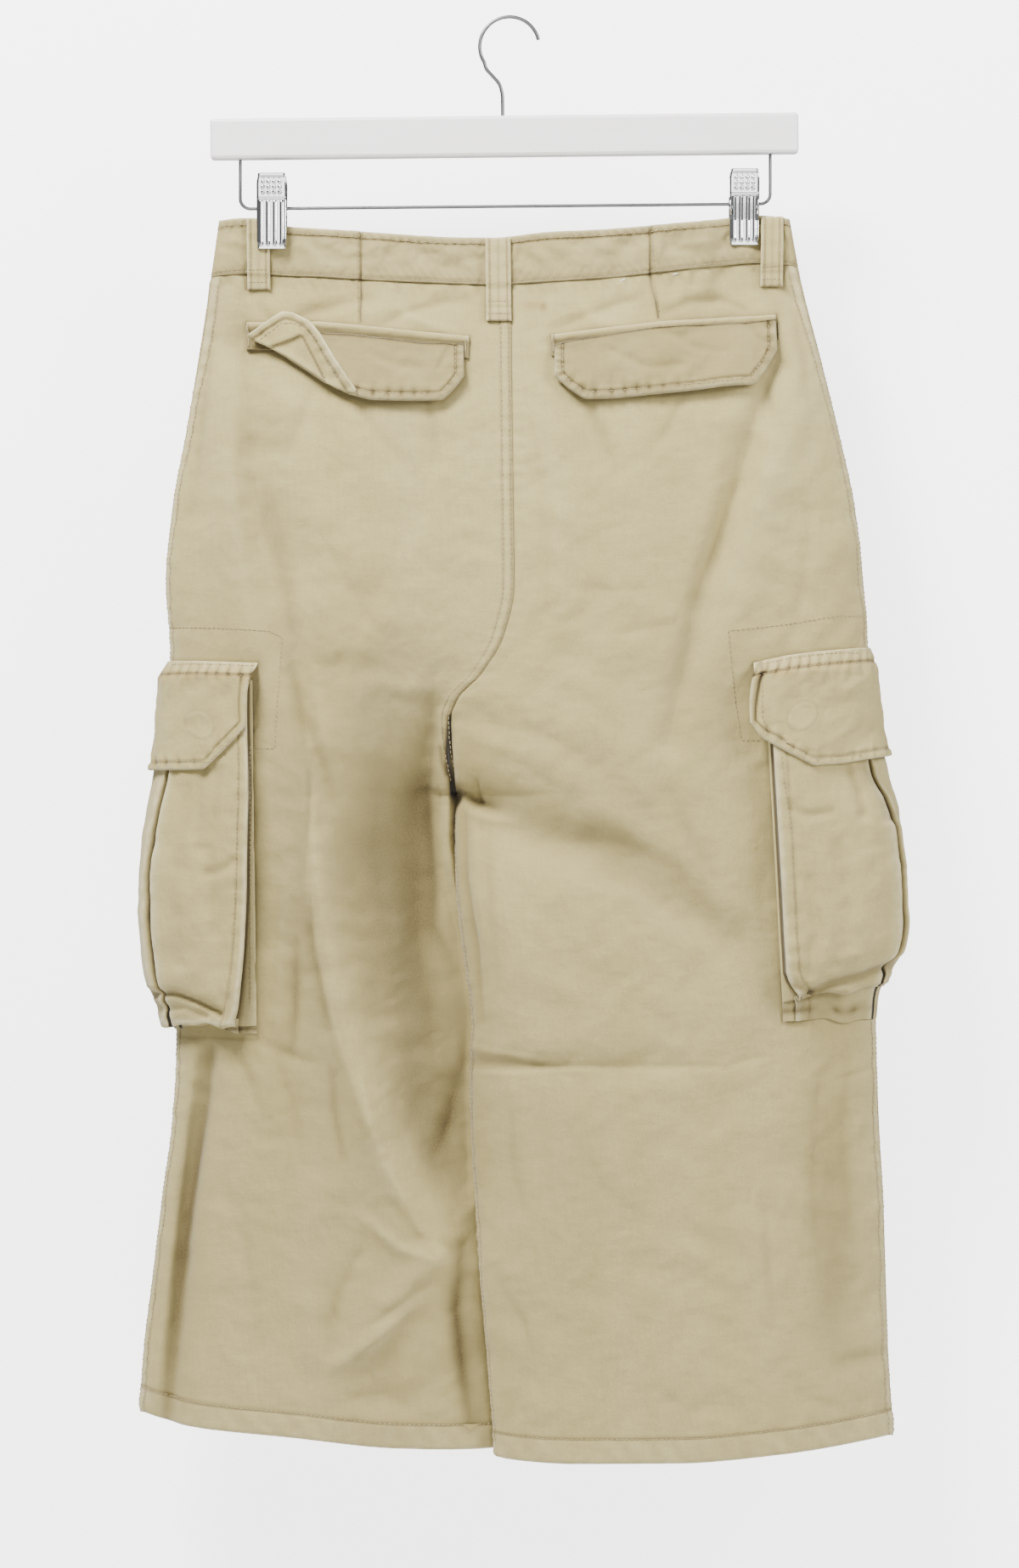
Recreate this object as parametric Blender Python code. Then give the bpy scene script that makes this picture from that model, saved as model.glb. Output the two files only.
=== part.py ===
"""Knee-length cargo shorts hung flat, waist up, from a wooden bar hanger with two spring clips.

The origin is the inside of the hook's top, where the hook rests. X runs along the hanger bar, Z is up
and -Y is the side that the garment's back faces. Lengths below are millimetres.

A panel is read by two shares: across, from its inner edge (centre seam or inseam) at 0 to the outseam
at 1, and down, from the waistband seam at 0 to the hem at 1.
"""

import math
from collections import namedtuple

import bmesh
import bpy
import numpy as np
from mathutils import Matrix, Vector

MM = 0.001
TINY = 1e-9

# Cloth.
PANEL_WALL = 1.5
BAND_WALL = 2.5
POCKET_WALL = 1.4
TRIM_WALL = 1.2
LOOP_WALL = 1.6
SEAM_GAP = 0.3
LAID_GAP = 0.6  # between a piece and the panel it lies on
LAID_CELL = 9.0

# Sides and faces of the garment.
LEFT, RIGHT = -1, 1
BACK, FRONT = -1, 1
SIDES = {"left": LEFT, "right": RIGHT}
FACES = {"back": BACK, "front": FRONT}

# Outseam edges, seen from the back.
SideRow = namedtuple("SideRow", "z left right")
SIDE_ROWS = [
    SideRow(-120, -175.5, 169.3),
    SideRow(-158, -180.9, 176.3),
    SideRow(-205, -188.1, 188.1),
    SideRow(-251, -195.8, 199.4),
    SideRow(-297, -204.1, 209.2),
    SideRow(-343, -208.0, 214.3),
    SideRow(-374, -205.6, 216.4),
    SideRow(-451, -204.1, 219.0),
    SideRow(-528, -202.5, 220.5),
    SideRow(-621, -201.5, 222.0),
    SideRow(-667, -204.1, 223.6),
    SideRow(-713, -210.2, 226.2),
    SideRow(-760, -215.9, 227.7),
    SideRow(-806, -221.5, 229.2),
    SideRow(-866, -225.5, 233.3),
]

# Upper edge of the waistband and the seam that joins it to the panels.
WaistRow = namedtuple("WaistRow", "x top seam")
WAIST_ROWS = [
    WaistRow(-182, -123.2, -157.4),
    WaistRow(-159, -121.0, -155.2),
    WaistRow(-133, -126.2, -156.4),
    WaistRow(-90, -129.5, -159.3),
    WaistRow(-34, -133.1, -161.8),
    WaistRow(-12, -133.4, -162.4),
    WaistRow(24, -129.8, -160.5),
    WaistRow(61, -128.0, -158.0),
    WaistRow(85, -125.9, -155.5),
    WaistRow(122, -122.3, -151.1),
    WaistRow(150, -119.4, -148.6),
    WaistRow(178, -122.8, -151.1),
]

# Lower edge of each leg.
HemRow = namedtuple("HemRow", "x z")
HEM_ROWS = {
    LEFT: [
        HemRow(-226, -840.6),
        HemRow(-193, -849.1),
        HemRow(-131, -855.3),
        HemRow(-69, -862.0),
        HemRow(-23, -863.6),
        HemRow(2, -863.8),
    ],
    RIGHT: [
        HemRow(-10, -868.0),
        HemRow(39, -870.2),
        HemRow(100, -870.2),
        HemRow(162, -865.6),
        HemRow(234, -855.3),
    ],
}
FRONT_HEM_DROP = 1.8  # the front layer hangs this much lower
DROP_DOWN_POWER = 8
DROP_INNER_POWER = 12

# Centre seams down to the crotch, and below it the inner edge of the right leg.
CROTCH_Z = -469.0
InnerRow = namedtuple("InnerRow", "z back front")
INNER_ROWS = [
    InnerRow(-120, 0.5, 0.5),
    InnerRow(-161, 0.5, 0.5),
    InnerRow(-277, 1.5, 0.0),
    InnerRow(-343, 2.3, -4.0),
    InnerRow(-374, -4.1, -8.5),
    InnerRow(-397, -17.5, -14.0),
    InnerRow(-412, -31.5, -18.5),
    InnerRow(-424, -35.6, -22.5),
    InnerRow(-440, -35.2, -27.0),
    InnerRow(CROTCH_Z, -32.6, -32.6),
    InnerRow(-487, -33.4, -33.4),
    InnerRow(-528, -31.9, -31.9),
    InnerRow(-570, -27.2, -27.2),
    InnerRow(-608, -22.6, -22.6),
    InnerRow(-635, -23.8, -23.8),
    InnerRow(-742, -19.0, -19.0),
    InnerRow(-797, -14.4, -14.4),
    InnerRow(-868, -8.7, -8.7),
]
DROP_START_Z = -398.0  # here the centre seams start to sink towards the crotch
LEG_OVERLAP = 7.6  # the right leg's inner edge reaches over the left one's
LEG_RAMP = 90.0  # height below the crotch over which the legs part
LEG_SHIFT = {LEFT: 8.0, RIGHT: -10.0}  # how far the inner edges move along Y

# Depth of each layer from the hanger's plane, and how square its edges are.
DepthRow = namedtuple("DepthRow", "z back front edge_power")
DEPTH_ROWS = [
    DepthRow(-120, 5.0, 5.0, 16.0),
    DepthRow(-158, 9.0, 7.5, 13.0),
    DepthRow(-190, 16.0, 12.0, 8.0),
    DepthRow(-240, 24.0, 16.0, 5.0),
    DepthRow(-310, 31.0, 18.4, 4.5),
    DepthRow(-390, 36.0, 20.0, 4.5),
    DepthRow(-469, 38.0, 21.0, 4.5),
    DepthRow(-560, 36.0, 21.0, 4.5),
    DepthRow(-700, 33.0, 20.0, 4.5),
    DepthRow(-800, 30.0, 19.0, 4.5),
    DepthRow(-870, 29.0, 18.5, 4.5),
]
INNER_POWER = {LEFT: 7.0, RIGHT: 9.0}

# Large folds of the cloth, as soft troughs (depth > 0) or ridges (depth < 0) along a three-point path.
Fold = namedtuple("Fold", "face depth width x0 z0 x1 z1 x2 z2")
FOLDS = [
    Fold(BACK, 8.0, 15, -161, -200, -146, -290, -119, -415),
    Fold(BACK, -3.5, 13, -172, -215, -170, -300, -160, -374),
    Fold(BACK, 25.0, 27, -58, -405, -62, -500, -34, -690),
    Fold(BACK, -4.0, 18, -122, -425, -114, -530, -72, -708),
    Fold(BACK, 8.0, 8, -182, -630, -193, -708, -205, -850),
    Fold(BACK, -5.0, 12, -100, -812, -75, -785, -44, -748),
    Fold(BACK, 6.0, 10, 158, -215, 139, -276, 96, -436),
    Fold(BACK, -3.0, 12, 176, -240, 160, -290, 122, -400),
    Fold(BACK, 8.0, 17, -16, -476, 45, -500, 128, -556),
    Fold(BACK, 2.0, 9, -18, -628, 55, -634, 140, -627),
    Fold(BACK, -3.0, 16, 150, -700, 155, -760, 160, -820),
    Fold(BACK, -3.0, 14, 22, -245, 30, -300, 33, -365),
    Fold(FRONT, 3.0, 15, -156, -235, -138, -310, -100, -400),
    Fold(FRONT, 6.0, 14, 156, -205, 136, -280, 90, -410),
    Fold(FRONT, 9.0, 24, -62, -440, -75, -540, -48, -690),
    Fold(FRONT, 7.0, 18, 30, -455, 62, -540, 55, -680),
    Fold(FRONT, -3.0, 15, -150, -650, -140, -740, -146, -830),
    Fold(FRONT, -3.0, 15, 140, -640, 132, -730, 150, -830),
]
FOLD_EDGE_FADE = 0.06
FOLD_TOP_FADE = 35.0
FOLD_TIP = 0.12  # how much of its strength a fold keeps at its ends
FOLD_TAPER = 0.7
CROTCH_ROUND = 1.6  # how the centre seams sink towards the crotch

# Clips squeeze the two layers together and the squeeze fades down the panels.
CLIP_X = {LEFT: -143.7, RIGHT: 141.9}
PINCH_FLAT = 10.5
PINCH_HALF_WIDTH = 14.0
PINCH_SPREAD = 30.0
PINCH_FULL_Z = -150.0
PINCH_END_Z = -245.0

# Mesh density of a panel, and the down share over which its inner edge turns at the crotch.
CROTCH_TURN = 0.03
ACROSS_CELLS = 12
RISE_CELLS = 13
LEG_CELLS = 15
RISE_CROWDING = 1.35
LEG_CROWDING = 1.25
NORMAL_STEP = 0.004
SOLVE_ROUNDS = 12
SHARP = math.radians(40)

# Back pockets: the welt's and the flap's upper and lower edges.
EdgeRow = namedtuple("EdgeRow", "x top bottom")
WELT_ROWS = {
    LEFT: [
        EdgeRow(-159.0, -184.2, -201.0),
        EdgeRow(-137.0, -184.0, -201.5),
        EdgeRow(-115.7, -184.2, -202.6),
        EdgeRow(-89.4, -187.1, -203.8),
        EdgeRow(-56.5, -190.7, -206.0),
        EdgeRow(-24.2, -193.8, -207.7),
    ],
    RIGHT: [
        EdgeRow(25.2, -192.8, -206.0),
        EdgeRow(58.0, -188.6, -203.5),
        EdgeRow(92.5, -184.5, -200.5),
        EdgeRow(127.0, -181.8, -197.5),
        EdgeRow(161.1, -179.7, -194.5),
    ],
}
FLAP_ROWS = {
    LEFT: [
        EdgeRow(-154.5, -189.0, -195.0),
        EdgeRow(-141.4, -189.6, -202.8),
        EdgeRow(-126.0, -190.5, -212.8),
        EdgeRow(-111.8, -191.5, -222.6),
        EdgeRow(-96.1, -192.6, -230.0),
        EdgeRow(-84.0, -193.8, -233.2),
        EdgeRow(-66.8, -196.2, -234.0),
        EdgeRow(-53.0, -197.8, -233.9),
        EdgeRow(-40.1, -198.2, -233.4),
        EdgeRow(-33.0, -198.3, -226.5),
        EdgeRow(-27.4, -198.4, -219.0),
    ],
    RIGHT: [
        EdgeRow(27.0, -199.4, -219.0),
        EdgeRow(35.0, -196.8, -226.6),
        EdgeRow(44.7, -195.0, -232.8),
        EdgeRow(62.0, -192.2, -232.2),
        EdgeRow(89.0, -187.8, -230.0),
        EdgeRow(118.0, -185.8, -227.2),
        EdgeRow(146.5, -184.0, -223.6),
        EdgeRow(154.5, -183.4, -213.0),
        EdgeRow(161.3, -182.6, -201.9),
    ],
}
TURNED_ROWS = [
    EdgeRow(-156.8, -193.6, -195.4),
    EdgeRow(-147.0, -186.4, -200.0),
    EdgeRow(-137.2, -179.9, -205.6),
    EdgeRow(-128.5, -180.7, -211.4),
    EdgeRow(-117.7, -185.0, -218.6),
    EdgeRow(-111.8, -192.8, -222.6),
    EdgeRow(-103.8, -208.7, -227.2),
    EdgeRow(-95.5, -222.5, -230.2),
    EdgeRow(-91.6, -228.0, -231.4),
]
ON_WELT = LAID_GAP + TRIM_WALL + 0.7  # height over the panel where a flap clears its welt
FLAP_RISE = 3.2  # how far a back flap's lower edge stands off its welt
FLAP_CURL = 1.5
TURNED_CLEAR = 0.5
TURNED_RISE = 3.4
WELT_SHARES = (0.0, 0.5, 1.0)
FLAP_SHARES = (0.0, 0.3, 0.65, 1.0)
TURNED_SHARES = (0.0, 0.4, 0.75, 1.0)

# Cargo pockets lie round the outseam. Their lifts are measured from the leg to the pocket's outside.
BagRow = namedtuple("BagRow", "z inner side back front")
BAG_ROWS = {
    LEFT: [
        BagRow(-401.0, -155.3, 5.0, 9.8, 7.6),
        BagRow(-418.0, -155.3, 6.5, 10.6, 8.4),
        BagRow(-440.0, -155.5, 9.0, 12.0, 9.2),
        BagRow(-465.0, -156.0, 13.0, 13.2, 10.0),
        BagRow(-495.0, -156.9, 19.5, 13.5, 10.5),
        BagRow(-528.0, -157.5, 22.5, 14.0, 11.0),
        BagRow(-560.0, -159.0, 22.0, 14.0, 11.0),
        BagRow(-583.0, -161.0, 18.5, 14.5, 10.5),
        BagRow(-597.0, -163.0, 13.0, 12.5, 9.5),
        BagRow(-606.0, -165.5, 9.5, 11.5, 8.5),
    ],
    RIGHT: [
        BagRow(-398.0, 153.5, 4.6, 9.8, 7.6),
        BagRow(-418.0, 154.5, 5.2, 10.6, 8.4),
        BagRow(-440.0, 156.2, 7.0, 12.0, 9.2),
        BagRow(-462.0, 158.2, 12.0, 13.2, 10.0),
        BagRow(-490.0, 162.5, 17.5, 13.5, 10.5),
        BagRow(-520.0, 163.6, 20.0, 14.0, 11.0),
        BagRow(-550.0, 165.0, 20.5, 14.0, 11.0),
        BagRow(-570.0, 167.0, 18.5, 14.5, 10.5),
        BagRow(-584.0, 170.5, 13.5, 13.0, 9.5),
        BagRow(-595.0, 177.0, 8.5, 11.5, 8.5),
    ],
}
BAG_BASE_Z = {LEFT: -616.0, RIGHT: -606.5}
BAG_BASE_X = {LEFT: -153.9, RIGHT: 152.6}
BAG_BASE_SLANT = {LEFT: -0.012, RIGHT: 0.055}  # how far the base edge moves out for each mm down
BAG_BOTTOM_TILT = {LEFT: 0.0, RIGHT: 9.0}  # the raised bottom is this much higher at the outseam
PLEAT_ACROSS = (0.935, 0.950, 0.967)  # near fold, valley and far fold of the centre pleat
PLEAT_DEPTH = 8.5
PLEAT_LIP = 0.8
PLEAT_START = 28.0  # height below the mouth where the pleat starts to open
PLEAT_OPENS = 45.0
BAG_FLAT_FROM = 0.75
BAG_SIDE_START = 0.80  # across share where a bag's face turns towards the outseam
COLUMN_CLEAR = 0.02  # least across share between a panel's column and an edge
BAG_BASE_CORNER = 6.0
BAG_LEAST_STEP = 0.016

# Cargo flaps.
FlapRow = namedtuple("FlapRow", "inner top bottom")
CARGO_FLAP_ROWS = {
    LEFT: [
        FlapRow(-150.6, -390.6, -428.0),
        FlapRow(-154.5, -390.5, -433.0),
        FlapRow(-165.5, -390.0, -444.0),
        FlapRow(-176.3, -389.6, -454.2),
        FlapRow(-188.0, -389.2, -454.6),
    ],
    RIGHT: [
        FlapRow(146.0, -390.4, -427.0),
        FlapRow(152.0, -389.0, -436.0),
        FlapRow(166.0, -386.0, -444.5),
        FlapRow(179.9, -384.0, -452.4),
        FlapRow(196.0, -382.4, -451.0),
    ],
}
CARGO_FLAP_OUTSEAM = {LEFT: (-388.8, -454.6), RIGHT: (-380.6, -446.5)}
CARGO_FLAP_CLEAR = 1.0
SEWN_EDGE = 0.9  # a cargo flap's gap to the leg at its sewn edge
FLAP_REACH = 2.0  # a cargo flap is at its full height this far above the bag's mouth
CARGO_FLAP_SHARES = (0.0, 0.13, 0.22, 0.4, 0.6, 0.8, 1.0)

# Belt loops: centre, width, and how far they reach above the seam and below it.
LoopRow = namedtuple("LoopRow", "name face x width above below")
LOOP_ROWS = [
    LoopRow("belt_loop_back_left", BACK, -151.6, 13.8, 34.0, 9.0),
    LoopRow("belt_loop_back_center", BACK, -6.6, 15.2, 28.5, 22.0),
    LoopRow("belt_loop_back_right", BACK, 158.6, 13.4, 28.5, 13.5),
    LoopRow("belt_loop_front_left", FRONT, -82.0, 14.0, 28.5, 9.0),
    LoopRow("belt_loop_front_right", FRONT, 84.0, 14.0, 28.5, 9.0),
]
LOOP_ARCH = 0.9
LOOP_END = 1.5

# Waistband pieces, by the seams that end them.
DART_X = {LEFT: -89.6, RIGHT: 84.6}
FRONT_BAND_END = 20.0
BAND_CLEAR = 1.0
BAND_MIDDLE_Z = -140.0
BAND_SHARES = (0.0, 0.33, 0.67, 1.0)
LEAST_RUN = 1e-3

# Fly and button.
FLY_INNER_X = -1.8
FLY_WIDTH = 36.0
FLY_LENGTH = 150.0
FLY_FOOT = 0.35  # share of its length that its foot rounds away
FLY_BELOW_SEAM = 1.0
FLY_SHARES = (0.0, 0.25, 0.5, 0.75, 1.0)
BUTTON_X = 10.0
BUTTON_RADIUS = 8.5
ButtonRow = namedtuple("ButtonRow", "radius_share height")
BUTTON_ROWS = [
    ButtonRow(0.0, 2.2),
    ButtonRow(0.55, 2.3),
    ButtonRow(0.75, 3.2),
    ButtonRow(0.93, 2.9),
    ButtonRow(1.0, 1.9),
    ButtonRow(0.9, 0.4),
    ButtonRow(0.7, 0.0),
    ButtonRow(0.0, 0.0),
]

# Hanger.
BAR_SIZE = (355.6, 12.0, 24.5)
BAR_CENTRE = (-3.1, 0.0, -71.4)
BAR_TILT = math.radians(-0.62)
BAR_EDGE = 2.0
HOOK_WIRE = 2.2
HOOK_RADIUS = 18.0
HOOK_SHANK_X = -4.1
HOOK_NECK = [(-4.2, -50.0), (-4.5, -45.0), (-6.2, -39.6), (-10.2, -34.8), (-13.9, -30.6)]
HOOK_START_DEG = 212.0
HOOK_END_DEG = 14.0
HOOK_POINTS = 22
ROD_WIRE = 2.0
ROD_BEND = 6.0
BEND_POINTS = 6
ROD_ENDS_X = (-162.9, 157.8)
ROD_END_Z = (-115.1, -112.1)

# Clips. A jaw's inner face, from its finger end down: height over the rod, least distance from the
# rod's plane, distance beyond its seat, and whether the ribs run there.
CLIP_WIDTH = 18.0
CLIP_PLATE = 1.0
CLIP_RIB = 0.8
CLIP_RIBS = 4
JawRow = namedtuple("JawRow", "up least beyond ribbed")
JAW_ROWS = [
    JawRow(20.5, 9.5, 0.0, False),
    JawRow(11.3, 8.3, 0.0, False),
    JawRow(5.0, 7.2, 0.0, True),
    JawRow(0.0, 6.2, 0.6, True),
    JawRow(-10.0, 0.0, 0.7, True),
    JawRow(-21.0, 0.0, 0.4, True),
    JawRow(-23.0, 0.0, 0.0, True),
    JawRow(-25.0, 0.0, 0.0, False),
]
JAW_CLEAR = 0.3
EAR_THICK = 1.0
EAR_INSET = {BACK: 0.6, FRONT: 2.2}  # the far jaw's ears lie inside the near jaw's
EAR_FOOT = 6.7  # distance from the rod's plane where an ear runs into its jaw
EAR_PAST = 3.0
EAR_TOP = (5.5, 2.5)  # heights over the rod at the jaw and at the free end
EAR_UNDER = (-6.5, -2.5)
HOLE_SIDES = 12

Look = namedtuple("Look", "colour roughness metallic")
LOOKS = {
    "twill": Look((0.55, 0.48, 0.34), 0.9, 0.0),
    "twill_edge": Look((0.62, 0.56, 0.42), 0.9, 0.0),
    "white_wood": Look((0.85, 0.85, 0.84), 0.45, 0.0),
    "steel": Look((0.45, 0.46, 0.46), 0.35, 1.0),
    "chrome": Look((0.75, 0.76, 0.77), 0.12, 1.0),
    "horn": Look((0.30, 0.24, 0.16), 0.4, 0.0),
}


def clear_scene():
    for thing in list(bpy.data.objects):
        bpy.data.objects.remove(thing, do_unlink=True)


def smooth(value):
    """Eased step from 0 at 0 to 1 at 1."""
    value = np.clip(value, 0.0, 1.0)
    return value * value * (3.0 - 2.0 * value)


def through(rows, key, name):
    """A smooth curve through one column of a table, read against its key column."""
    at = np.array([getattr(row, key) for row in rows], float)
    to = np.array([getattr(row, name) for row in rows], float)
    order = np.argsort(at)
    at, to = at[order], to[order]
    step = np.diff(at)
    rate = np.diff(to) / step
    slope = np.concatenate([[rate[0]], np.zeros(len(at) - 2), [rate[-1]]])
    turning = rate[:-1] * rate[1:]
    both = np.where(turning > 0, rate[:-1] + rate[1:], 1.0)
    slope[1:-1] = np.where(turning > 0, 2.0 * turning / both, 0.0)

    def read(x):
        x = np.clip(x, at[0], at[-1])
        i = np.clip(np.searchsorted(at, x) - 1, 0, len(at) - 2)
        t = (x - at[i]) / step[i]
        rise = to[i] + (to[i + 1] - to[i]) * t * t * (3.0 - 2.0 * t)
        bend = slope[i] * (t - 1.0) ** 2 * t + slope[i + 1] * (t - 1.0) * t * t
        return rise + bend * step[i]

    return read


OUTSEAM_X = {LEFT: through(SIDE_ROWS, "z", "left"), RIGHT: through(SIDE_ROWS, "z", "right")}
WAIST_TOP = through(WAIST_ROWS, "x", "top")
WAIST_SEAM = through(WAIST_ROWS, "x", "seam")
HEM = {side: through(HEM_ROWS[side], "x", "z") for side in (LEFT, RIGHT)}
INNER_X = {BACK: through(INNER_ROWS, "z", "back"), FRONT: through(INNER_ROWS, "z", "front")}
DEPTH = {BACK: through(DEPTH_ROWS, "z", "back"), FRONT: through(DEPTH_ROWS, "z", "front")}
EDGE_POWER = through(DEPTH_ROWS, "z", "edge_power")
SEAM_TOP_Z = float(WAIST_SEAM(INNER_ROWS[1].back))
HEM_INNER_Z = {LEFT: -863.8, RIGHT: -868.0}
CROTCH_DOWN = (SEAM_TOP_Z - CROTCH_Z) / (SEAM_TOP_Z - HEM_INNER_Z[RIGHT])


def pinch(x, z):
    """Share of the layers' depth that the clips take away at a place."""
    fade = smooth((z - PINCH_END_Z) / (PINCH_FULL_Z - PINCH_END_Z))
    width = PINCH_HALF_WIDTH + PINCH_SPREAD * (1.0 - fade)
    near = np.minimum(np.abs(x - CLIP_X[LEFT]), np.abs(x - CLIP_X[RIGHT]))
    beside = np.maximum(near - PINCH_FLAT, 0.0)
    return fade * np.exp(-((beside / width) ** 2))


def fold_depth(face, x, z):
    """How far the large folds move the cloth towards the hanger's plane."""
    total = np.zeros(np.broadcast(x, z).shape)
    for fold in FOLDS:
        if fold.face != face:
            continue
        nearest = np.full(total.shape, np.inf)
        along = np.zeros(total.shape)
        ends = [(fold.x0, fold.z0), (fold.x1, fold.z1), (fold.x2, fold.z2)]
        for i, ((ax, az), (bx, bz)) in enumerate(zip(ends, ends[1:])):
            length2 = (bx - ax) ** 2 + (bz - az) ** 2
            t = np.clip(((x - ax) * (bx - ax) + (z - az) * (bz - az)) / length2, 0, 1)
            away = np.hypot(x - ax - t * (bx - ax), z - az - t * (bz - az))
            along = np.where(away < nearest, (i + t) / 2.0, along)
            nearest = np.minimum(away, nearest)
        taper = np.sin(np.pi * (FOLD_TIP + (1.0 - 2.0 * FOLD_TIP) * along)) ** FOLD_TAPER
        total = total + fold.depth * taper * np.exp(-((nearest / fold.width) ** 2))
    return total


def inner_edge(side, face, z):
    """X of a panel's inner edge: the centre seam down to the crotch, then the inseam."""
    parting = smooth((CROTCH_Z - z) / LEG_RAMP)
    x = INNER_X[face](z) + side * SEAM_GAP / 2
    return x + (LEG_OVERLAP * parting**2 if side == LEFT else 0.0)


def panel_point(side, face, across, down):
    """A place on the outer surface of a panel."""
    across, down = np.broadcast_arrays(np.asarray(across, float), np.asarray(down, float))
    in_rise = down <= CROTCH_DOWN
    rise_z = SEAM_TOP_Z + (CROTCH_Z - SEAM_TOP_Z) * down / CROTCH_DOWN
    leg_share = (down - CROTCH_DOWN) / (1.0 - CROTCH_DOWN)
    leg_z = CROTCH_Z + (HEM_INNER_Z[side] - CROTCH_Z) * leg_share
    inner_z = np.where(in_rise, rise_z, leg_z)
    inner_x = inner_edge(side, face, inner_z)
    z = inner_z
    for _ in range(4):
        x = inner_x + (OUTSEAM_X[side](z) - inner_x) * across
        waist = (WAIST_SEAM(x) - WAIST_SEAM(inner_x)) * (1.0 - down)
        hem = (HEM[side](x) - HEM[side](inner_x)) * down
        z = inner_z + waist + hem
    sunk = np.clip((DROP_START_Z - inner_z) / (DROP_START_Z - CROTCH_Z), 0.0, 1.0)
    ease = np.sqrt(np.clip(1.0 - sunk**CROTCH_ROUND, 0.0, 1.0))
    inner_fall = np.sqrt(1.0 - (1.0 - across) ** INNER_POWER[side])
    inner_fall = ease + (1.0 - ease) * inner_fall
    outer_fall = np.sqrt(1.0 - across ** EDGE_POWER(z))
    depth = PANEL_WALL + DEPTH[face](z) * (1.0 - pinch(x, z))
    fade = smooth((1.0 - across) / FOLD_EDGE_FADE) * smooth((WAIST_SEAM(x) - z) / FOLD_TOP_FADE)
    fade = fade * (ease + (1.0 - ease) * smooth(across / FOLD_EDGE_FADE))
    depth = depth * inner_fall * outer_fall - fold_depth(face, x, z) * fade
    parting = smooth((CROTCH_Z - inner_z) / LEG_RAMP)
    shift = LEG_SHIFT[side] * parting * (1.0 - across) ** 2
    y = shift + face * (SEAM_GAP / 2 + depth)
    drop = FRONT_HEM_DROP * down**DROP_DOWN_POWER if face == FRONT else 0.0
    return np.stack([x, y, z - drop * (1.0 - (1.0 - across) ** DROP_INNER_POWER)], axis=-1)


def normals(grid, face):
    """Unit normals of a grid of points, on the side that the garment's face is on."""
    out = np.cross(np.gradient(grid, axis=1), np.gradient(grid, axis=0))
    out = out / np.maximum(np.linalg.norm(out, axis=-1, keepdims=True), TINY)
    return out if out[1, grid.shape[1] // 3, 1] * face > 0 else -out


def across_stations():
    t = np.linspace(0.0, 1.0, ACROSS_CELLS + 1)
    return 0.5 * t + 0.25 * (1.0 - np.cos(np.pi * t))


def down_stations():
    rise = np.linspace(0.0, 1.0, RISE_CELLS + 1)
    leg = np.linspace(0.0, 1.0, LEG_CELLS + 1)[1:]
    rise = CROTCH_DOWN * (1.0 - (1.0 - rise) ** RISE_CROWDING)
    leg = CROTCH_DOWN + (1.0 - CROTCH_DOWN) * leg**LEG_CROWDING
    return np.concatenate([rise, leg])


ACROSS = across_stations()
DOWN = down_stations()
SKIN = {
    (side, face): panel_point(side, face, ACROSS[None, :], DOWN[:, None])
    for side in (LEFT, RIGHT)
    for face in (BACK, FRONT)
}


def skin_point(side, face, across, down):
    """A place on the panel's faceted outer surface."""
    grid = SKIN[side, face]
    across, down = np.broadcast_arrays(np.clip(across, 0.0, 1.0), np.clip(down, 0.0, 1.0))
    j = np.clip(np.searchsorted(ACROSS, across) - 1, 0, len(ACROSS) - 2)
    i = np.clip(np.searchsorted(DOWN, down) - 1, 0, len(DOWN) - 2)
    a = ((across - ACROSS[j]) / (ACROSS[j + 1] - ACROSS[j]))[..., None]
    d = ((down - DOWN[i]) / (DOWN[i + 1] - DOWN[i]))[..., None]
    near, far = grid[i, j], grid[i + 1, j + 1]
    corner = np.where(a > d, grid[i, j + 1], grid[i + 1, j])
    first, second = np.maximum(a, d), np.minimum(a, d)
    return near + first * (corner - near) + second * (far - corner)


def skin_normal(side, face, across, down):
    """The outward normal of a panel's smooth surface."""
    across, down = np.broadcast_arrays(np.asarray(across, float), np.asarray(down, float))
    a0, a1 = np.clip(across - NORMAL_STEP, 0.0, 1.0), np.clip(across + NORMAL_STEP, 0.0, 1.0)
    d0, d1 = np.clip(down - NORMAL_STEP, 0.0, 1.0), np.clip(down + NORMAL_STEP, 0.0, 1.0)
    along = panel_point(side, face, a1, down) - panel_point(side, face, a0, down)
    below = panel_point(side, face, across, d1) - panel_point(side, face, across, d0)
    out = np.cross(along, below) * side * face
    out[..., 1] = np.where(across >= 1.0, 0.0, out[..., 1])
    return out / np.linalg.norm(out, axis=-1, keepdims=True)


def shares_at(side, face, x, z):
    """The across and down shares of the panel's places at X and Z."""
    x, z = np.broadcast_arrays(np.asarray(x, float), np.asarray(z, float))
    across, down = np.full(x.shape, 0.5), np.full(x.shape, 0.5)
    width = OUTSEAM_X[side](z) - INNER_X[face](z)
    height = SEAM_TOP_Z - HEM_INNER_Z[side]
    for _ in range(SOLVE_ROUNDS):
        place = panel_point(side, face, across, down)
        across = np.clip(across + (x - place[..., 0]) / width, 0.0, 1.0)
        down = np.clip(down + (place[..., 2] - z) / height, 0.0, 1.0)
    return across, down


def down_at(side, face, across, z):
    """The down shares of the places at given across shares and heights."""
    down = np.full(np.broadcast(across, z).shape, 0.5)
    for _ in range(SOLVE_ROUNDS):
        place = panel_point(side, face, across, down)
        down = np.clip(down + (place[..., 2] - z) / (SEAM_TOP_Z - HEM_INNER_Z[side]), 0.0, 1.0)
    return down


def material(name):
    look = LOOKS[name]
    made = bpy.data.materials.new(name)
    made.use_nodes = True
    shader = made.node_tree.nodes["Principled BSDF"]
    shader.inputs["Base Color"].default_value = (*look.colour, 1.0)
    shader.inputs["Roughness"].default_value = look.roughness
    shader.inputs["Metallic"].default_value = look.metallic
    made.diffuse_color = (*look.colour, 1.0)
    return made


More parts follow.
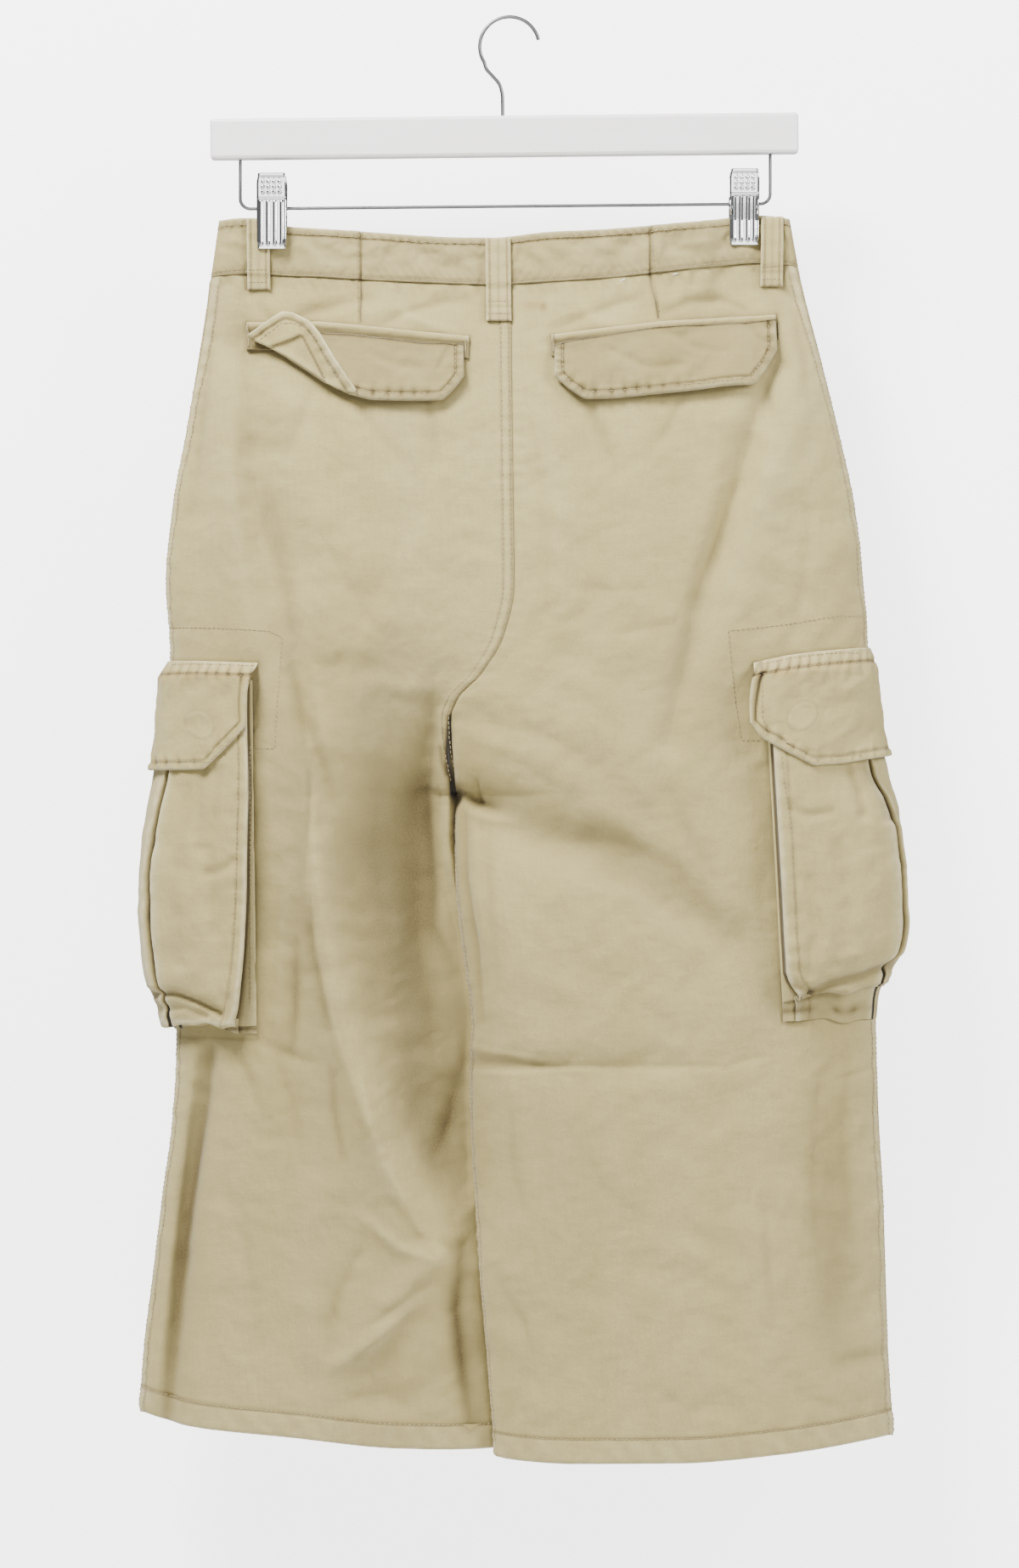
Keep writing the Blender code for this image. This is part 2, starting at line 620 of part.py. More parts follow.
def add_object(name, data, look):
    made = bpy.data.objects.new(name, data)
    bpy.context.scene.collection.objects.link(made)
    data.materials.append(material(look))
    made.data.materials[0].name = name + "_" + look
    return made


def wall(name, outer, inner, look, other_diagonal=()):
    """A closed wall between two grids of points. A few cells may be split along their other diagonal."""
    rows, columns = outer.shape[:2]
    count = rows * columns
    points = np.concatenate([outer.reshape(-1, 3), inner.reshape(-1, 3)]) * MM
    at = np.arange(count).reshape(rows, columns)
    faces = []
    for i in range(rows - 1):
        for j in range(columns - 1):
            a, b, c, d = at[i, j], at[i, j + 1], at[i + 1, j + 1], at[i + 1, j]
            if (i, j) in other_diagonal:
                a, b, c, d = b, c, d, a
            faces += [(a, b, c), (a, c, d)]
            faces += [(a + count, c + count, b + count), (a + count, d + count, c + count)]
    rim = [at[0, j] for j in range(columns)]
    rim += [at[i, -1] for i in range(1, rows)]
    rim += [at[-1, j] for j in range(columns - 2, -1, -1)]
    rim += [at[i, 0] for i in range(rows - 2, 0, -1)]
    for a, b in zip(rim, rim[1:] + rim[:1]):
        faces += [(b, a, a + count), (b, a + count, b + count)]
    mesh = bpy.data.meshes.new(name)
    mesh.from_pydata([tuple(p) for p in points], [], [tuple(int(k) for k in f) for f in faces])
    face_outwards(mesh)
    mesh.shade_smooth()
    mesh.set_sharp_from_angle(angle=SHARP)
    return add_object(name, mesh, look)


def face_outwards(mesh):
    edit = bmesh.new()
    edit.from_mesh(mesh)
    if edit.calc_volume(signed=True) < 0:
        bmesh.ops.reverse_faces(edit, faces=edit.faces)
    edit.to_mesh(mesh)
    edit.free()


def add_panel(name, side, face):
    """One quarter of the garment. Its wall turns inwards at the centre seam and sideways at the leg's edges."""
    grid = SKIN[side, face]
    inner = grid - normals(grid, face) * PANEL_WALL
    inner[:, -1] = grid[:, -1] + np.array([-side, 0.0, 0.0]) * PANEL_WALL
    edge = np.gradient(grid[:, 0], axis=0)
    across_seam = np.stack([0.0 * DOWN, edge[:, 2], -edge[:, 1]], axis=-1)
    across_seam = across_seam * np.where(across_seam[:, 1:2] * face > 0, -1.0, 1.0)
    below = smooth((DOWN - CROTCH_DOWN) / CROTCH_TURN)
    sideways = np.stack([side * below, 0.0 * DOWN, 1.0 - below], axis=-1)
    inwards = np.where(DOWN[:, None] < CROTCH_DOWN, across_seam, sideways)
    size = np.linalg.norm(inwards, axis=-1, keepdims=True)
    inner[:, 0] = grid[:, 0] + inwards / size * PANEL_WALL
    return wall(name, grid, inner, "twill")


def band_point(face, x, z):
    """A place on the outer surface of the waistband."""
    x, z = np.broadcast_arrays(np.asarray(x, float), np.asarray(z, float))
    edge = np.where(x < 0, OUTSEAM_X[LEFT](z), OUTSEAM_X[RIGHT](z))
    across = np.clip(x / edge, 0.0, 1.0)
    depth = BAND_WALL + SEAM_GAP / 2 + DEPTH[face](z) * (1.0 - pinch(x, z))
    fall = np.sqrt(np.clip(1.0 - across ** EDGE_POWER(z), 0.0, 1.0))
    return np.stack([x, face * (SEAM_GAP / 2 + depth * fall), z], axis=-1)


def band_edge_x(side, share):
    """X of the outseam where the waistband's height share is share, from its top."""
    x = OUTSEAM_X[side](BAND_MIDDLE_Z)
    for _ in range(6):
        z = WAIST_TOP(x) + (WAIST_SEAM(x) + SEAM_GAP - WAIST_TOP(x)) * share
        x = OUTSEAM_X[side](z)
    return float(x)


def add_band(name, face, start, end):
    """A stretch of the waistband from one X to another; None is the outseam on that side."""
    seam_x = np.concatenate([SKIN[LEFT, face][0, ::-1, 0], SKIN[RIGHT, face][0, :, 0]])
    first = seam_x[0] if start is None else start + SEAM_GAP / 2
    last = seam_x[-1] if end is None else end - SEAM_GAP / 2
    reach = CLIP_WIDTH / 2 + BAND_CLEAR
    clips = [CLIP_X[side] + hand * reach for side in (LEFT, RIGHT) for hand in (-1, 1)]
    inside = np.sort(np.concatenate([seam_x, clips]))
    inside = inside[(inside > first + BAND_CLEAR) & (inside < last - BAND_CLEAR)]
    run = (np.concatenate([[first], inside, [last]]) - first) / (last - first)
    run = run[np.concatenate([[True], np.diff(run) > LEAST_RUN])]
    grid = np.zeros((len(BAND_SHARES), len(run), 3))
    for i, share in enumerate(BAND_SHARES):
        x0 = band_edge_x(LEFT, share) if start is None else first
        x1 = band_edge_x(RIGHT, share) if end is None else last
        x = x0 + (x1 - x0) * run
        z = WAIST_TOP(x) + (WAIST_SEAM(x) + SEAM_GAP - WAIST_TOP(x)) * share
        grid[i] = band_point(face, x, z)
    out = normals(grid, face)
    inner = grid - out * BAND_WALL
    for i in range(len(BAND_SHARES)):
        for j, closed, side in ((0, start is None, LEFT), (len(run) - 1, end is None, RIGHT)):
            if closed:
                inner[i, j] = grid[i, j] + np.array([-side, 0.0, 0.0]) * BAND_WALL
            else:
                flat = out[i, j] * np.array([0.0, 1.0, 1.0])
                inner[i, j] = grid[i, j] - flat / np.linalg.norm(flat) * BAND_WALL
    return wall(name, grid, inner, "twill")


def add_bands():
    add_band("waistband_back_left", BACK, None, DART_X[LEFT])
    add_band("waistband_back_center", BACK, DART_X[LEFT], DART_X[RIGHT])
    add_band("waistband_back_right", BACK, DART_X[RIGHT], None)
    add_band("waistband_front_left", FRONT, None, FRONT_BAND_END)
    add_band("waistband_front_right", FRONT, FRONT_BAND_END, None)


def add_belt_loop(row):
    """A folded strip that lies on the waistband, its lower end on the panel."""
    side = LEFT if row.x < 0 else RIGHT
    above, below = row.above, -row.below
    stops = [above - LOOP_END, above * 0.6, above * 0.2, -LOOP_END, below * 0.6, below]
    stops = np.array(stops)[:, None]
    x, stops = np.broadcast_arrays(row.x + row.width * np.array([[-0.5, 0.0, 0.5]]), stops)
    seam = WAIST_SEAM(x)
    z = float(WAIST_SEAM(row.x)) + stops
    on_band = band_point(row.face, x, np.maximum(z, seam))[..., 1] * row.face
    on_panel = skin_point(side, row.face, *shares_at(side, row.face, x, z))[..., 1] * row.face
    base = np.where(stops < 0, np.maximum(on_band, on_panel), on_band)
    lift = LAID_GAP + LOOP_ARCH * np.array([0.0, 1.0, 1.0, 1.0, 1.0, 0.0])[:, None]
    inner = np.stack([x, (base + lift) * row.face, z], axis=-1)
    outer = inner + np.array([0.0, LOOP_WALL * row.face, 0.0])
    return wall(row.name, outer, inner, "twill_edge")


def between(rows):
    """X, top and bottom of a piece's columns: its table's rows and even steps between them."""
    x, top, bottom = [], [], []
    for a, b in zip(rows, rows[1:]):
        cells = max(1, math.ceil((b.x - a.x) / LAID_CELL))
        for t in np.arange(cells) / cells:
            x.append(a.x + (b.x - a.x) * t)
            top.append(a.top + (b.top - a.top) * t)
            bottom.append(a.bottom + (b.bottom - a.bottom) * t)
    last = rows[-1]
    return np.array(x + [last.x]), np.array(top + [last.top]), np.array(bottom + [last.bottom])


def laid(side, face, rows, shares, lift, thick):
    """Grids for a piece on a panel, lifted off the panel's own points."""
    share = np.array(shares)[:, None]
    x, top, bottom = between(rows)
    x = x[None, :] + 0.0 * share
    across, down = shares_at(side, face, x, top + (bottom - top) * share)
    return lifted(side, face, across, down, lift(share + 0.0 * x), thick)


def lifted(side, face, across, down, lift, thick):
    """Outer and inner grids of a piece whose inner side stands off a panel by lift."""
    place = skin_point(side, face, across, down)
    out = skin_normal(side, face, across, down)
    inner = place + out * lift[..., None]
    return inner + out * thick, inner


def close_lift(share):
    """Lift of a piece that lies flat on its panel."""
    return np.full(share.shape, LAID_GAP)


def flap_lift(share):
    """Lift of a back flap, from its sewn upper edge to its lower edge."""
    return ON_WELT + FLAP_RISE * np.sin(share * math.pi / 2) ** FLAP_CURL


def turned_lift(share):
    """Lift of the turned-up corner, from its free edge down to the fold."""
    return ON_WELT + FLAP_RISE + TURNED_CLEAR + TURNED_RISE * np.cos(share * math.pi / 2)


def add_back_pocket(name, side):
    """Welt and flap. On the left side the flap's outer corner is turned up."""
    welt = laid(side, BACK, WELT_ROWS[side], WELT_SHARES, close_lift, TRIM_WALL)
    wall("back_welt_" + name, *welt, "twill")
    flap = laid(side, BACK, FLAP_ROWS[side], FLAP_SHARES, flap_lift, POCKET_WALL)
    body = wall("back_flap_" + name, *flap, "twill")
    if side == LEFT:
        corner = laid(side, BACK, TURNED_ROWS, TURNED_SHARES, turned_lift, POCKET_WALL)
        join(body, wall("turned_corner", *corner, "twill"))


def join(body, other):
    """Fuses a second solid into the first one."""
    other.hide_render = True
    other.display_type = "WIRE"
    union = body.modifiers.new("joined", "BOOLEAN")
    union.operation = "UNION"
    union.solver = "EXACT"
    union.object = other


def cut(body, other):
    other.hide_render = True
    other.display_type = "WIRE"
    taken = body.modifiers.new("cut", "BOOLEAN")
    taken.operation = "DIFFERENCE"
    taken.solver = "EXACT"
    taken.object = other


def bag_lift(side, face, across, z):
    """How far a cargo bag's outer surface stands off the leg."""
    rows = BAG_ROWS[side]
    flat = through(rows, "z", "back" if face == BACK else "front")(z)
    beside = through(rows, "z", "side")(z)
    return flat + (beside - flat) * smooth((across - BAG_SIDE_START) / (1.0 - BAG_SIDE_START))


def bag_columns(side, face):
    """(across, pleat height) of a bag's columns between its raised edge and the outseam."""
    if face == FRONT:
        return [(a, 0.0) for a in ACROSS if BAG_FLAT_FROM < a < 1.0]
    near, valley, far = PLEAT_ACROSS
    flat = [(a, 0.0) for a in ACROSS if BAG_FLAT_FROM < a < near - COLUMN_CLEAR]
    return flat + [(near, PLEAT_LIP), (valley, -PLEAT_DEPTH), (far, PLEAT_LIP), (1.0, 0.0)]


def bag_half(side, face):
    """A bag's outer points on one face of the leg, its sewn edge first and the outseam last."""
    rows = BAG_ROWS[side]
    z = np.array([row.z for row in rows] + [BAG_BASE_Z[side]])[:, None]
    raised_x = np.array([row.inner for row in rows] + [rows[-1].inner])[:, None]
    base_x = BAG_BASE_X[side] + side * BAG_BASE_SLANT[side] * (z[0] - z)
    base_x = np.where(z == z[-1], base_x + side * BAG_BASE_CORNER, base_x)
    edge = shares_at(side, BACK, base_x, z)[0]
    raised = np.maximum(shares_at(side, BACK, raised_x, z)[0], edge + BAG_LEAST_STEP)
    stations = bag_columns(side, face)
    across = [edge, raised]
    for a, _ in stations:
        across.append(np.maximum(a, across[-1] + BAG_LEAST_STEP))
    across = np.minimum(np.concatenate(across, axis=1), 1.0)
    pleat = np.array([0.0, 0.0] + [height for _, height in stations])[None, :]
    near_outseam = smooth((across - BAG_SIDE_START) / (1.0 - BAG_SIDE_START))
    tilt = BAG_BOTTOM_TILT[side] * smooth((z[-4] - z) / (z[-4] - z[-2])) * near_outseam
    tilt[-1] = 0.0
    height = z + tilt
    open_pleat = smooth((rows[0].z - PLEAT_START - z) / PLEAT_OPENS)
    lift = bag_lift(side, face, across, z) + pleat * open_pleat
    lift = np.maximum(lift, POCKET_WALL + 2.0 * LAID_GAP)
    lift[-1] = LAID_GAP
    lift[:, 0] = LAID_GAP
    down = down_at(side, face, across, height)
    return skin_point(side, face, across, down) + skin_normal(side, face, across, down) * lift[..., None]


def add_cargo_bag(name, side):
    """A bellows pocket round the outseam, open at its mouth and towards the leg."""
    back, front = bag_half(side, BACK), bag_half(side, FRONT)
    outer = np.concatenate([back, front[:, ::-1]], axis=1)
    inner = outer - normals(outer, BACK) * POCKET_WALL
    inward = np.array([side, 0.0, 0.0]) * POCKET_WALL
    upward = np.array([0.0, 0.0, 1.0]) * POCKET_WALL
    inner[-1] = outer[-1] + upward
    for edge in (0, -1):
        inner[:, edge] = outer[:, edge] + inward
        inner[-1, edge] = outer[-1, edge] + inward + upward
    near_corner = (len(outer) - 2, 0)
    return wall("cargo_bag_" + name, outer, inner, "twill", {near_corner})


def flap_half(side, face):
    """A cargo flap's outer and inner points on one face, its free edge first and the outseam last."""
    rows = CARGO_FLAP_ROWS[side]
    top_z, bottom_z = CARGO_FLAP_OUTSEAM[side]
    edge = shares_at(side, BACK, [row.inner for row in rows], [row.top for row in rows])[0]
    rest = [a for a, _ in bag_columns(side, face) if a > edge[-1] + COLUMN_CLEAR]
    across = np.concatenate([edge, rest])[None, :]
    top = np.array([row.top for row in rows] + [top_z] * len(rest))[None, :]
    bottom = np.array([row.bottom for row in rows] + [bottom_z] * len(rest))[None, :]
    z = top + (bottom - top) * np.array(CARGO_FLAP_SHARES)[:, None]
    mouth_z = BAG_ROWS[side][0].z
    over = bag_lift(side, face, across, np.minimum(z, mouth_z)) + CARGO_FLAP_CLEAR
    lift = SEWN_EDGE + (over - SEWN_EDGE) * smooth((top - z) / (top - mouth_z - FLAP_REACH))
    down = down_at(side, face, across, z)
    return lifted(side, face, across + 0.0 * z, down, lift, POCKET_WALL)


def add_cargo_flap(name, side):
    """The flap hangs over the bag's mouth, its upper edge sewn to the leg."""
    back, front = flap_half(side, BACK), flap_half(side, FRONT)
    grids = [np.concatenate([b, f[:, ::-1]], axis=1) for b, f in zip(back, front)]
    return wall("cargo_flap_" + name, *grids, "twill")


def add_fly():
    """The overlapping edge of the fly on the left front panel, rounded at its foot."""
    columns = []
    for share in FLY_SHARES:
        x = FLY_INNER_X - FLY_WIDTH * share
        top = float(WAIST_SEAM(x)) - FLY_BELOW_SEAM
        length = FLY_LENGTH * (1.0 - FLY_FOOT * share**3)
        columns.append(EdgeRow(x, top, top - length))
    grids = laid(LEFT, FRONT, columns, FLY_SHARES, close_lift, TRIM_WALL)
    return wall("fly", *grids, "twill")


def turned(name, profile, sides, look):
    """A solid turned round Z from a profile of (radius, height), top to bottom."""
    edit = bmesh.new()
    line = [edit.verts.new((r * MM, 0.0, h * MM)) for r, h in profile]
    edges = [edit.edges.new(pair) for pair in zip(line, line[1:])]
    geometry = line + edges
    turn = math.radians(360)
    bmesh.ops.spin(edit, geom=geometry, cent=(0, 0, 0), axis=(0, 0, 1), angle=turn, steps=sides)
    bmesh.ops.remove_doubles(edit, verts=edit.verts, dist=1e-6)
    mesh = bpy.data.meshes.new(name)
    edit.to_mesh(mesh)
    edit.free()
    face_outwards(mesh)
    mesh.shade_smooth()
    mesh.set_sharp_from_angle(angle=SHARP)
    return add_object(name, mesh, look)


def add_button():
    profile = [(BUTTON_RADIUS * row.radius_share, row.height) for row in BUTTON_ROWS]
    button = turned("waist_button", profile, 24, "horn")
    z = float(WAIST_TOP(BUTTON_X) + WAIST_SEAM(BUTTON_X)) / 2.0
    seat = band_point(FRONT, BUTTON_X, z)
    button.rotation_euler = (math.radians(-90), 0.0, 0.0)
    button.location = (seat[0] * MM, (seat[1] + LAID_GAP) * MM, z * MM)
    return button


def add_bar():
    mesh = bpy.data.meshes.new("hanger_bar")
    edit = bmesh.new()
    bmesh.ops.create_cube(edit, size=1.0)
    bmesh.ops.scale(edit, vec=[side * MM for side in BAR_SIZE], verts=edit.verts)
    edit.to_mesh(mesh)
    edit.free()
    bar = add_object("hanger_bar", mesh, "white_wood")
    bar.location = [place * MM for place in BAR_CENTRE]
    bar.rotation_euler = (0.0, BAR_TILT, 0.0)
    rounded = bar.modifiers.new("rounded", "BEVEL")
    rounded.width = BAR_EDGE * MM
    rounded.segments = 2
    mesh.shade_smooth()
    mesh.set_sharp_from_angle(angle=SHARP)
    return bar


def bar_face_z(x, up):
    """Height of the bar's upper (up = 1) or under (up = -1) face at X."""
    middle = BAR_CENTRE[2] - math.tan(BAR_TILT) * (x - BAR_CENTRE[0])
    return middle + up * BAR_SIZE[2] / 2.0 / math.cos(BAR_TILT)


def wire(name, path, thick, look):
    """A round wire along points in the hanger's plane."""
    curve = bpy.data.curves.new(name, "CURVE")
    curve.dimensions = "3D"
    curve.bevel_depth = thick / 2.0 * MM
    curve.bevel_resolution = 2
    curve.use_fill_caps = True
    line = curve.splines.new("POLY")
    line.points.add(len(path) - 1)
    for point, (x, z) in zip(line.points, path):
        point.co = (x * MM, 0.0, z * MM, 1.0)
    return add_object(name, curve, look)


def add_hook():
    path = [(HOOK_SHANK_X, bar_face_z(HOOK_SHANK_X, 1) + SEAM_GAP)] + HOOK_NECK
    centre_z = HOOK_WIRE / 2.0 - HOOK_RADIUS
    for degrees in np.linspace(HOOK_START_DEG, HOOK_END_DEG, HOOK_POINTS):
        turn = math.radians(degrees)
        path.append((HOOK_RADIUS * math.cos(turn), centre_z + HOOK_RADIUS * math.sin(turn)))
    return wire("hanger_hook", path, HOOK_WIRE, "steel")


def add_rod():
    """The rod runs down from the bar, across between two bends and up again."""
    (x0, x1), (z0, z1) = ROD_ENDS_X, ROD_END_Z
    path = [(x0, bar_face_z(x0, -1) - SEAM_GAP)]
    for degrees in np.linspace(180, 270, BEND_POINTS):
        turn = math.radians(degrees)
        path.append((x0 + ROD_BEND * (1 + math.cos(turn)), z0 + ROD_BEND * (1 + math.sin(turn))))
    for degrees in np.linspace(270, 360, BEND_POINTS):
        turn = math.radians(degrees)
        path.append((x1 - ROD_BEND * (1 - math.cos(turn)), z1 + ROD_BEND * (1 + math.sin(turn))))
    path.append((x1, bar_face_z(x1, -1) - SEAM_GAP))
    return wire("hanger_rod", path, ROD_WIRE, "steel")


def rod_z(x):
    share = (x - ROD_ENDS_X[0]) / (ROD_ENDS_X[1] - ROD_ENDS_X[0])
    return ROD_END_Z[0] + (ROD_END_Z[1] - ROD_END_Z[0]) * share


def add_jaw(name, side, face, seat, ribbed):
    """One jaw: a bent plate with two ears that the rod passes through."""
    x0, z0 = CLIP_X[side], rod_z(CLIP_X[side])
    columns = 1 + 2 * (CLIP_RIBS if ribbed else 1)
    xs = np.linspace(-CLIP_WIDTH / 2, CLIP_WIDTH / 2, columns)
    inner = np.zeros((len(JAW_ROWS), columns, 3))
    outer = np.zeros_like(inner)
    for i, row in enumerate(JAW_ROWS):
        off = max(row.least, seat + row.beyond)
        for j, x in enumerate(xs):
            raised = CLIP_RIB if ribbed and row.ribbed and j % 2 else 0.0
            inner[i, j] = (x0 + x, face * off, z0 + row.up)
            outer[i, j] = (x0 + x, face * (off + CLIP_PLATE + raised), z0 + row.up)
    jaw = wall(name, outer, inner, "chrome")
    for k, hand in enumerate((-1, 1)):
        ear_x = x0 + hand * (CLIP_WIDTH / 2 - EAR_INSET[face])
        join(jaw, ear(f"{name}_ear_{k}", ear_x, z0, face, max(EAR_FOOT, seat + EAR_THICK)))
    cut(jaw, rod_hole(name + "_hole", x0, z0))
    return jaw


def ear(name, x, z, face, reach):
    """A small plate across the rod, from just inside the jaw's plate to past the rod."""
    near, far, half = face * reach, -face * EAR_PAST, EAR_THICK / 2
    outline = [(near, EAR_TOP[0]), (far, EAR_TOP[1]), (far, EAR_UNDER[1]), (near, EAR_UNDER[0])]
    edit = bmesh.new()
    ends = [
        [edit.verts.new(((x + h) * MM, y * MM, (z + up) * MM)) for y, up in outline]
        for h in (-half, half)
    ]
    edit.faces.new(ends[0])
    edit.faces.new(ends[1][::-1])
    for i in range(4):
        k = (i + 1) % 4
        edit.faces.new((ends[0][k], ends[0][i], ends[1][i], ends[1][k]))
    mesh = bpy.data.meshes.new(name)
    edit.to_mesh(mesh)
    edit.free()
    face_outwards(mesh)
    return add_object(name, mesh, "chrome")


def rod_hole(name, x, z):
    mesh = bpy.data.meshes.new(name)
    edit = bmesh.new()
    size = (ROD_WIRE / 2 + SEAM_GAP) * MM
    turn = Matrix.Rotation(math.radians(90), 4, "Y")
    place = Matrix.Translation(Vector((x, 0.0, z)) * MM)
    bmesh.ops.create_cone(
        edit,
        segments=HOLE_SIDES,
        cap_ends=True,
        radius1=size,
        radius2=size,
        depth=CLIP_WIDTH * 1.2 * MM,
        matrix=place @ turn,
    )
    edit.to_mesh(mesh)
    edit.free()
    return add_object(name, mesh, "chrome")


def add_clips():
    """The left clip's near jaw bites on a belt loop, so it sits further out than the others."""
    on_band = BAND_WALL + SEAM_GAP + SEAM_GAP + JAW_CLEAR
    on_loop = on_band + LAID_GAP + LOOP_ARCH + LOOP_WALL
    for name, side in SIDES.items():
        add_jaw(f"clip_{name}_near", side, BACK, on_loop if side == LEFT else on_band, True)
        add_jaw(f"clip_{name}_far", side, FRONT, on_band, False)


def main():
    clear_scene()
    for face_name, face in FACES.items():
        for side_name, side in SIDES.items():
            add_panel(f"{face_name}_{side_name}", side, face)
    add_bands()
    for row in LOOP_ROWS:
        add_belt_loop(row)
    for name, side in SIDES.items():
        add_back_pocket(name, side)
        add_cargo_bag(name, side)
        add_cargo_flap(name, side)
    add_fly()
    add_button()
    add_bar()
    add_hook()
    add_rod()
    add_clips()


main()
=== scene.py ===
"""The look of the cargo shorts: fine cloth, stitches, clips and studio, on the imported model's frame.

Lengths are millimetres unless a name or a comment says metres. The garment's tables repeat the model's own.
"""

import math
from collections import namedtuple

import bpy
import numpy as np
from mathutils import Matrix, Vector
from mathutils.bvhtree import BVHTree


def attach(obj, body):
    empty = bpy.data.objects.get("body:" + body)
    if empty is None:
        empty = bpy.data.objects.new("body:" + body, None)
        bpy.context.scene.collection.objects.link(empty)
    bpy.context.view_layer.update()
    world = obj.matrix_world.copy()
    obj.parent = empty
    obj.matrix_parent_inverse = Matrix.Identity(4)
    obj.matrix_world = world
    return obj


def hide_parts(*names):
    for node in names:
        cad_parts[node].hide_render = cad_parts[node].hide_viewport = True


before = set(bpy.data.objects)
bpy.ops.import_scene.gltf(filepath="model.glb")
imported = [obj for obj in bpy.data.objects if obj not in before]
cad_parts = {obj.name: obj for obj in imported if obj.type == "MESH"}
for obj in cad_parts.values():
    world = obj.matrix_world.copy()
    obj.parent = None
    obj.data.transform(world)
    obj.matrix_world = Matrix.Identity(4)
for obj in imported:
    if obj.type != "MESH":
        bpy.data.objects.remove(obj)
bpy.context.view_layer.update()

MM = 0.001
TINY = 1e-9
TURN = 2.0 * np.pi

# Cloth.
PANEL_WALL = 1.5
BAND_WALL = 2.5
POCKET_WALL = 1.4
TRIM_WALL = 1.2
LOOP_WALL = 1.6
SEAM_GAP = 0.3
LAID_GAP = 0.6  # between a piece and the panel it lies on

# Sides and faces of the garment.
LEFT, RIGHT = -1, 1
BACK, FRONT = -1, 1
SIDES = {"left": LEFT, "right": RIGHT}
FACES = {"back": BACK, "front": FRONT}


def table(kind, *rows):
    return [kind(*row) for row in rows]


# Outseam edges, seen from the back.
SideRow = namedtuple("SideRow", "z left right")
SIDE_ROWS = table(
    SideRow,
    (-120, -175.5, 169.3), (-158, -180.9, 176.3), (-205, -188.1, 188.1), (-251, -195.8, 199.4),
    (-297, -204.1, 209.2), (-343, -208.0, 214.3), (-374, -205.6, 216.4), (-451, -204.1, 219.0),
    (-528, -202.5, 220.5), (-621, -201.5, 222.0), (-667, -204.1, 223.6), (-713, -210.2, 226.2),
    (-760, -215.9, 227.7), (-806, -221.5, 229.2), (-866, -225.5, 233.3),
)

# Upper edge of the waistband and the seam that joins it to the panels.
WaistRow = namedtuple("WaistRow", "x top seam")
WAIST_ROWS = table(
    WaistRow,
    (-182, -123.2, -157.4), (-159, -121.0, -155.2), (-133, -126.2, -156.4), (-90, -129.5, -159.3),
    (-34, -133.1, -161.8), (-12, -133.4, -162.4), (24, -129.8, -160.5), (61, -128.0, -158.0),
    (85, -125.9, -155.5), (122, -122.3, -151.1), (150, -119.4, -148.6), (178, -122.8, -151.1),
)

# Lower edge of each leg.
HemRow = namedtuple("HemRow", "x z")
HEM_ROWS = {
    LEFT: table(
        HemRow,
        (-226, -840.6), (-193, -849.1), (-131, -855.3), (-69, -862.0), (-23, -863.6), (2, -863.8),
    ),
    RIGHT: table(
        HemRow,
        (-10, -868.0), (39, -870.2), (100, -870.2), (162, -865.6), (234, -855.3),
    ),
}
FRONT_HEM_DROP = 1.8  # the front layer hangs this much lower
DROP_DOWN_POWER = 8
DROP_INNER_POWER = 12

# Centre seams down to the crotch, and below it the inner edge of the right leg.
CROTCH_Z = -469.0
InnerRow = namedtuple("InnerRow", "z back front")
INNER_ROWS = table(
    InnerRow,
    (-120, 0.5, 0.5), (-161, 0.5, 0.5), (-277, 1.5, 0.0), (-343, 2.3, -4.0), (-374, -4.1, -8.5),
    (-397, -17.5, -14.0), (-412, -31.5, -18.5), (-424, -35.6, -22.5), (-440, -35.2, -27.0),
    (CROTCH_Z, -32.6, -32.6), (-487, -33.4, -33.4), (-528, -31.9, -31.9), (-570, -27.2, -27.2),
    (-608, -22.6, -22.6), (-635, -23.8, -23.8), (-742, -19.0, -19.0), (-797, -14.4, -14.4),
    (-868, -8.7, -8.7),
)
DROP_START_Z = -398.0  # here the centre seams start to sink towards the crotch
LEG_OVERLAP = 7.6  # the right leg's inner edge reaches over the left one's
LEG_RAMP = 90.0  # height below the crotch over which the legs part
LEG_SHIFT = {LEFT: 8.0, RIGHT: -10.0}  # how far the inner edges move along Y

# Depth of each layer from the hanger's plane, and how square its edges are.
DepthRow = namedtuple("DepthRow", "z back front edge_power")
DEPTH_ROWS = table(
    DepthRow,
    (-120, 5.0, 5.0, 16.0), (-158, 9.0, 7.5, 13.0), (-190, 16.0, 12.0, 8.0), (-240, 24.0, 16.0, 5.0),
    (-310, 31.0, 18.4, 4.5), (-390, 36.0, 20.0, 4.5), (-469, 38.0, 21.0, 4.5), (-560, 36.0, 21.0, 4.5),
    (-700, 33.0, 20.0, 4.5), (-800, 30.0, 19.0, 4.5), (-870, 29.0, 18.5, 4.5),
)
INNER_POWER = {LEFT: 7.0, RIGHT: 9.0}

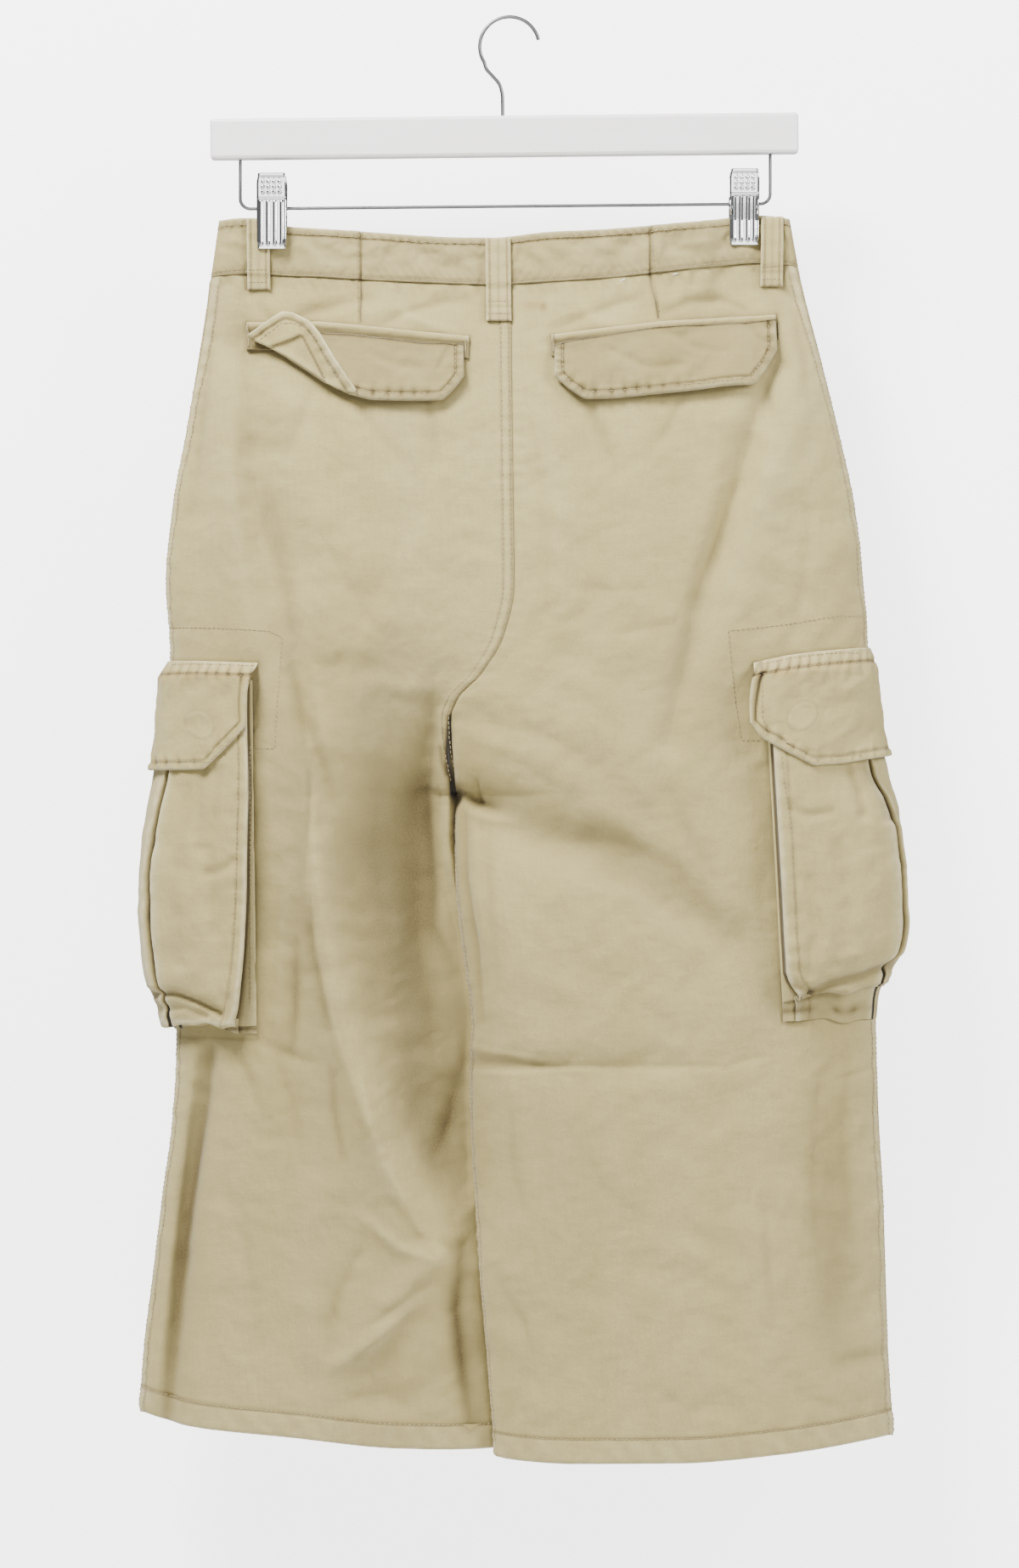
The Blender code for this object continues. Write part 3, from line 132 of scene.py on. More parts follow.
# Large folds of the cloth, as soft troughs (depth > 0) or ridges (depth < 0) along a three-point path.
Fold = namedtuple("Fold", "face depth width x0 z0 x1 z1 x2 z2")
FOLDS = table(
    Fold,
    (BACK, 8.0, 15, -161, -200, -146, -290, -119, -415),
    (BACK, -3.5, 13, -172, -215, -170, -300, -160, -374), (BACK, 25.0, 27, -58, -405, -62, -500, -34, -690),
    (BACK, -4.0, 18, -122, -425, -114, -530, -72, -708), (BACK, 8.0, 8, -182, -630, -193, -708, -205, -850),
    (BACK, -5.0, 12, -100, -812, -75, -785, -44, -748), (BACK, 6.0, 10, 158, -215, 139, -276, 96, -436),
    (BACK, -3.0, 12, 176, -240, 160, -290, 122, -400), (BACK, 8.0, 17, -16, -476, 45, -500, 128, -556),
    (BACK, 2.0, 9, -18, -628, 55, -634, 140, -627), (BACK, -3.0, 16, 150, -700, 155, -760, 160, -820),
    (BACK, -3.0, 14, 22, -245, 30, -300, 33, -365), (FRONT, 3.0, 15, -156, -235, -138, -310, -100, -400),
    (FRONT, 6.0, 14, 156, -205, 136, -280, 90, -410), (FRONT, 9.0, 24, -62, -440, -75, -540, -48, -690),
    (FRONT, 7.0, 18, 30, -455, 62, -540, 55, -680), (FRONT, -3.0, 15, -150, -650, -140, -740, -146, -830),
    (FRONT, -3.0, 15, 140, -640, 132, -730, 150, -830),
)
FOLD_EDGE_FADE = 0.06
FOLD_TOP_FADE = 35.0
FOLD_TIP = 0.12  # how much of its strength a fold keeps at its ends
FOLD_TAPER = 0.7
CROTCH_ROUND = 1.6  # how the centre seams sink towards the crotch

# Clips squeeze the two layers together and the squeeze fades down the panels.
CLIP_X = {LEFT: -143.7, RIGHT: 141.9}
PINCH_FLAT = 10.5
PINCH_HALF_WIDTH = 14.0
PINCH_SPREAD = 30.0
PINCH_FULL_Z = -150.0
PINCH_END_Z = -245.0

NORMAL_STEP = 0.004
SOLVE_ROUNDS = 12

# Back pockets: the welt's and the flap's upper and lower edges.
EdgeRow = namedtuple("EdgeRow", "x top bottom")
WELT_ROWS = {
    LEFT: table(
        EdgeRow,
        (-159.0, -184.2, -201.0), (-137.0, -184.0, -201.5), (-115.7, -184.2, -202.6),
        (-89.4, -187.1, -203.8), (-56.5, -190.7, -206.0), (-24.2, -193.8, -207.7),
    ),
    RIGHT: table(
        EdgeRow,
        (25.2, -192.8, -206.0), (58.0, -188.6, -203.5), (92.5, -184.5, -200.5), (127.0, -181.8, -197.5),
        (161.1, -179.7, -194.5),
    ),
}
FLAP_ROWS = {
    LEFT: table(
        EdgeRow,
        (-154.5, -189.0, -195.0), (-141.4, -189.6, -202.8), (-126.0, -190.5, -212.8),
        (-111.8, -191.5, -222.6), (-96.1, -192.6, -230.0), (-84.0, -193.8, -233.2), (-66.8, -196.2, -234.0),
        (-53.0, -197.8, -233.9), (-40.1, -198.2, -233.4), (-33.0, -198.3, -226.5), (-27.4, -198.4, -219.0),
    ),
    RIGHT: table(
        EdgeRow,
        (27.0, -199.4, -219.0), (35.0, -196.8, -226.6), (44.7, -195.0, -232.8), (62.0, -192.2, -232.2),
        (89.0, -187.8, -230.0), (118.0, -185.8, -227.2), (146.5, -184.0, -223.6), (154.5, -183.4, -213.0),
        (161.3, -182.6, -201.9),
    ),
}
TURNED_ROWS = table(
    EdgeRow,
    (-156.8, -193.6, -195.4), (-147.0, -186.4, -200.0), (-137.2, -179.9, -205.6), (-128.5, -180.7, -211.4),
    (-117.7, -185.0, -218.6), (-111.8, -192.8, -222.6), (-103.8, -208.7, -227.2), (-95.5, -222.5, -230.2),
    (-91.6, -228.0, -231.4),
)
ON_WELT = LAID_GAP + TRIM_WALL + 0.7  # height over the panel where a flap clears its welt
FLAP_CURL = 1.5
TURNED_RISE = 3.4

# Cargo pockets lie round the outseam. Their lifts are measured from the leg to the pocket's outside.
BagRow = namedtuple("BagRow", "z inner side back front")
BAG_ROWS = {
    LEFT: table(
        BagRow,
        (-401.0, -155.3, 5.0, 9.8, 7.6), (-418.0, -155.3, 6.5, 10.6, 8.4), (-440.0, -155.5, 9.0, 12.0, 9.2),
        (-465.0, -156.0, 13.0, 13.2, 10.0), (-495.0, -156.9, 19.5, 13.5, 10.5),
        (-528.0, -157.5, 22.5, 14.0, 11.0), (-560.0, -159.0, 22.0, 14.0, 11.0),
        (-583.0, -161.0, 18.5, 14.5, 10.5), (-597.0, -163.0, 13.0, 12.5, 9.5),
        (-606.0, -165.5, 9.5, 11.5, 8.5),
    ),
    RIGHT: table(
        BagRow,
        (-398.0, 153.5, 4.6, 9.8, 7.6), (-418.0, 154.5, 5.2, 10.6, 8.4), (-440.0, 156.2, 7.0, 12.0, 9.2),
        (-462.0, 158.2, 12.0, 13.2, 10.0), (-490.0, 162.5, 17.5, 13.5, 10.5),
        (-520.0, 163.6, 20.0, 14.0, 11.0), (-550.0, 165.0, 20.5, 14.0, 11.0),
        (-570.0, 167.0, 18.5, 14.5, 10.5), (-584.0, 170.5, 13.5, 13.0, 9.5),
        (-595.0, 177.0, 8.5, 11.5, 8.5),
    ),
}
BAG_BASE_Z = {LEFT: -616.0, RIGHT: -606.5}
BAG_BASE_X = {LEFT: -153.9, RIGHT: 152.6}
BAG_BASE_SLANT = {LEFT: -0.012, RIGHT: 0.055}  # how far the base edge moves out for each mm down
BAG_BOTTOM_TILT = {LEFT: 0.0, RIGHT: 9.0}  # the raised bottom is this much higher at the outseam
PLEAT_START = 28.0  # height below the mouth where the pleat starts to open
PLEAT_OPENS = 45.0
BAG_SIDE_START = 0.80  # across share where a bag's face turns towards the outseam
BAG_LEAST_STEP = 0.016

# Cargo flaps.
FlapRow = namedtuple("FlapRow", "inner top bottom")
CARGO_FLAP_ROWS = {
    LEFT: table(
        FlapRow,
        (-150.6, -390.6, -428.0), (-154.5, -390.5, -433.0), (-165.5, -390.0, -444.0),
        (-176.3, -389.6, -454.2), (-188.0, -389.2, -454.6),
    ),
    RIGHT: table(
        FlapRow,
        (146.0, -390.4, -427.0), (152.0, -389.0, -436.0), (166.0, -386.0, -444.5), (179.9, -384.0, -452.4),
        (196.0, -382.4, -451.0),
    ),
}
CARGO_FLAP_OUTSEAM = {LEFT: (-388.8, -454.6), RIGHT: (-380.6, -446.5)}
CARGO_FLAP_CLEAR = 1.0
SEWN_EDGE = 0.9  # a cargo flap's gap to the leg at its sewn edge
FLAP_REACH = 2.0  # a cargo flap is at its full height this far above the bag's mouth

# Belt loops: centre, width, and how far they reach above the seam and below it.
LoopRow = namedtuple("LoopRow", "name face x width above below")
LOOP_ROWS = table(
    LoopRow,
    ("belt_loop_back_left", BACK, -151.6, 13.8, 34.0, 9.0),
    ("belt_loop_back_center", BACK, -6.6, 15.2, 28.5, 22.0),
    ("belt_loop_back_right", BACK, 158.6, 13.4, 28.5, 13.5),
    ("belt_loop_front_left", FRONT, -82.0, 14.0, 28.5, 9.0),
    ("belt_loop_front_right", FRONT, 84.0, 14.0, 28.5, 9.0),
)
LOOP_ARCH = 0.9
LOOP_LEAN = 0.012  # how far a loop moves out for each mm up

# Waistband pieces, by the seams that end them.
DART_X = {LEFT: -89.6, RIGHT: 84.6}
FRONT_BAND_END = 20.0
BAND_MIDDLE_Z = -140.0
BACK_BANDS = ["waistband_back_left", "waistband_back_center", "waistband_back_right"]
FRONT_BANDS = ["waistband_front_left", "waistband_front_right"]

# Fly and button.
FLY_INNER_X = -1.8
FLY_WIDTH = 36.0
FLY_LENGTH = 150.0
FLY_FOOT = 0.35  # share of its length that its foot rounds away
FLY_BELOW_SEAM = 1.0
BUTTON_X = 10.0

# Hanger.
BAR_SIZE = (355.6, 12.0, 24.5)
BAR_CENTRE = (-3.1, 0.0, -71.4)
BAR_TILT = math.radians(-0.62)
HOOK_WIRE = 2.2
HOOK_RADIUS = 18.0
HOOK_SHANK_X = -4.1
HOOK_NECK = [(-4.2, -50.0), (-4.5, -45.0), (-6.2, -39.6), (-10.2, -34.8), (-13.9, -30.6)]
HOOK_START_DEG = 212.0
HOOK_END_DEG = 14.0
ROD_WIRE = 2.0
ROD_BEND = 6.0
ROD_ENDS_X = (-162.9, 157.8)
ROD_END_Z = (-115.1, -112.1)

# Clips. A jaw's inner face, from its finger end down: height over the rod, least distance from the
# rod's plane, distance beyond its seat, and whether the ribs run there.
CLIP_WIDTH = 18.0
CLIP_PLATE = 1.0
JawRow = namedtuple("JawRow", "up least beyond ribbed")
JAW_ROWS = table(
    JawRow,
    (20.5, 9.5, 0.0, False), (11.3, 8.3, 0.0, False), (5.0, 7.2, 0.0, True), (0.0, 6.2, 0.6, True),
    (-10.0, 0.0, 0.7, True), (-21.0, 0.0, 0.4, True), (-23.0, 0.0, 0.0, True), (-25.0, 0.0, 0.0, False),
)
JAW_CLEAR = 0.3
EAR_INSET = {BACK: 0.6, FRONT: 2.2}  # the far jaw's ears lie inside the near jaw's


def smooth(value):
    """Eased step from 0 at 0 to 1 at 1."""
    value = np.clip(value, 0.0, 1.0)
    return value * value * (3.0 - 2.0 * value)


def through(rows, key, name):
    """A smooth curve through one column of a table, read against its key column."""
    at = np.array([getattr(row, key) for row in rows], float)
    to = np.array([getattr(row, name) for row in rows], float)
    order = np.argsort(at)
    at, to = at[order], to[order]
    step = np.diff(at)
    rate = np.diff(to) / step
    slope = np.concatenate([[rate[0]], np.zeros(len(at) - 2), [rate[-1]]])
    turning = rate[:-1] * rate[1:]
    both = np.where(turning > 0, rate[:-1] + rate[1:], 1.0)
    slope[1:-1] = np.where(turning > 0, 2.0 * turning / both, 0.0)

    def read(x):
        x = np.clip(x, at[0], at[-1])
        i = np.clip(np.searchsorted(at, x) - 1, 0, len(at) - 2)
        t = (x - at[i]) / step[i]
        rise = to[i] + (to[i + 1] - to[i]) * t * t * (3.0 - 2.0 * t)
        bend = slope[i] * (t - 1.0) ** 2 * t + slope[i + 1] * (t - 1.0) * t * t
        return rise + bend * step[i]

    return read


OUTSEAM_X = {LEFT: through(SIDE_ROWS, "z", "left"), RIGHT: through(SIDE_ROWS, "z", "right")}
WAIST_TOP = through(WAIST_ROWS, "x", "top")
WAIST_SEAM = through(WAIST_ROWS, "x", "seam")
HEM = {side: through(HEM_ROWS[side], "x", "z") for side in (LEFT, RIGHT)}
INNER_X = {BACK: through(INNER_ROWS, "z", "back"), FRONT: through(INNER_ROWS, "z", "front")}
DEPTH = {BACK: through(DEPTH_ROWS, "z", "back"), FRONT: through(DEPTH_ROWS, "z", "front")}
EDGE_POWER = through(DEPTH_ROWS, "z", "edge_power")
SEAM_TOP_Z = float(WAIST_SEAM(INNER_ROWS[1].back))
HEM_INNER_Z = {LEFT: -863.8, RIGHT: -868.0}
CROTCH_DOWN = (SEAM_TOP_Z - CROTCH_Z) / (SEAM_TOP_Z - HEM_INNER_Z[RIGHT])


def pinch(x, z):
    """Share of the layers' depth that the clips take away at a place."""
    fade = smooth((z - PINCH_END_Z) / (PINCH_FULL_Z - PINCH_END_Z))
    width = PINCH_HALF_WIDTH + PINCH_SPREAD * (1.0 - fade)
    near = np.minimum(np.abs(x - CLIP_X[LEFT]), np.abs(x - CLIP_X[RIGHT]))
    beside = np.maximum(near - PINCH_FLAT, 0.0)
    return fade * np.exp(-((beside / width) ** 2))


def fold_depth(face, x, z):
    """How far the large folds move the cloth towards the hanger's plane."""
    total = np.zeros(np.broadcast(x, z).shape)
    for fold in FOLDS:
        if fold.face != face:
            continue
        nearest = np.full(total.shape, np.inf)
        along = np.zeros(total.shape)
        ends = [(fold.x0, fold.z0), (fold.x1, fold.z1), (fold.x2, fold.z2)]
        for i, ((ax, az), (bx, bz)) in enumerate(zip(ends, ends[1:])):
            length2 = (bx - ax) ** 2 + (bz - az) ** 2
            t = np.clip(((x - ax) * (bx - ax) + (z - az) * (bz - az)) / length2, 0, 1)
            away = np.hypot(x - ax - t * (bx - ax), z - az - t * (bz - az))
            along = np.where(away < nearest, (i + t) / 2.0, along)
            nearest = np.minimum(away, nearest)
        taper = np.sin(np.pi * (FOLD_TIP + (1.0 - 2.0 * FOLD_TIP) * along)) ** FOLD_TAPER
        total = total + fold.depth * taper * np.exp(-((nearest / fold.width) ** 2))
    return total


def inner_edge(side, face, z):
    """X of a panel's inner edge: the centre seam down to the crotch, then the inseam."""
    parting = smooth((CROTCH_Z - z) / LEG_RAMP)
    x = INNER_X[face](z) + side * SEAM_GAP / 2
    return x + (LEG_OVERLAP * parting**2 if side == LEFT else 0.0)


def panel_point(side, face, across, down):
    """A place on the outer surface of a panel."""
    across, down = np.broadcast_arrays(np.asarray(across, float), np.asarray(down, float))
    in_rise = down <= CROTCH_DOWN
    rise_z = SEAM_TOP_Z + (CROTCH_Z - SEAM_TOP_Z) * down / CROTCH_DOWN
    leg_share = (down - CROTCH_DOWN) / (1.0 - CROTCH_DOWN)
    leg_z = CROTCH_Z + (HEM_INNER_Z[side] - CROTCH_Z) * leg_share
    inner_z = np.where(in_rise, rise_z, leg_z)
    inner_x = inner_edge(side, face, inner_z)
    z = inner_z
    for _ in range(4):
        x = inner_x + (OUTSEAM_X[side](z) - inner_x) * across
        waist = (WAIST_SEAM(x) - WAIST_SEAM(inner_x)) * (1.0 - down)
        hem = (HEM[side](x) - HEM[side](inner_x)) * down
        z = inner_z + waist + hem
    sunk = np.clip((DROP_START_Z - inner_z) / (DROP_START_Z - CROTCH_Z), 0.0, 1.0)
    ease = np.sqrt(np.clip(1.0 - sunk**CROTCH_ROUND, 0.0, 1.0))
    inner_fall = np.sqrt(1.0 - (1.0 - across) ** INNER_POWER[side])
    inner_fall = ease + (1.0 - ease) * inner_fall
    outer_fall = np.sqrt(1.0 - across ** EDGE_POWER(z))
    depth = PANEL_WALL + DEPTH[face](z) * (1.0 - pinch(x, z))
    fade = smooth((1.0 - across) / FOLD_EDGE_FADE) * smooth((WAIST_SEAM(x) - z) / FOLD_TOP_FADE)
    fade = fade * (ease + (1.0 - ease) * smooth(across / FOLD_EDGE_FADE))
    depth = depth * inner_fall * outer_fall - fold_depth(face, x, z) * fade
    parting = smooth((CROTCH_Z - inner_z) / LEG_RAMP)
    shift = LEG_SHIFT[side] * parting * (1.0 - across) ** 2
    y = shift + face * (SEAM_GAP / 2 + depth)
    drop = FRONT_HEM_DROP * down**DROP_DOWN_POWER if face == FRONT else 0.0
    return np.stack([x, y, z - drop * (1.0 - (1.0 - across) ** DROP_INNER_POWER)], axis=-1)


def shares_at(side, face, x, z):
    """The across and down shares of the panel's places at X and Z."""
    x, z = np.broadcast_arrays(np.asarray(x, float), np.asarray(z, float))
    across, down = np.full(x.shape, 0.5), np.full(x.shape, 0.5)
    width = OUTSEAM_X[side](z) - INNER_X[face](z)
    height = SEAM_TOP_Z - HEM_INNER_Z[side]
    for _ in range(SOLVE_ROUNDS):
        place = panel_point(side, face, across, down)
        across = np.clip(across + (x - place[..., 0]) / width, 0.0, 1.0)
        down = np.clip(down + (place[..., 2] - z) / height, 0.0, 1.0)
    return across, down


def down_at(side, face, across, z):
    """The down shares of the places at given across shares and heights."""
    down = np.full(np.broadcast(across, z).shape, 0.5)
    for _ in range(SOLVE_ROUNDS):
        place = panel_point(side, face, across, down)
        down = np.clip(down + (place[..., 2] - z) / (SEAM_TOP_Z - HEM_INNER_Z[side]), 0.0, 1.0)
    return down


def band_point(face, x, z):
    """A place on the outer surface of the waistband."""
    x, z = np.broadcast_arrays(np.asarray(x, float), np.asarray(z, float))
    edge = np.where(x < 0, OUTSEAM_X[LEFT](z), OUTSEAM_X[RIGHT](z))
    across = np.clip(x / edge, 0.0, 1.0)
    depth = BAND_WALL + SEAM_GAP / 2 + DEPTH[face](z) * (1.0 - pinch(x, z))
    fall = np.sqrt(np.clip(1.0 - across ** EDGE_POWER(z), 0.0, 1.0))
    return np.stack([x, face * (SEAM_GAP / 2 + depth * fall), z], axis=-1)


def band_edge_x(side, share):
    """X of the outseam where the waistband's height share is share, from its top."""
    x = OUTSEAM_X[side](BAND_MIDDLE_Z)
    for _ in range(6):
        z = WAIST_TOP(x) + (WAIST_SEAM(x) + SEAM_GAP - WAIST_TOP(x)) * share
        x = OUTSEAM_X[side](z)
    return float(x)


# ---------------------------------------------------------------- fine form of the cloth

# Creases finer than the large folds: depth inwards (a ridge where negative), how wide each one is to the
# left and to the right of its path, and its path in X and Z.
Crease = namedtuple("Crease", "face depth left right path")
CREASES = table(
    Crease,
    # left half of the seat and the left leg
    (BACK, 2.2, 9, 4, ((-157, -205), (-154, -277), (-131, -349), (-118, -415), (-112, -452))),
    (BACK, -1.4, 6, 6, ((-167, -215), (-166, -297), (-155, -360), (-140, -410))),
    (BACK, 1.2, 5, 10, ((-41, -262), (-62, -312), (-92, -372), (-118, -436))),
    (BACK, 0.9, 4, 4, ((-112, -316), (-96, -345), (-78, -372))),
    (BACK, 1.0, 5, 6, ((-92, -236), (-74, -258), (-52, -282))),
    (BACK, 1.6, 5, 5, ((-176, -165), (-184, -225), (-192, -300))),
    (BACK, 4.0, 8, 14, ((-46, -415), (-54, -450), (-57, -505), (-53, -575), (-46, -612))),
    (BACK, 3.4, 2.4, 3.0, ((-35.5, -422), (-37.2, -446), (-34.6, -462), (-32.0, -474))),
    (BACK, 1.5, 1.2, 1.4, ((-19.4, -461), (-18.6, -475))),
    (BACK, 2.6, 5, 7, ((-46, -418), (-49, -466), (-45, -528), (-46, -549), (-33, -575))),
    (BACK, -2.0, 7, 7, ((-121, -436), (-118, -508), (-104, -580), (-92, -631), (-72, -708))),
    (BACK, -2.4, 5, 6, ((-90, -640), (-78, -690), (-60, -726), (-41, -744))),
    (BACK, 2.4, 3, 5, ((-128.5, -560), (-128, -595), (-130, -624))),
    (BACK, -1.6, 4, 4, ((-134, -500), (-136, -560), (-138, -612))),
    (BACK, 1.8, 3, 5, ((-106, -636), (-104.5, -660), (-100, -690))),
    (BACK, 1.3, 4, 4, ((-150, -618), (-134, -624), (-118, -630))),
    (BACK, 1.2, 3, 4, ((-166, -622), (-158, -634), (-150, -655))),
    (BACK, 1.0, 4, 4, ((-140, -628), (-132, -650), (-124, -690))),
    (BACK, 3.6, 4, 6, ((-180, -622), (-185, -665), (-193, -712), (-200, -775), (-206, -845))),
    (BACK, -1.8, 4, 4, ((-190, -625), (-196, -690), (-205, -760), (-214, -835))),
    (BACK, 1.0, 5, 5, ((-172, -700), (-158, -740), (-150, -800))),
    (BACK, -1.2, 6, 6, ((-120, -700), (-124, -750), (-116, -815))),
    (BACK, -2.4, 4, 5, ((-89, -722), (-66, -742), (-44, -750))),
    (BACK, 2.0, 5, 5, ((-72, -712), (-55, -735), (-36, -742))),
    (BACK, -2.2, 4, 5, ((-60, -779), (-80, -796), (-104, -812))),
    (BACK, 1.8, 5, 5, ((-48, -762), (-66, -776), (-92, -792))),
    (BACK, 3.8, 6, 7, ((-27, -742), (-31, -780), (-26, -820), (-22, -850))),
    (BACK, 1.8, 7, 8, ((-96, -832), (-76, -830), (-58, -838))),
    (BACK, 1.6, 5, 5, ((-110, -812), (-104, -770), (-88, -740))),
    (BACK, 2.2, 5, 6, ((-44, -690), (-36, -668), (-30, -640))),
    (BACK, 4.2, 17, 24, ((-108, -455), (-98, -505), (-84, -575), (-64, -665))),
    (BACK, -5.0, 16, 18, ((-52, -392), (-60, -412), (-66, -440))),
    (BACK, 2.4, 5, 8.5, ((-142, -300), (-132, -360), (-121, -430), (-112, -484))),
    (BACK, -1.6, 3.5, 5, ((-126, -340), (-119, -392), (-112, -438))),
    (BACK, 1.8, 3, 7, ((-133, -385), (-119, -428), (-104, -470))),
    (BACK, -1.6, 3, 3, ((-121, -440), (-124, -500), (-121, -545))),
    (BACK, 2.2, 2.5, 5, ((-118, -446), (-121, -505), (-117, -560), (-108, -610))),
    (BACK, 3.2, 14, 12, ((-60, -630), (-47, -688), (-30, -728))),
    # crotch, and the right leg
    (BACK, 3.0, 3, 3.5, ((-31, -468), (-20, -474), (-8, -478))),
    (BACK, -1.6, 3, 3, ((-30, -476), (-16, -484), (2, -486))),
    (BACK, 2.4, 2.5, 4, ((-27, -478), (-26, -520), (-20, -560), (-16, -606))),
    (BACK, -1.5, 3, 4, ((-22, -482), (-18, -530), (-12, -570))),
    (BACK, 1.2, 3, 4, ((-12, -492), (-12, -540), (-6, -590))),
    (BACK, 2.0, 7, 10, ((-28, -424), (21, -434), (58, -456), (86, -486))),
    (BACK, 1.0, 5, 7, ((-26, -440), (10, -452), (40, -476))),
    (BACK, 0.8, 3, 4, ((60, -374), (76, -371), (99, -366))),
    (BACK, 0.7, 3, 4, ((38, -346), (62, -347), (82, -346))),
    (BACK, -1.0, 5, 6, ((22, -246), (30, -300), (31, -360))),
    (BACK, 0.9, 4, 5, ((14, -250), (20, -310), (22, -370))),
    (BACK, 2.6, 8, 3.5, ((158, -212), (139, -277), (113, -349), (95, -440))),
    (BACK, -1.3, 5, 5, ((167, -220), (150, -290), (126, -356), (108, -430))),
    (BACK, 1.6, 4, 4, ((169, -166), (176, -200), (183, -240))),
    (BACK, 1.2, 4, 5, ((180, -300), (176, -350), (160, -400))),
    (BACK, 2.2, 8, 10, ((-18, -474), (14, -497), (60, -499), (98, -514), (130, -560))),
    (BACK, 1.4, 5, 7, ((98, -470), (108, -496), (124, -520))),
    (BACK, -1.3, 8, 8, ((40, -524), (80, -532), (108, -560))),
    (BACK, 1.0, 8, 8, ((116, -560), (118, -600), (104, -640))),
    (BACK, 2.6, 5.5, 5.0, ((-24, -630), (4, -631), (31, -632.4))),
    (BACK, 1.0, 2.2, 1.6, ((14, -631.8), (60, -632.6), (122, -632.4))),
    (BACK, -0.9, 1.9, 1.9, ((-23, -622), (2, -626), (30, -630.6))),
    (BACK, -0.9, 1.8, 2.6, ((-23, -637.4), (20, -635), (52, -633.8))),
    (BACK, 0.7, 1.8, 2.2, ((126, -634), (140, -629), (154, -626))),
    (BACK, 0.6, 1.6, 1.8, ((196, -641), (206, -638), (218, -635))),
    (BACK, 1.5, 10, 11, ((20, -652), (21, -685), (26, -722))),
    (BACK, 1.3, 9, 9, ((68, -640), (66, -655), (58, -676))),
    (BACK, 0.9, 6, 6, ((38, -676), (62, -712), (84, -730))),
    (BACK, 1.5, 3, 4, ((153, -712), (154, -745), (157, -790))),
    (BACK, 4.2, 20, 16, ((192, -634), (194, -716), (196, -806))),
    (BACK, 1.0, 4, 4, ((186, -640), (183, -700), (186, -760))),
    (BACK, 1.0, 4, 4, ((204, -622), (202, -680), (206, -740))),
    (BACK, 1.5, 5, 6, ((196, -812), (212, -808), (230, -806))),
    (BACK, 1.1, 5, 5, ((168, -822), (180, -832), (200, -838))),
    (BACK, 1.3, 4, 5, ((-6, -764), (8, -786), (14, -806))),
    (BACK, 1.0, 5, 5, ((10, -816), (2, -836), (-4, -850))),
    (BACK, 1.2, 5, 6, ((8, -720), (2, -690), (0, -660))),
    (BACK, 0.9, 6, 6, ((86, -826), (104, -838), (122, -836))),
    # under the waistband and the back pockets
    (BACK, 2.2, 4, 4.5, ((-140, -186), (-122, -178), (-98, -172), (-84, -170))),
    (BACK, 1.4, 3, 4, ((-150, -176), (-138, -190), (-132, -200))),
    (BACK, 1.8, 3, 4, ((-78, -186), (-60, -178), (-40, -172), (-26, -172))),
    (BACK, -1.2, 3, 4, ((-70, -176), (-52, -186), (-34, -192))),
    (BACK, 1.8, 3, 4, ((26, -188), (44, -182), (62, -174), (78, -170))),
    (BACK, -1.2, 3, 4, ((40, -172), (52, -184), (66, -190))),
    (BACK, 1.9, 3, 4, ((92, -180), (108, -172), (128, -170), (142, -176))),
    (BACK, 1.2, 3, 4, ((120, -186), (134, -180), (150, -184))),
    (BACK, 1.6, 4, 5, ((44, -234), (54, -252), (64, -274))),
    (BACK, 1.3, 4, 5, ((104, -230), (96, -248), (82, -268))),
    (BACK, 1.4, 4, 5, ((-118, -226), (-126, -244), (-136, -268))),
    (BACK, 1.2, 4, 5, ((-52, -226), (-46, -246), (-44, -272))),
    (BACK, 1.4, 4, 5, ((150, -214), (158, -232), (162, -262))),
    # front
    (FRONT, 1.6, 5, 9, ((-154, -206), (-138, -290), (-98, -398))),
    (FRONT, 1.5, 8, 4, ((150, -206), (130, -286), (88, -404))),
    (FRONT, 2.2, 5, 6, ((-28, -404), (-48, -440), (-78, -500))),
    (FRONT, 2.0, 6, 5, ((-14, -400), (16, -436), (52, -500))),
    (FRONT, 1.2, 4, 5, ((-20, -428), (-60, -452), (-104, -462))),
    (FRONT, 1.3, 5, 4, ((-12, -424), (40, -444), (92, -452))),
    (FRONT, 1.6, 5, 5, ((-82, -540), (-76, -610), (-58, -684))),
    (FRONT, 1.5, 4, 6, ((76, -560), (70, -630), (58, -700))),
    (FRONT, 1.3, 4, 4, ((-148, -640), (-142, -720), (-150, -820))),
    (FRONT, 1.2, 4, 4, ((148, -630), (138, -720), (150, -830))),
    (FRONT, 1.4, 5, 3, ((30, -628), (80, -634), (150, -628))),
    (FRONT, 1.1, 4, 4, ((-36, -736), (-66, -756), (-98, -762))),
    (FRONT, 1.0, 5, 5, ((24, -760), (56, -784), (96, -790))),
)
CREASE_TIP = 0.16
CREASE_SHARPNESS = 1.6

# Small unevenness of washed cloth: wave length, direction, phase and height of each layer of waves.
Wave = namedtuple("Wave", "length turn phase height")
WAVES = table(
    Wave,
    (97.0, 0.35, 0.4, 0.60), (71.0, 1.85, 2.1, 0.50), (47.0, 1.15, 4.4, 0.34), (38.0, 2.55, 1.3, 0.32),
    (27.0, 0.75, 3.0, 0.24), (19.0, 2.05, 5.2, 0.16), (13.0, 1.45, 0.9, 0.10), (8.5, 2.75, 2.6, 0.05),
)


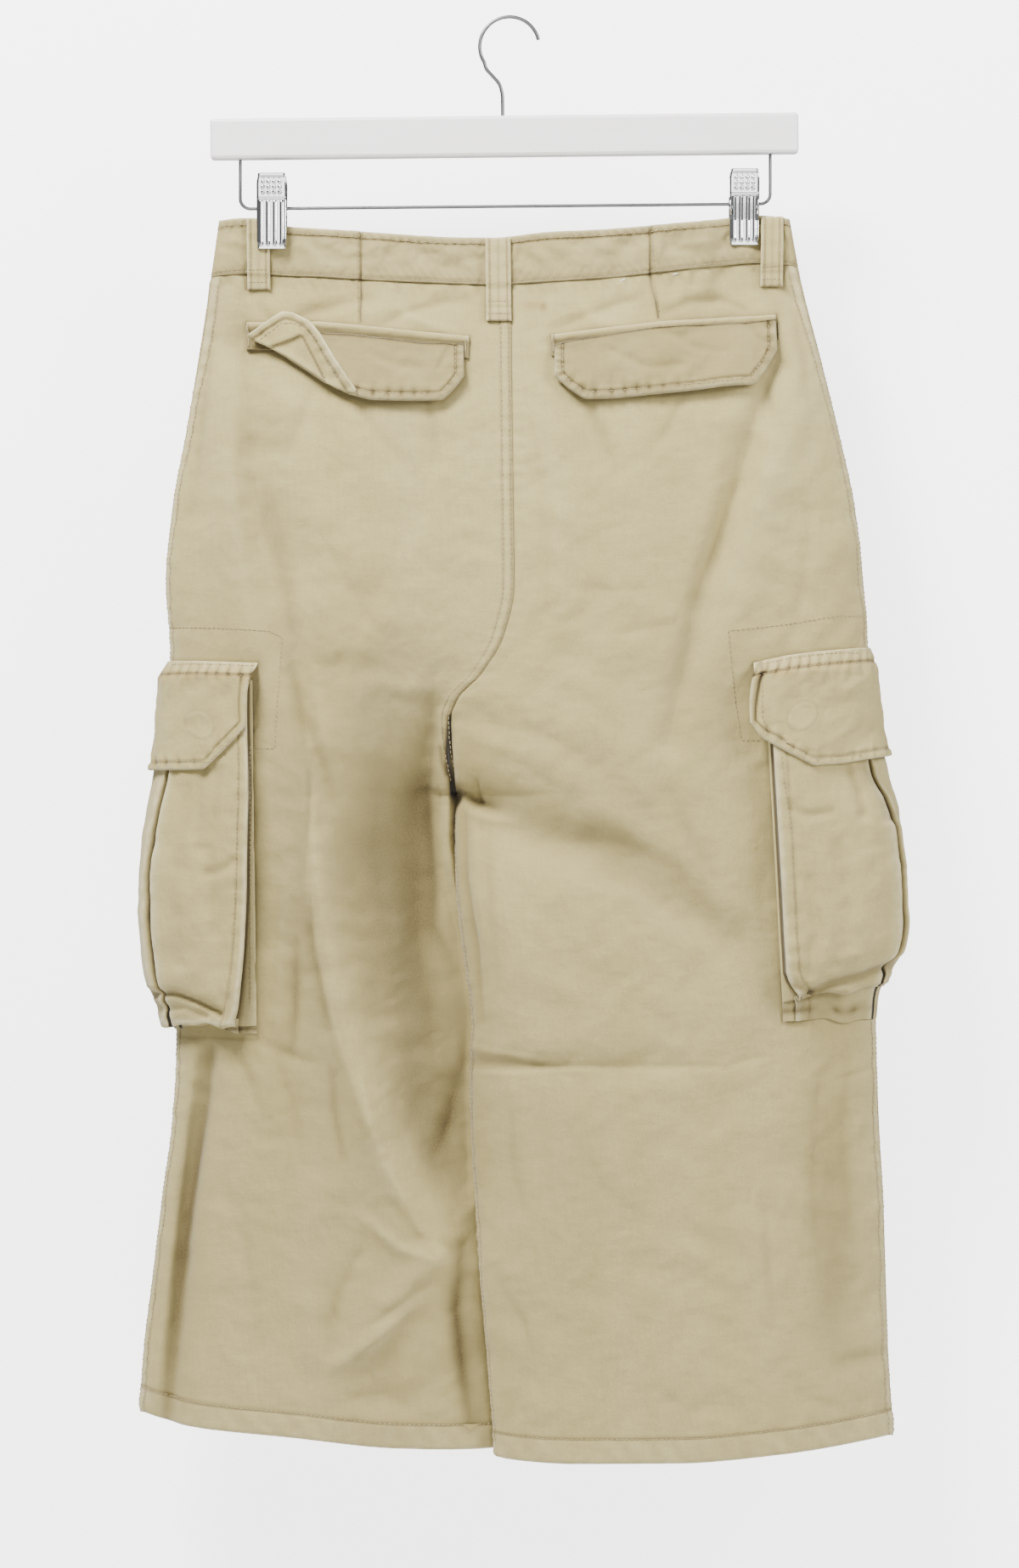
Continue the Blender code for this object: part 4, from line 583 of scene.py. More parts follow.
def near_path(path, x, z):
    """Distance from a path, which side of it (+1 right, -1 left), and the share of its length."""
    nearest = np.full(np.broadcast(x, z).shape, np.inf)
    hand = np.ones(nearest.shape)
    along = np.zeros(nearest.shape)
    lengths = [math.dist(a, b) for a, b in zip(path, path[1:])]
    whole = sum(lengths)
    before = 0.0
    for ((ax, az), (bx, bz)), length in zip(zip(path, path[1:]), lengths):
        ux, uz = (bx - ax) / length, (bz - az) / length
        t = np.clip((x - ax) * ux + (z - az) * uz, 0.0, length)
        off_x, off_z = x - ax - t * ux, z - az - t * uz
        away = np.hypot(off_x, off_z)
        closer = away < nearest
        side = np.where(ux * off_z - uz * off_x < 0, 1.0, -1.0)
        hand = np.where(closer, side, hand)
        along = np.where(closer, (before + t) / whole, along)
        nearest = np.where(closer, away, nearest)
        before += length
    return nearest, hand, along


def beside_path(path, x, z, width):
    return bump(near_path(path, x, z)[0], width)


def creases(face, x, z, widest=99.0):
    """Height that the creases up to a width take from the cloth, in mm inwards."""
    total = np.zeros(np.broadcast(x, z).shape)
    for crease in CREASES:
        if crease.face != face or max(crease.left, crease.right) > widest:
            continue
        xs = [p[0] for p in crease.path]
        zs = [p[1] for p in crease.path]
        reach = 3.2 * max(crease.left, crease.right)
        near = (x > min(xs) - reach) & (x < max(xs) + reach)
        near = near & (z > min(zs) - reach) & (z < max(zs) + reach)
        if not near.any():
            continue
        away, hand, along = near_path(crease.path, x[near], z[near])
        width = np.where(hand > 0, crease.right, crease.left)
        taper = np.sin(np.pi * (CREASE_TIP + (1.0 - 2.0 * CREASE_TIP) * along)) ** 0.9
        total[near] += crease.depth * taper * np.exp(-((away / width) ** CREASE_SHARPNESS))
    return total


def rumple(x, z, seed=0.0):
    """Shallow, irregular waves of washed cloth."""
    total = np.zeros(np.broadcast(x, z).shape)
    for wave in WAVES:
        turn = wave.turn + 0.3 * seed
        u = x * math.cos(turn) + z * math.sin(turn)
        v = z * math.cos(turn) - x * math.sin(turn)
        across = 2.0 * np.pi * v / (2.3 * wave.length) + wave.phase + seed
        bend = 0.4 * wave.length * np.sin(across)
        patch = 0.6 + 0.4 * np.sin(2.0 * np.pi * v / (5.1 * wave.length) + 2.0 * wave.phase)
        total += wave.height * patch * np.sin(TURN * (u + bend) / wave.length + 3.0 * wave.phase)
    return total


def pucker(along, phase=0.0, length=8.0):
    """Uneven little gathers along a seam, from -1 to 1."""
    drift = 1.3 * np.sin(along / 19.0 + phase) + 0.8 * np.sin(along / 7.3 + 2.0 * phase)
    swell = 0.65 + 0.35 * np.sin(along / 23.0 + 1.7 * phase)
    return swell * np.sin(2.0 * np.pi * along / length + drift)


def bump(distance, width):
    return np.exp(-((distance / width) ** 2))


def two_bumps(distance, places, width):
    return bump(distance - places[0], width) + bump(distance - places[1], width)


def gathered(along, phase, length=8.5):
    """Where a seam's gathers dip, from 0 to 1."""
    return np.clip(-pucker(along, phase, length), 0.0, 1.0)


# ---------------------------------------------------------------- meshes

PIECES = {
}
SURFACES = {
}


def cloth_layers(wear_and_highlight, painted_shade_and_stain=0.0, tint=0.0):
    """Where the cloth is worn pale or given a painted highlight on crease ridges, where shade is painted
    darker (near black above 1) with a real stain among it, and where it took a rusty tint.
    """
    flat = 0.0 * wear_and_highlight
    painted_shade_and_stain = np.clip(painted_shade_and_stain + flat, 0.0, 2.0)
    return {"wear_and_highlight": np.clip(wear_and_highlight, 0.0, 1.0), "painted_shade_and_stain": painted_shade_and_stain, "tint": tint + flat}


def build_mesh(name, points, quads, uv=None, layers=None):
    """A mesh from points in mm, four-cornered faces, flat cloth coordinates and named values."""
    mesh = bpy.data.meshes.new(name)
    mesh.vertices.add(len(points))
    mesh.vertices.foreach_set("co", (np.asarray(points) * MM).astype(np.float32).ravel())
    mesh.loops.add(quads.size)
    mesh.loops.foreach_set("vertex_index", quads.astype(np.int32).ravel())
    mesh.polygons.add(len(quads))
    mesh.polygons.foreach_set("loop_start", np.arange(0, quads.size, 4, dtype=np.int32))
    mesh.update(calc_edges=True)
    if uv is not None:
        layer = mesh.uv_layers.new(name="cloth")
        layer.data.foreach_set("uv", (uv * MM)[quads.ravel()].astype(np.float32).ravel())
    for key, values in (layers or {}).items():
        made = mesh.attributes.new(key, "FLOAT", "POINT")
        made.data.foreach_set("value", np.broadcast_to(values, len(points)).astype(np.float32))
    mesh.shade_smooth()
    return mesh


def add_piece(name, mesh, look, slot, *nodes):
    made = bpy.data.objects.new(name, mesh)
    bpy.context.scene.collection.objects.link(made)
    made.data.materials.append(look)
    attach(made, "root")
    if nodes:
        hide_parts(*nodes)
    PIECES[name] = made
    return made


def grid_quads(rows, columns, start=0):
    at = np.arange(rows * columns).reshape(rows, columns) + start
    corners = [at[:-1, :-1], at[:-1, 1:], at[1:, 1:], at[1:, :-1]]
    return np.stack(corners, axis=-1).reshape(-1, 4)


def outwards(points, quads, normal):
    """The faces, turned so that they look along the given normals."""
    a, b, d = points[quads[:, 0]], points[quads[:, 1]], points[quads[:, 3]]
    side = (np.cross(b - a, d - a) * normal.reshape(-1, 3)[quads[:, 0]]).sum()
    return quads if side > 0 else quads[:, ::-1]


def arc(grid, axis):
    """Length along the grid's rows (axis 1) or columns (axis 0) from their start."""
    step = np.linalg.norm(np.diff(grid, axis=axis), axis=-1)
    pad = [(0, 0), (0, 0)]
    pad[axis] = (1, 0)
    return np.pad(np.cumsum(step, axis=axis), pad)


def cloth_uv(grid, seed=0.0):
    return np.stack([arc(grid, 1) + 37.0 * seed, -arc(grid, 0) - 53.0 * seed], axis=-1).reshape(-1, 2)


def crowded(start, stop, cell, edge=0.35, reach=3.0):
    """Stations in mm from start to stop, closer together near both ends."""
    length = stop - start
    near = np.array([0.0, edge, 2.1 * edge, 4.0 * edge, reach])
    near = near[near < length * 0.3]
    count = max(2, int(round((length - 2 * near[-1]) / cell)))
    middle = np.linspace(near[-1], length - near[-1], count + 1)
    return start + np.concatenate([near[:-1], middle, length - near[:-1][::-1]])


def flat_layers(layers, shape):
    return {key: np.broadcast_to(values, shape).ravel() for key, values in (layers or {}).items()}


def slab(name, outer, inner, look, slot, nodes, layers=None, seed=0.0):
    """A closed shell between an outer and an inner grid."""
    rows, columns = outer.shape[:2]
    count = rows * columns
    points = np.concatenate([outer.reshape(-1, 3), inner.reshape(-1, 3)])
    front = grid_quads(rows, columns)
    at = np.arange(count).reshape(rows, columns)
    rim = np.concatenate([at[0, :-1], at[:-1, -1], at[-1, :0:-1], at[:0:-1, 0]])
    after = np.roll(rim, -1)
    side = np.stack([after, rim, rim + count, after + count], axis=-1)
    quads = np.concatenate([front, front[:, ::-1] + count, side])
    out = outer - inner
    quads = outwards(points, quads, np.concatenate([out.reshape(-1, 3), -out.reshape(-1, 3)]))
    uv = np.tile(cloth_uv(outer, seed), (2, 1))
    both = {key: np.tile(v, 2) for key, v in flat_layers(layers, (rows, columns)).items()}
    mesh = build_mesh(name, points, quads, uv, both)
    return add_piece(name, mesh, look, slot, *nodes)


def sheet_mesh(name, grid, out, look, slot, nodes, layers=None, seed=0.0):
    """A single layer of cloth through a grid of points."""
    rows, columns = grid.shape[:2]
    points = grid.reshape(-1, 3)
    quads = outwards(points, grid_quads(rows, columns), out)
    mesh = build_mesh(name, points, quads, cloth_uv(grid, seed), flat_layers(layers, (rows, columns)))
    return add_piece(name, mesh, look, slot, *nodes)


def grid_normals(grid, like):
    """Unit normals of a grid, on the side that like points to."""
    out = np.cross(np.gradient(grid, axis=1), np.gradient(grid, axis=0))
    out = out / np.maximum(np.linalg.norm(out, axis=-1, keepdims=True), TINY)
    return out if (out * like).sum() > 0 else -out


# ---------------------------------------------------------------- materials

def linear(*display):
    """Linear colour of 0-255 display values."""
    return tuple(((c / 255.0 + 0.055) / 1.055) ** 2.4 for c in display)


def dimmer(colour, share):
    return tuple(c * share for c in colour)


class Nodes:
    """Short calls for a material's nodes."""

    def __init__(self, name):
        self.material = bpy.data.materials.new(name)
        self.material.use_nodes = True
        self.tree = self.material.node_tree
        self.shader = self.tree.nodes["Principled BSDF"]

    def add(self, kind, **settings):
        node = self.tree.nodes.new(kind)
        for key, value in settings.items():
            setattr(node, key, value)
        return node

    def link(self, a, b):
        self.tree.links.new(a, b)

    def place(self):
        return self.add("ShaderNodeTexCoord").outputs["Object"]

    def marked(self, layer):
        """The values that the meshes carry under a name."""
        return self.add("ShaderNodeAttribute", attribute_name=layer).outputs["Fac"]

    def finish(self, colour, rough, normal, **settings):
        """Links the shader's main inputs, sets others and gives the material."""
        for key, value in (("Base Color", colour), ("Roughness", rough), ("Normal", normal)):
            self.link(value, self.shader.inputs[key])
        for key, value in settings.items():
            self.shader.inputs[key.replace("_", " ")].default_value = value
        return self.material

    def noise(self, at, scale, detail=2.0, roughness=0.5, stretch=None):
        if stretch:
            mapped = self.add("ShaderNodeMapping")
            mapped.inputs["Scale"].default_value = stretch
            self.link(at, mapped.inputs["Vector"])
            at = mapped.outputs["Vector"]
        node = self.add("ShaderNodeTexNoise")
        node.inputs["Scale"].default_value = scale
        node.inputs["Detail"].default_value = detail
        node.inputs["Roughness"].default_value = roughness
        self.link(at, node.inputs["Vector"])
        return node.outputs["Fac"]

    def span(self, value, low, high, to_low=0.0, to_high=1.0):
        node = self.add("ShaderNodeMapRange")
        self.link(value, node.inputs["Value"])
        limits = {"From Min": low, "From Max": high, "To Min": to_low, "To Max": to_high}
        for key, number in limits.items():
            node.inputs[key].default_value = number
        return node.outputs["Result"]

    def mix(self, share, a, b, blend="MIX"):
        node = self.add("ShaderNodeMix", data_type="RGBA", blend_type=blend)
        for key, value in ((0, share), (6, a), (7, b)):
            if isinstance(value, (int, float)):
                node.inputs[key].default_value = value
            elif isinstance(value, tuple):
                node.inputs[key].default_value = (*value, 1.0)
            else:
                self.link(value, node.inputs[key])
        return node.outputs[2]

    def math(self, operation, a, b):
        node = self.add("ShaderNodeMath", operation=operation)
        for i, value in enumerate((a, b)):
            if isinstance(value, (int, float)):
                node.inputs[i].default_value = value
            else:
                self.link(value, node.inputs[i])
        return node.outputs[0]

    def bump(self, height, distance, strength=1.0, onto=None):
        node = self.add("ShaderNodeBump")
        node.inputs["Strength"].default_value = strength
        node.inputs["Distance"].default_value = distance
        self.link(height, node.inputs["Height"])
        if onto is not None:
            self.link(onto, node.inputs["Normal"])
        return node.outputs["Normal"]


KHAKI = (0.42, 0.350, 0.142)
KHAKI_DEEP = (0.30, 0.235, 0.088)
KHAKI_WORN = (0.60, 0.54, 0.33)
# Colour of painted shade, and near black for painted shadow in narrow gaps.
KHAKI_IN_PAINTED_SHADE = (0.125, 0.094, 0.034)
GAP_PAINTED_SHADOW = (0.014, 0.010, 0.005)
RUST = (0.42, 0.27, 0.08)
RIB_LEAN_DEG = -27
RIB_WAVE = {"Scale": 370.0, "Distortion": 1.6, "Detail": 1.0, "Detail Scale": 2.0}


def twill(name):
    """Washed cotton twill: a diagonal rib, slubs and faded patches; pale where worn or given a painted
    highlight, darkened by painted shade, and rusty where marked.
    """
    base, deep, worn = KHAKI, KHAKI_DEEP, KHAKI_WORN
    n = Nodes(name)
    at = n.add("ShaderNodeUVMap", uv_map="cloth").outputs["UV"]
    place = n.place()
    rib_at = n.add("ShaderNodeMapping")
    rib_at.inputs["Rotation"].default_value = (0.0, 0.0, math.radians(RIB_LEAN_DEG))
    n.link(at, rib_at.inputs["Vector"])
    rib = n.add("ShaderNodeTexWave", wave_type="BANDS", bands_direction="X", wave_profile="SIN")
    for key, value in RIB_WAVE.items():
        rib.inputs[key].default_value = value
    n.link(rib_at.outputs["Vector"], rib.inputs["Vector"])
    rib = rib.outputs["Fac"]
    warp = n.noise(at, 420.0, 2.0, 0.6, (1.0, 0.16, 1.0))
    weft = n.noise(at, 420.0, 2.0, 0.6, (0.16, 1.0, 1.0))
    grain = n.noise(at, 900.0, 2.0, 0.7)
    cloudy = n.noise(place, 9.0, 3.0, 0.55)
    streaks = n.noise(at, 22.0, 3.0, 0.6, (1.0, 0.12, 1.0))
    crumple = n.noise(place, 95.0, 3.0, 0.55)
    shade = n.span(cloudy, 0.3, 0.7)
    colour = n.mix(n.math("MULTIPLY", shade, 0.35), base, deep)
    colour = n.mix(n.span(streaks, 0.35, 0.8, 0.0, 0.22), colour, worn)
    threads = n.math("ADD", n.math("MULTIPLY", warp, 0.5), n.math("MULTIPLY", weft, 0.5))
    colour = n.mix(n.span(threads, 0.3, 0.7, 0.42, 0.0), colour, deep)
    colour = n.mix(n.span(rib, 0.0, 1.0, 0.10, 0.0), colour, deep)
    colour = n.mix(n.span(grain, 0.45, 0.9, 0.0, 0.25), colour, worn)
    wear_and_highlight = n.marked("wear_and_highlight")
    patchy = n.span(n.noise(place, 160.0, 2.0, 0.6), 0.3, 0.65, 0.35, 1.0)
    colour = n.mix(n.math("MULTIPLY", wear_and_highlight, patchy), colour, worn)
    colour = n.mix(n.marked("tint"), colour, RUST)
    # Painted shade: the marked layer darkens the cloth towards a shade colour, and to near black above 1 in
    # gaps.
    painted_shade_and_stain = n.marked("painted_shade_and_stain")
    colour = n.mix(n.math("MULTIPLY", painted_shade_and_stain, n.span(grain, 0.3, 0.7, 0.7, 1.0)), colour, KHAKI_IN_PAINTED_SHADE)
    colour = n.mix(n.span(painted_shade_and_stain, 1.0, 2.0), colour, GAP_PAINTED_SHADOW)
    rough = n.span(threads, 0.2, 0.8, 0.82, 0.96)
    uneven = n.bump(n.noise(place, 38.0, 2.0, 0.5), 0.0018, 0.5, n.bump(crumple, 0.0015, 0.55))
    woven = n.bump(n.math("ADD", n.math("MULTIPLY", rib, 0.45), threads), 0.0002, 0.5, uneven)
    return n.finish(colour, rough, woven, Specular_IOR_Level=0.25, Sheen_Weight=0.18, Sheen_Roughness=0.5)


def thread(name, colour):
    """Sewing thread with a fine twist."""
    n = Nodes(name)
    place = n.place()
    spin = n.noise(place, 2500.0, 1.0, 0.5)
    fade = n.noise(place, 60.0, 2.0, 0.5)
    tone = n.mix(n.span(spin, 0.3, 0.7, 0.0, 0.45), colour, dimmer(colour, 0.72))
    tone = n.mix(n.span(fade, 0.3, 0.8, 0.0, 0.3), tone, KHAKI_WORN)
    return n.finish(tone, n.span(spin, 0.2, 0.8, 0.6, 0.8), n.bump(spin, 0.0001, 0.5))


def metal(name, colour, rough_low, rough_high, dirt):
    """Plated or drawn metal with faint smears and a little grime."""
    n = Nodes(name)
    place = n.place()
    smear = n.noise(place, 240.0, 3.0, 0.6, (1.0, 1.0, 0.2))
    spots = n.noise(place, 900.0, 2.0, 0.7)
    tone = n.mix(n.span(spots, 0.55, 0.8, 0.0, dirt), colour, dimmer(colour, 0.45))
    rough = n.span(smear, 0.3, 0.7, rough_low, rough_high)
    return n.finish(tone, rough, n.bump(spots, 0.00004, 0.25), Metallic=1.0)


def painted_wood(name):
    """White satin paint over wood: brush marks along the bar, small dents and scuffs."""
    n = Nodes(name)
    place = n.place()
    strokes = n.noise(place, 90.0, 3.0, 0.6, (0.05, 1.0, 1.0))
    cloudy = n.noise(place, 14.0, 3.0, 0.6)
    dents = n.noise(place, 320.0, 2.0, 0.6)
    colour = n.mix(n.span(cloudy, 0.3, 0.7, 0.0, 0.5), linear(249, 249, 248), linear(244, 244, 241))
    colour = n.mix(n.span(strokes, 0.45, 0.75, 0.0, 0.18), colour, linear(232, 230, 224))
    colour = n.mix(n.span(dents, 0.68, 0.82, 0.0, 0.4), colour, linear(190, 182, 166))
    rough = n.span(strokes, 0.3, 0.7, 0.30, 0.44)
    marks = n.bump(n.math("ADD", strokes, n.math("MULTIPLY", dents, 0.5)), 0.0002, 0.5)
    return n.finish(colour, rough, marks, Specular_IOR_Level=0.8)


def horn(name):
    """Mottled brown resin."""
    n = Nodes(name)
    mottle = n.noise(n.place(), 330.0, 3.0, 0.6, (1.0, 1.0, 0.4))
    colour = n.mix(n.span(mottle, 0.35, 0.65), linear(92, 72, 50), linear(168, 140, 104))
    return n.finish(colour, n.span(mottle, 0.3, 0.7, 0.28, 0.42), n.bump(mottle, 0.00005, 0.4))


TWILL = twill("khaki_twill")
# The khaki thread is darker than the cloth: its own colour with painted shade round the stitches.
THREAD = thread("khaki_thread", (0.27, 0.212, 0.095))
THREAD_TAN = thread("tan_thread", (0.32, 0.18, 0.055))
# Painted shade in seams and under flap edges, drawn as dark thread.
SEAM_SHADE = thread("seam_shade", (0.12, 0.09, 0.036))
LINT_LOOK = thread("white_lint", (0.85, 0.85, 0.83))
CHROME = metal("chrome_plate", (0.66, 0.67, 0.68), 0.06, 0.16, 0.25)
WIRE = metal("drawn_wire", (0.17, 0.172, 0.175), 0.30, 0.45, 0.4)
PAINT = painted_wood("white_painted_wood")
HORN = horn("brown_horn")


# ---------------------------------------------------------------- panels

# Painted shadow in the hollow beside the crotch seam.
CROTCH_GAP = ((-35.5, -424), (-36.8, -438), (-37.2, -450), (-35.0, -460), (-33.2, -468))
# Painted shade in soft patches where the cloth sinks or leans away, and painted light where it swells (below
# 0).
Shade = namedtuple("Shade", "face side depth x z wide tall")
SHADES = table(
    Shade,
    (BACK, LEFT, 0.42, -82, -420, 34, 52), (BACK, LEFT, 0.22, -86, -520, 30, 70),
    (BACK, LEFT, 0.18, -156, -262, 22, 70), (BACK, LEFT, -0.45, -40, -505, 8, 60),
    (BACK, LEFT, 0.22, -70, -800, 50, 60), (BACK, RIGHT, 0.24, 198, -745, 15, 90),
    (BACK, RIGHT, 0.16, 60, -470, 60, 30), (BACK, RIGHT, 0.14, 112, -400, 34, 60),
    (BACK, RIGHT, 0.12, 30, -690, 40, 50), (BACK, RIGHT, -0.10, 150, -280, 30, 60),
)
# Painted shade falls to the right of this fold's line, on the back of the left leg.
LONG_FOLD = (
    (-129, -372), (-121, -425), (-117, -470), (-120, -520), (-115, -565), (-102, -615), (-88, -655),
    (-70, -700), (-46, -742),
)
# Painted shade along the curled edge of the lobe.
LOBE_CURL = ((-42.8, -441), (-41.8, -449), (-38.5, -457))
PANEL_CELL = {BACK: 1.5, FRONT: 2.4}
PANEL_WIDTH, PANEL_LENGTH = 205.0, 710.0
SEAM_ROWS = (1.4, 6.0)  # the felled seam's two rows, from a panel's inner edge
OUTSEAM_ROWS = (3.4, 9.4)
HEM_HEIGHT = 15.0
HEM_TURN = 1.3
DART_LENGTH = 27.0  # below the waist seam
DART_LEAN = {LEFT: 0.0, RIGHT: 5.4}
RIDGE_WIDTH = 7.2


class Surface:
    """A fine grid that can be read at any share of its rows and columns."""

    def __init__(self, grid, out, across, down):
        self.grid, self.out, self.across, self.down = grid, out, across, down

    def at(self, across, down):
        across, down = np.broadcast_arrays(np.asarray(across, float), np.asarray(down, float))
        j = np.clip(np.searchsorted(self.across, across) - 1, 0, len(self.across) - 2)
        i = np.clip(np.searchsorted(self.down, down) - 1, 0, len(self.down) - 2)
        a = (across - self.across[j]) / (self.across[j + 1] - self.across[j])
        d = (down - self.down[i]) / (self.down[i + 1] - self.down[i])
        a, d = np.clip(a, 0, 1)[..., None], np.clip(d, 0, 1)[..., None]
        both = []
        for values in (self.grid, self.out):
            top = values[i, j] * (1 - a) + values[i, j + 1] * a
            low = values[i + 1, j] * (1 - a) + values[i + 1, j + 1] * a
            both.append(top * (1 - d) + low * d)
        return both[0], both[1] / np.linalg.norm(both[1], axis=-1, keepdims=True)


def fine_across(cell):
    """Shares across a panel, closer together near its two edges."""
    t = np.linspace(0.0, 1.0, int(PANEL_WIDTH / cell) + 1)
    return 0.42 * t + 0.29 * (1.0 - np.cos(np.pi * t))


def covered_edges(side, face):
    """Outlines of what is sewn on a panel; beside them the cloth gets painted shade."""
    loops = [row for row in LOOP_ROWS if row.face == face and row.x * side > 0]
    lines = []
    for row in loops:
        seam = float(WAIST_SEAM(row.x))
        x0, x1, low = row.x - row.width / 2, row.x + row.width / 2, seam - row.below
        lines.append([(x0, seam), (x0, low), (x1, low), (x1, seam)])
    if face == BACK:
        welt, flap = WELT_ROWS[side], FLAP_ROWS[side]
        lines.append([(row.x, row.top) for row in welt])
        lines.append([(welt[0].x, welt[0].top), (welt[0].x, welt[0].bottom), (welt[2].x, welt[2].bottom)])
        lines.append([(welt[-1].x, welt[-1].top), (welt[-1].x, welt[-1].bottom)])
        lines.append([(row.x, row.bottom) for row in flap])
        if side == LEFT:
            lines.append([(row.x, row.top) for row in TURNED_ROWS])
    bag, flap = BAG_ROWS[side], CARGO_FLAP_ROWS[side]
    base_x = BAG_BASE_X[side]
    foot_x = base_x + side * BAG_BASE_SLANT[side] * (bag[0].z - BAG_BASE_Z[side])
    foot = (side * PANEL_WIDTH, BAG_BASE_Z[side] + BAG_BOTTOM_TILT[side])
    lines.append([(base_x, bag[0].z), (foot_x, BAG_BASE_Z[side]), foot])
    lines.append([(flap[0].inner, flap[0].top)] + [(row.inner, row.bottom) for row in flap])
    lines.append([(row.inner, row.top) for row in flap] + [(side * PANEL_WIDTH, flap[-1].top)])
    return lines


def add_fine_panel(name, side, face):
    """A leg's back or front from the waist seam to the hem, with its creases, seams, marks of wear and
    painted shade.
    """
    cell = PANEL_CELL[face]
    across = fine_across(cell)
    down = np.linspace(0.0, 1.0, int(PANEL_LENGTH / cell) + 1)
    grid = panel_point(side, face, across[None, :], down[:, None])
    out = grid_normals(grid, np.array([0.0, face, 0.0]))
    x, z = grid[..., 0], grid[..., 2]
    from_inner = arc(grid, 1)
    from_outseam = from_inner[:, -1:] - from_inner
    from_top = arc(grid, 0)
    from_hem = from_top[-1:, :] - from_top
    seed = 1.7 * (side + 1) + 0.9 * (face + 1)
    edge = smooth(from_inner / 12.0) * smooth(from_outseam / 10.0) * smooth(from_top / 9.0 + 0.1)
    small = creases(face, x, z)
    finest = creases(face, x, z, 7.5)
    folds = fold_depth(face, x, z)
    lift = -small * smooth(from_outseam / 9.0) * smooth(from_inner / 5.0)
    lift += rumple(x, z, seed) * edge * (0.35 + 0.65 * smooth(from_hem / 30.0))
    # Seams: the allowance makes a flat ridge beside each, pulled in at its stitches.
    above_crotch = smooth((z - (CROTCH_Z - 10.0)) / 16.0)
    if face == BACK:
        has_ridge = 1.0 if side == LEFT else 0.0
        ridge = smooth((RIDGE_WIDTH - from_inner) / 1.2) * has_ridge * above_crotch
        lift += 0.55 * ridge - 0.5 * bump(from_inner, 0.8) * above_crotch
        lift -= 0.22 * two_bumps(from_inner, SEAM_ROWS, 0.8) * has_ridge * above_crotch
        lift += 0.22 * pucker(z, 0.3, 9.0) * bump(from_inner - 4.0, 5.0) * above_crotch
    else:
        lift -= 0.5 * bump(from_inner, 0.8) * above_crotch
    inseam = 1.0 - above_crotch
    lift += 0.4 * smooth((RIDGE_WIDTH - from_inner) / 1.4) * inseam * (1.0 if face == BACK else 0.0)
    lift += 0.3 * pucker(z, 1.1 * side, 11.0) * bump(from_inner - 3.0, 6.0) * inseam
    if face == BACK:
        felled = smooth((11.0 - from_outseam) / 1.4) * smooth((from_outseam - 1.0) / 2.0)
        lift += 0.5 * felled - 0.3 * two_bumps(from_outseam, OUTSEAM_ROWS, 0.9)
        lift += 0.28 * pucker(z, 0.7 * side, 10.0) * bump(from_outseam - 6.5, 6.0)
    # The hem is three layers thick below its stitches and ripples a little.
    hem = smooth((HEM_HEIGHT + 0.6 - from_hem) / 1.4)
    lift += 0.55 * hem - 0.35 * bump(from_hem - HEM_HEIGHT, 1.1)
    lift += 0.13 * np.sin((x + 0.8 * z) / 2.3 + 1.5 * np.sin(x / 17.0)) * hem * smooth(from_hem / 4.0)
    lift += 0.45 * pucker(x, 0.4 * side, 21.0) * bump(from_hem - 9.0, 9.0)
    # Gathers below the waistband.
    gathers = 0.7 * pucker(x, 1.9 * side, 15.0) * bump(from_top - 5.0, 7.0)
    gathers += 0.4 * pucker(x + 0.6 * z, 0.7 * side, 6.5) * bump(from_top - 4.0, 3.5)
    lift += gathers * smooth(from_top / 3.5) - 0.1 * bump(from_top, 1.2)
    dart = np.zeros_like(x)
    if face == BACK:
        dart_top = WAIST_SEAM(DART_X[side])
        from_dart = (x - DART_X[side] - DART_LEAN[side] * (dart_top - z) / DART_LENGTH) * side
        in_dart = smooth((DART_LENGTH - dart_top + z + 1.5) / 3.0)
        dart = bump(from_dart, 0.9) * in_dart
        fold = 0.7 * bump(from_dart - 2.6, 2.0) - 0.7 * bump(from_dart, 1.1)
        fold -= 0.2 * bump(from_dart - 4.6, 0.9)
        lift += in_dart * fold
    lift *= smooth(from_outseam / 2.0) * 0.85 + 0.15
    grid = grid + out * lift[..., None]
    # The four panels meet at the crotch: their inner edges close up there.
    grid[..., 0] += -side * 1.7 * bump(z + 467.0, 13.0) * smooth((11.0 - from_inner) / 9.0)
    if side == LEFT:
        grid[..., 0] += 0.55 * smooth((4.0 - from_inner) / 3.5) * above_crotch
    # Round the hem's lower edge, then carry the turned-up hem inside.
    out = grid_normals(grid, np.array([0.0, face, 0.0]))
    rounding = HEM_TURN * 0.5 * rounded(from_hem, 1.2)
    grid = grid - out * rounding[..., None]
    surface = Surface(grid, out, across, down)
    SURFACES[side, face] = surface
    tucked = [grid[0] - out[0] * back + np.array([0.0, 0.0, rise]) for back, rise in ((0.7, 3.0), (0.5, 0.4))]
    turned = []
    last, last_out = grid[-1], out[-1].copy()
    last_out[:, 2] = 0.0
    last_out /= np.linalg.norm(last_out, axis=-1, keepdims=True)
    for back, rise in ((0.7, 0.15), (1.2, 1.0), (1.4, 4.0), (1.4, 9.0), (1.4, HEM_HEIGHT)):
        turned.append(last - last_out * back + np.array([0.0, 0.0, rise]))
    whole = np.concatenate([np.array(tucked), grid, np.array(turned)])
    rope = 0.5 + 0.5 * pucker(x + 0.7 * z, 1.9 * side, 6.5)
    wear_and_highlight = 0.75 * bump(from_hem, 1.1) + 0.35 * bump(from_outseam, 3.0)
    wear_and_highlight += 0.22 * bump(from_outseam, 16.0) + 0.16 * hem
    # Painted highlight: the ridges of creases and folds are made paler.
    wear_and_highlight += 0.12 * np.clip(-small / 2.0, 0.0, 1.0) + 0.10 * np.clip(-folds / 4.0, 0.0, 1.0)
    wear_and_highlight += 0.35 * bump(from_inner, 1.6) * inseam
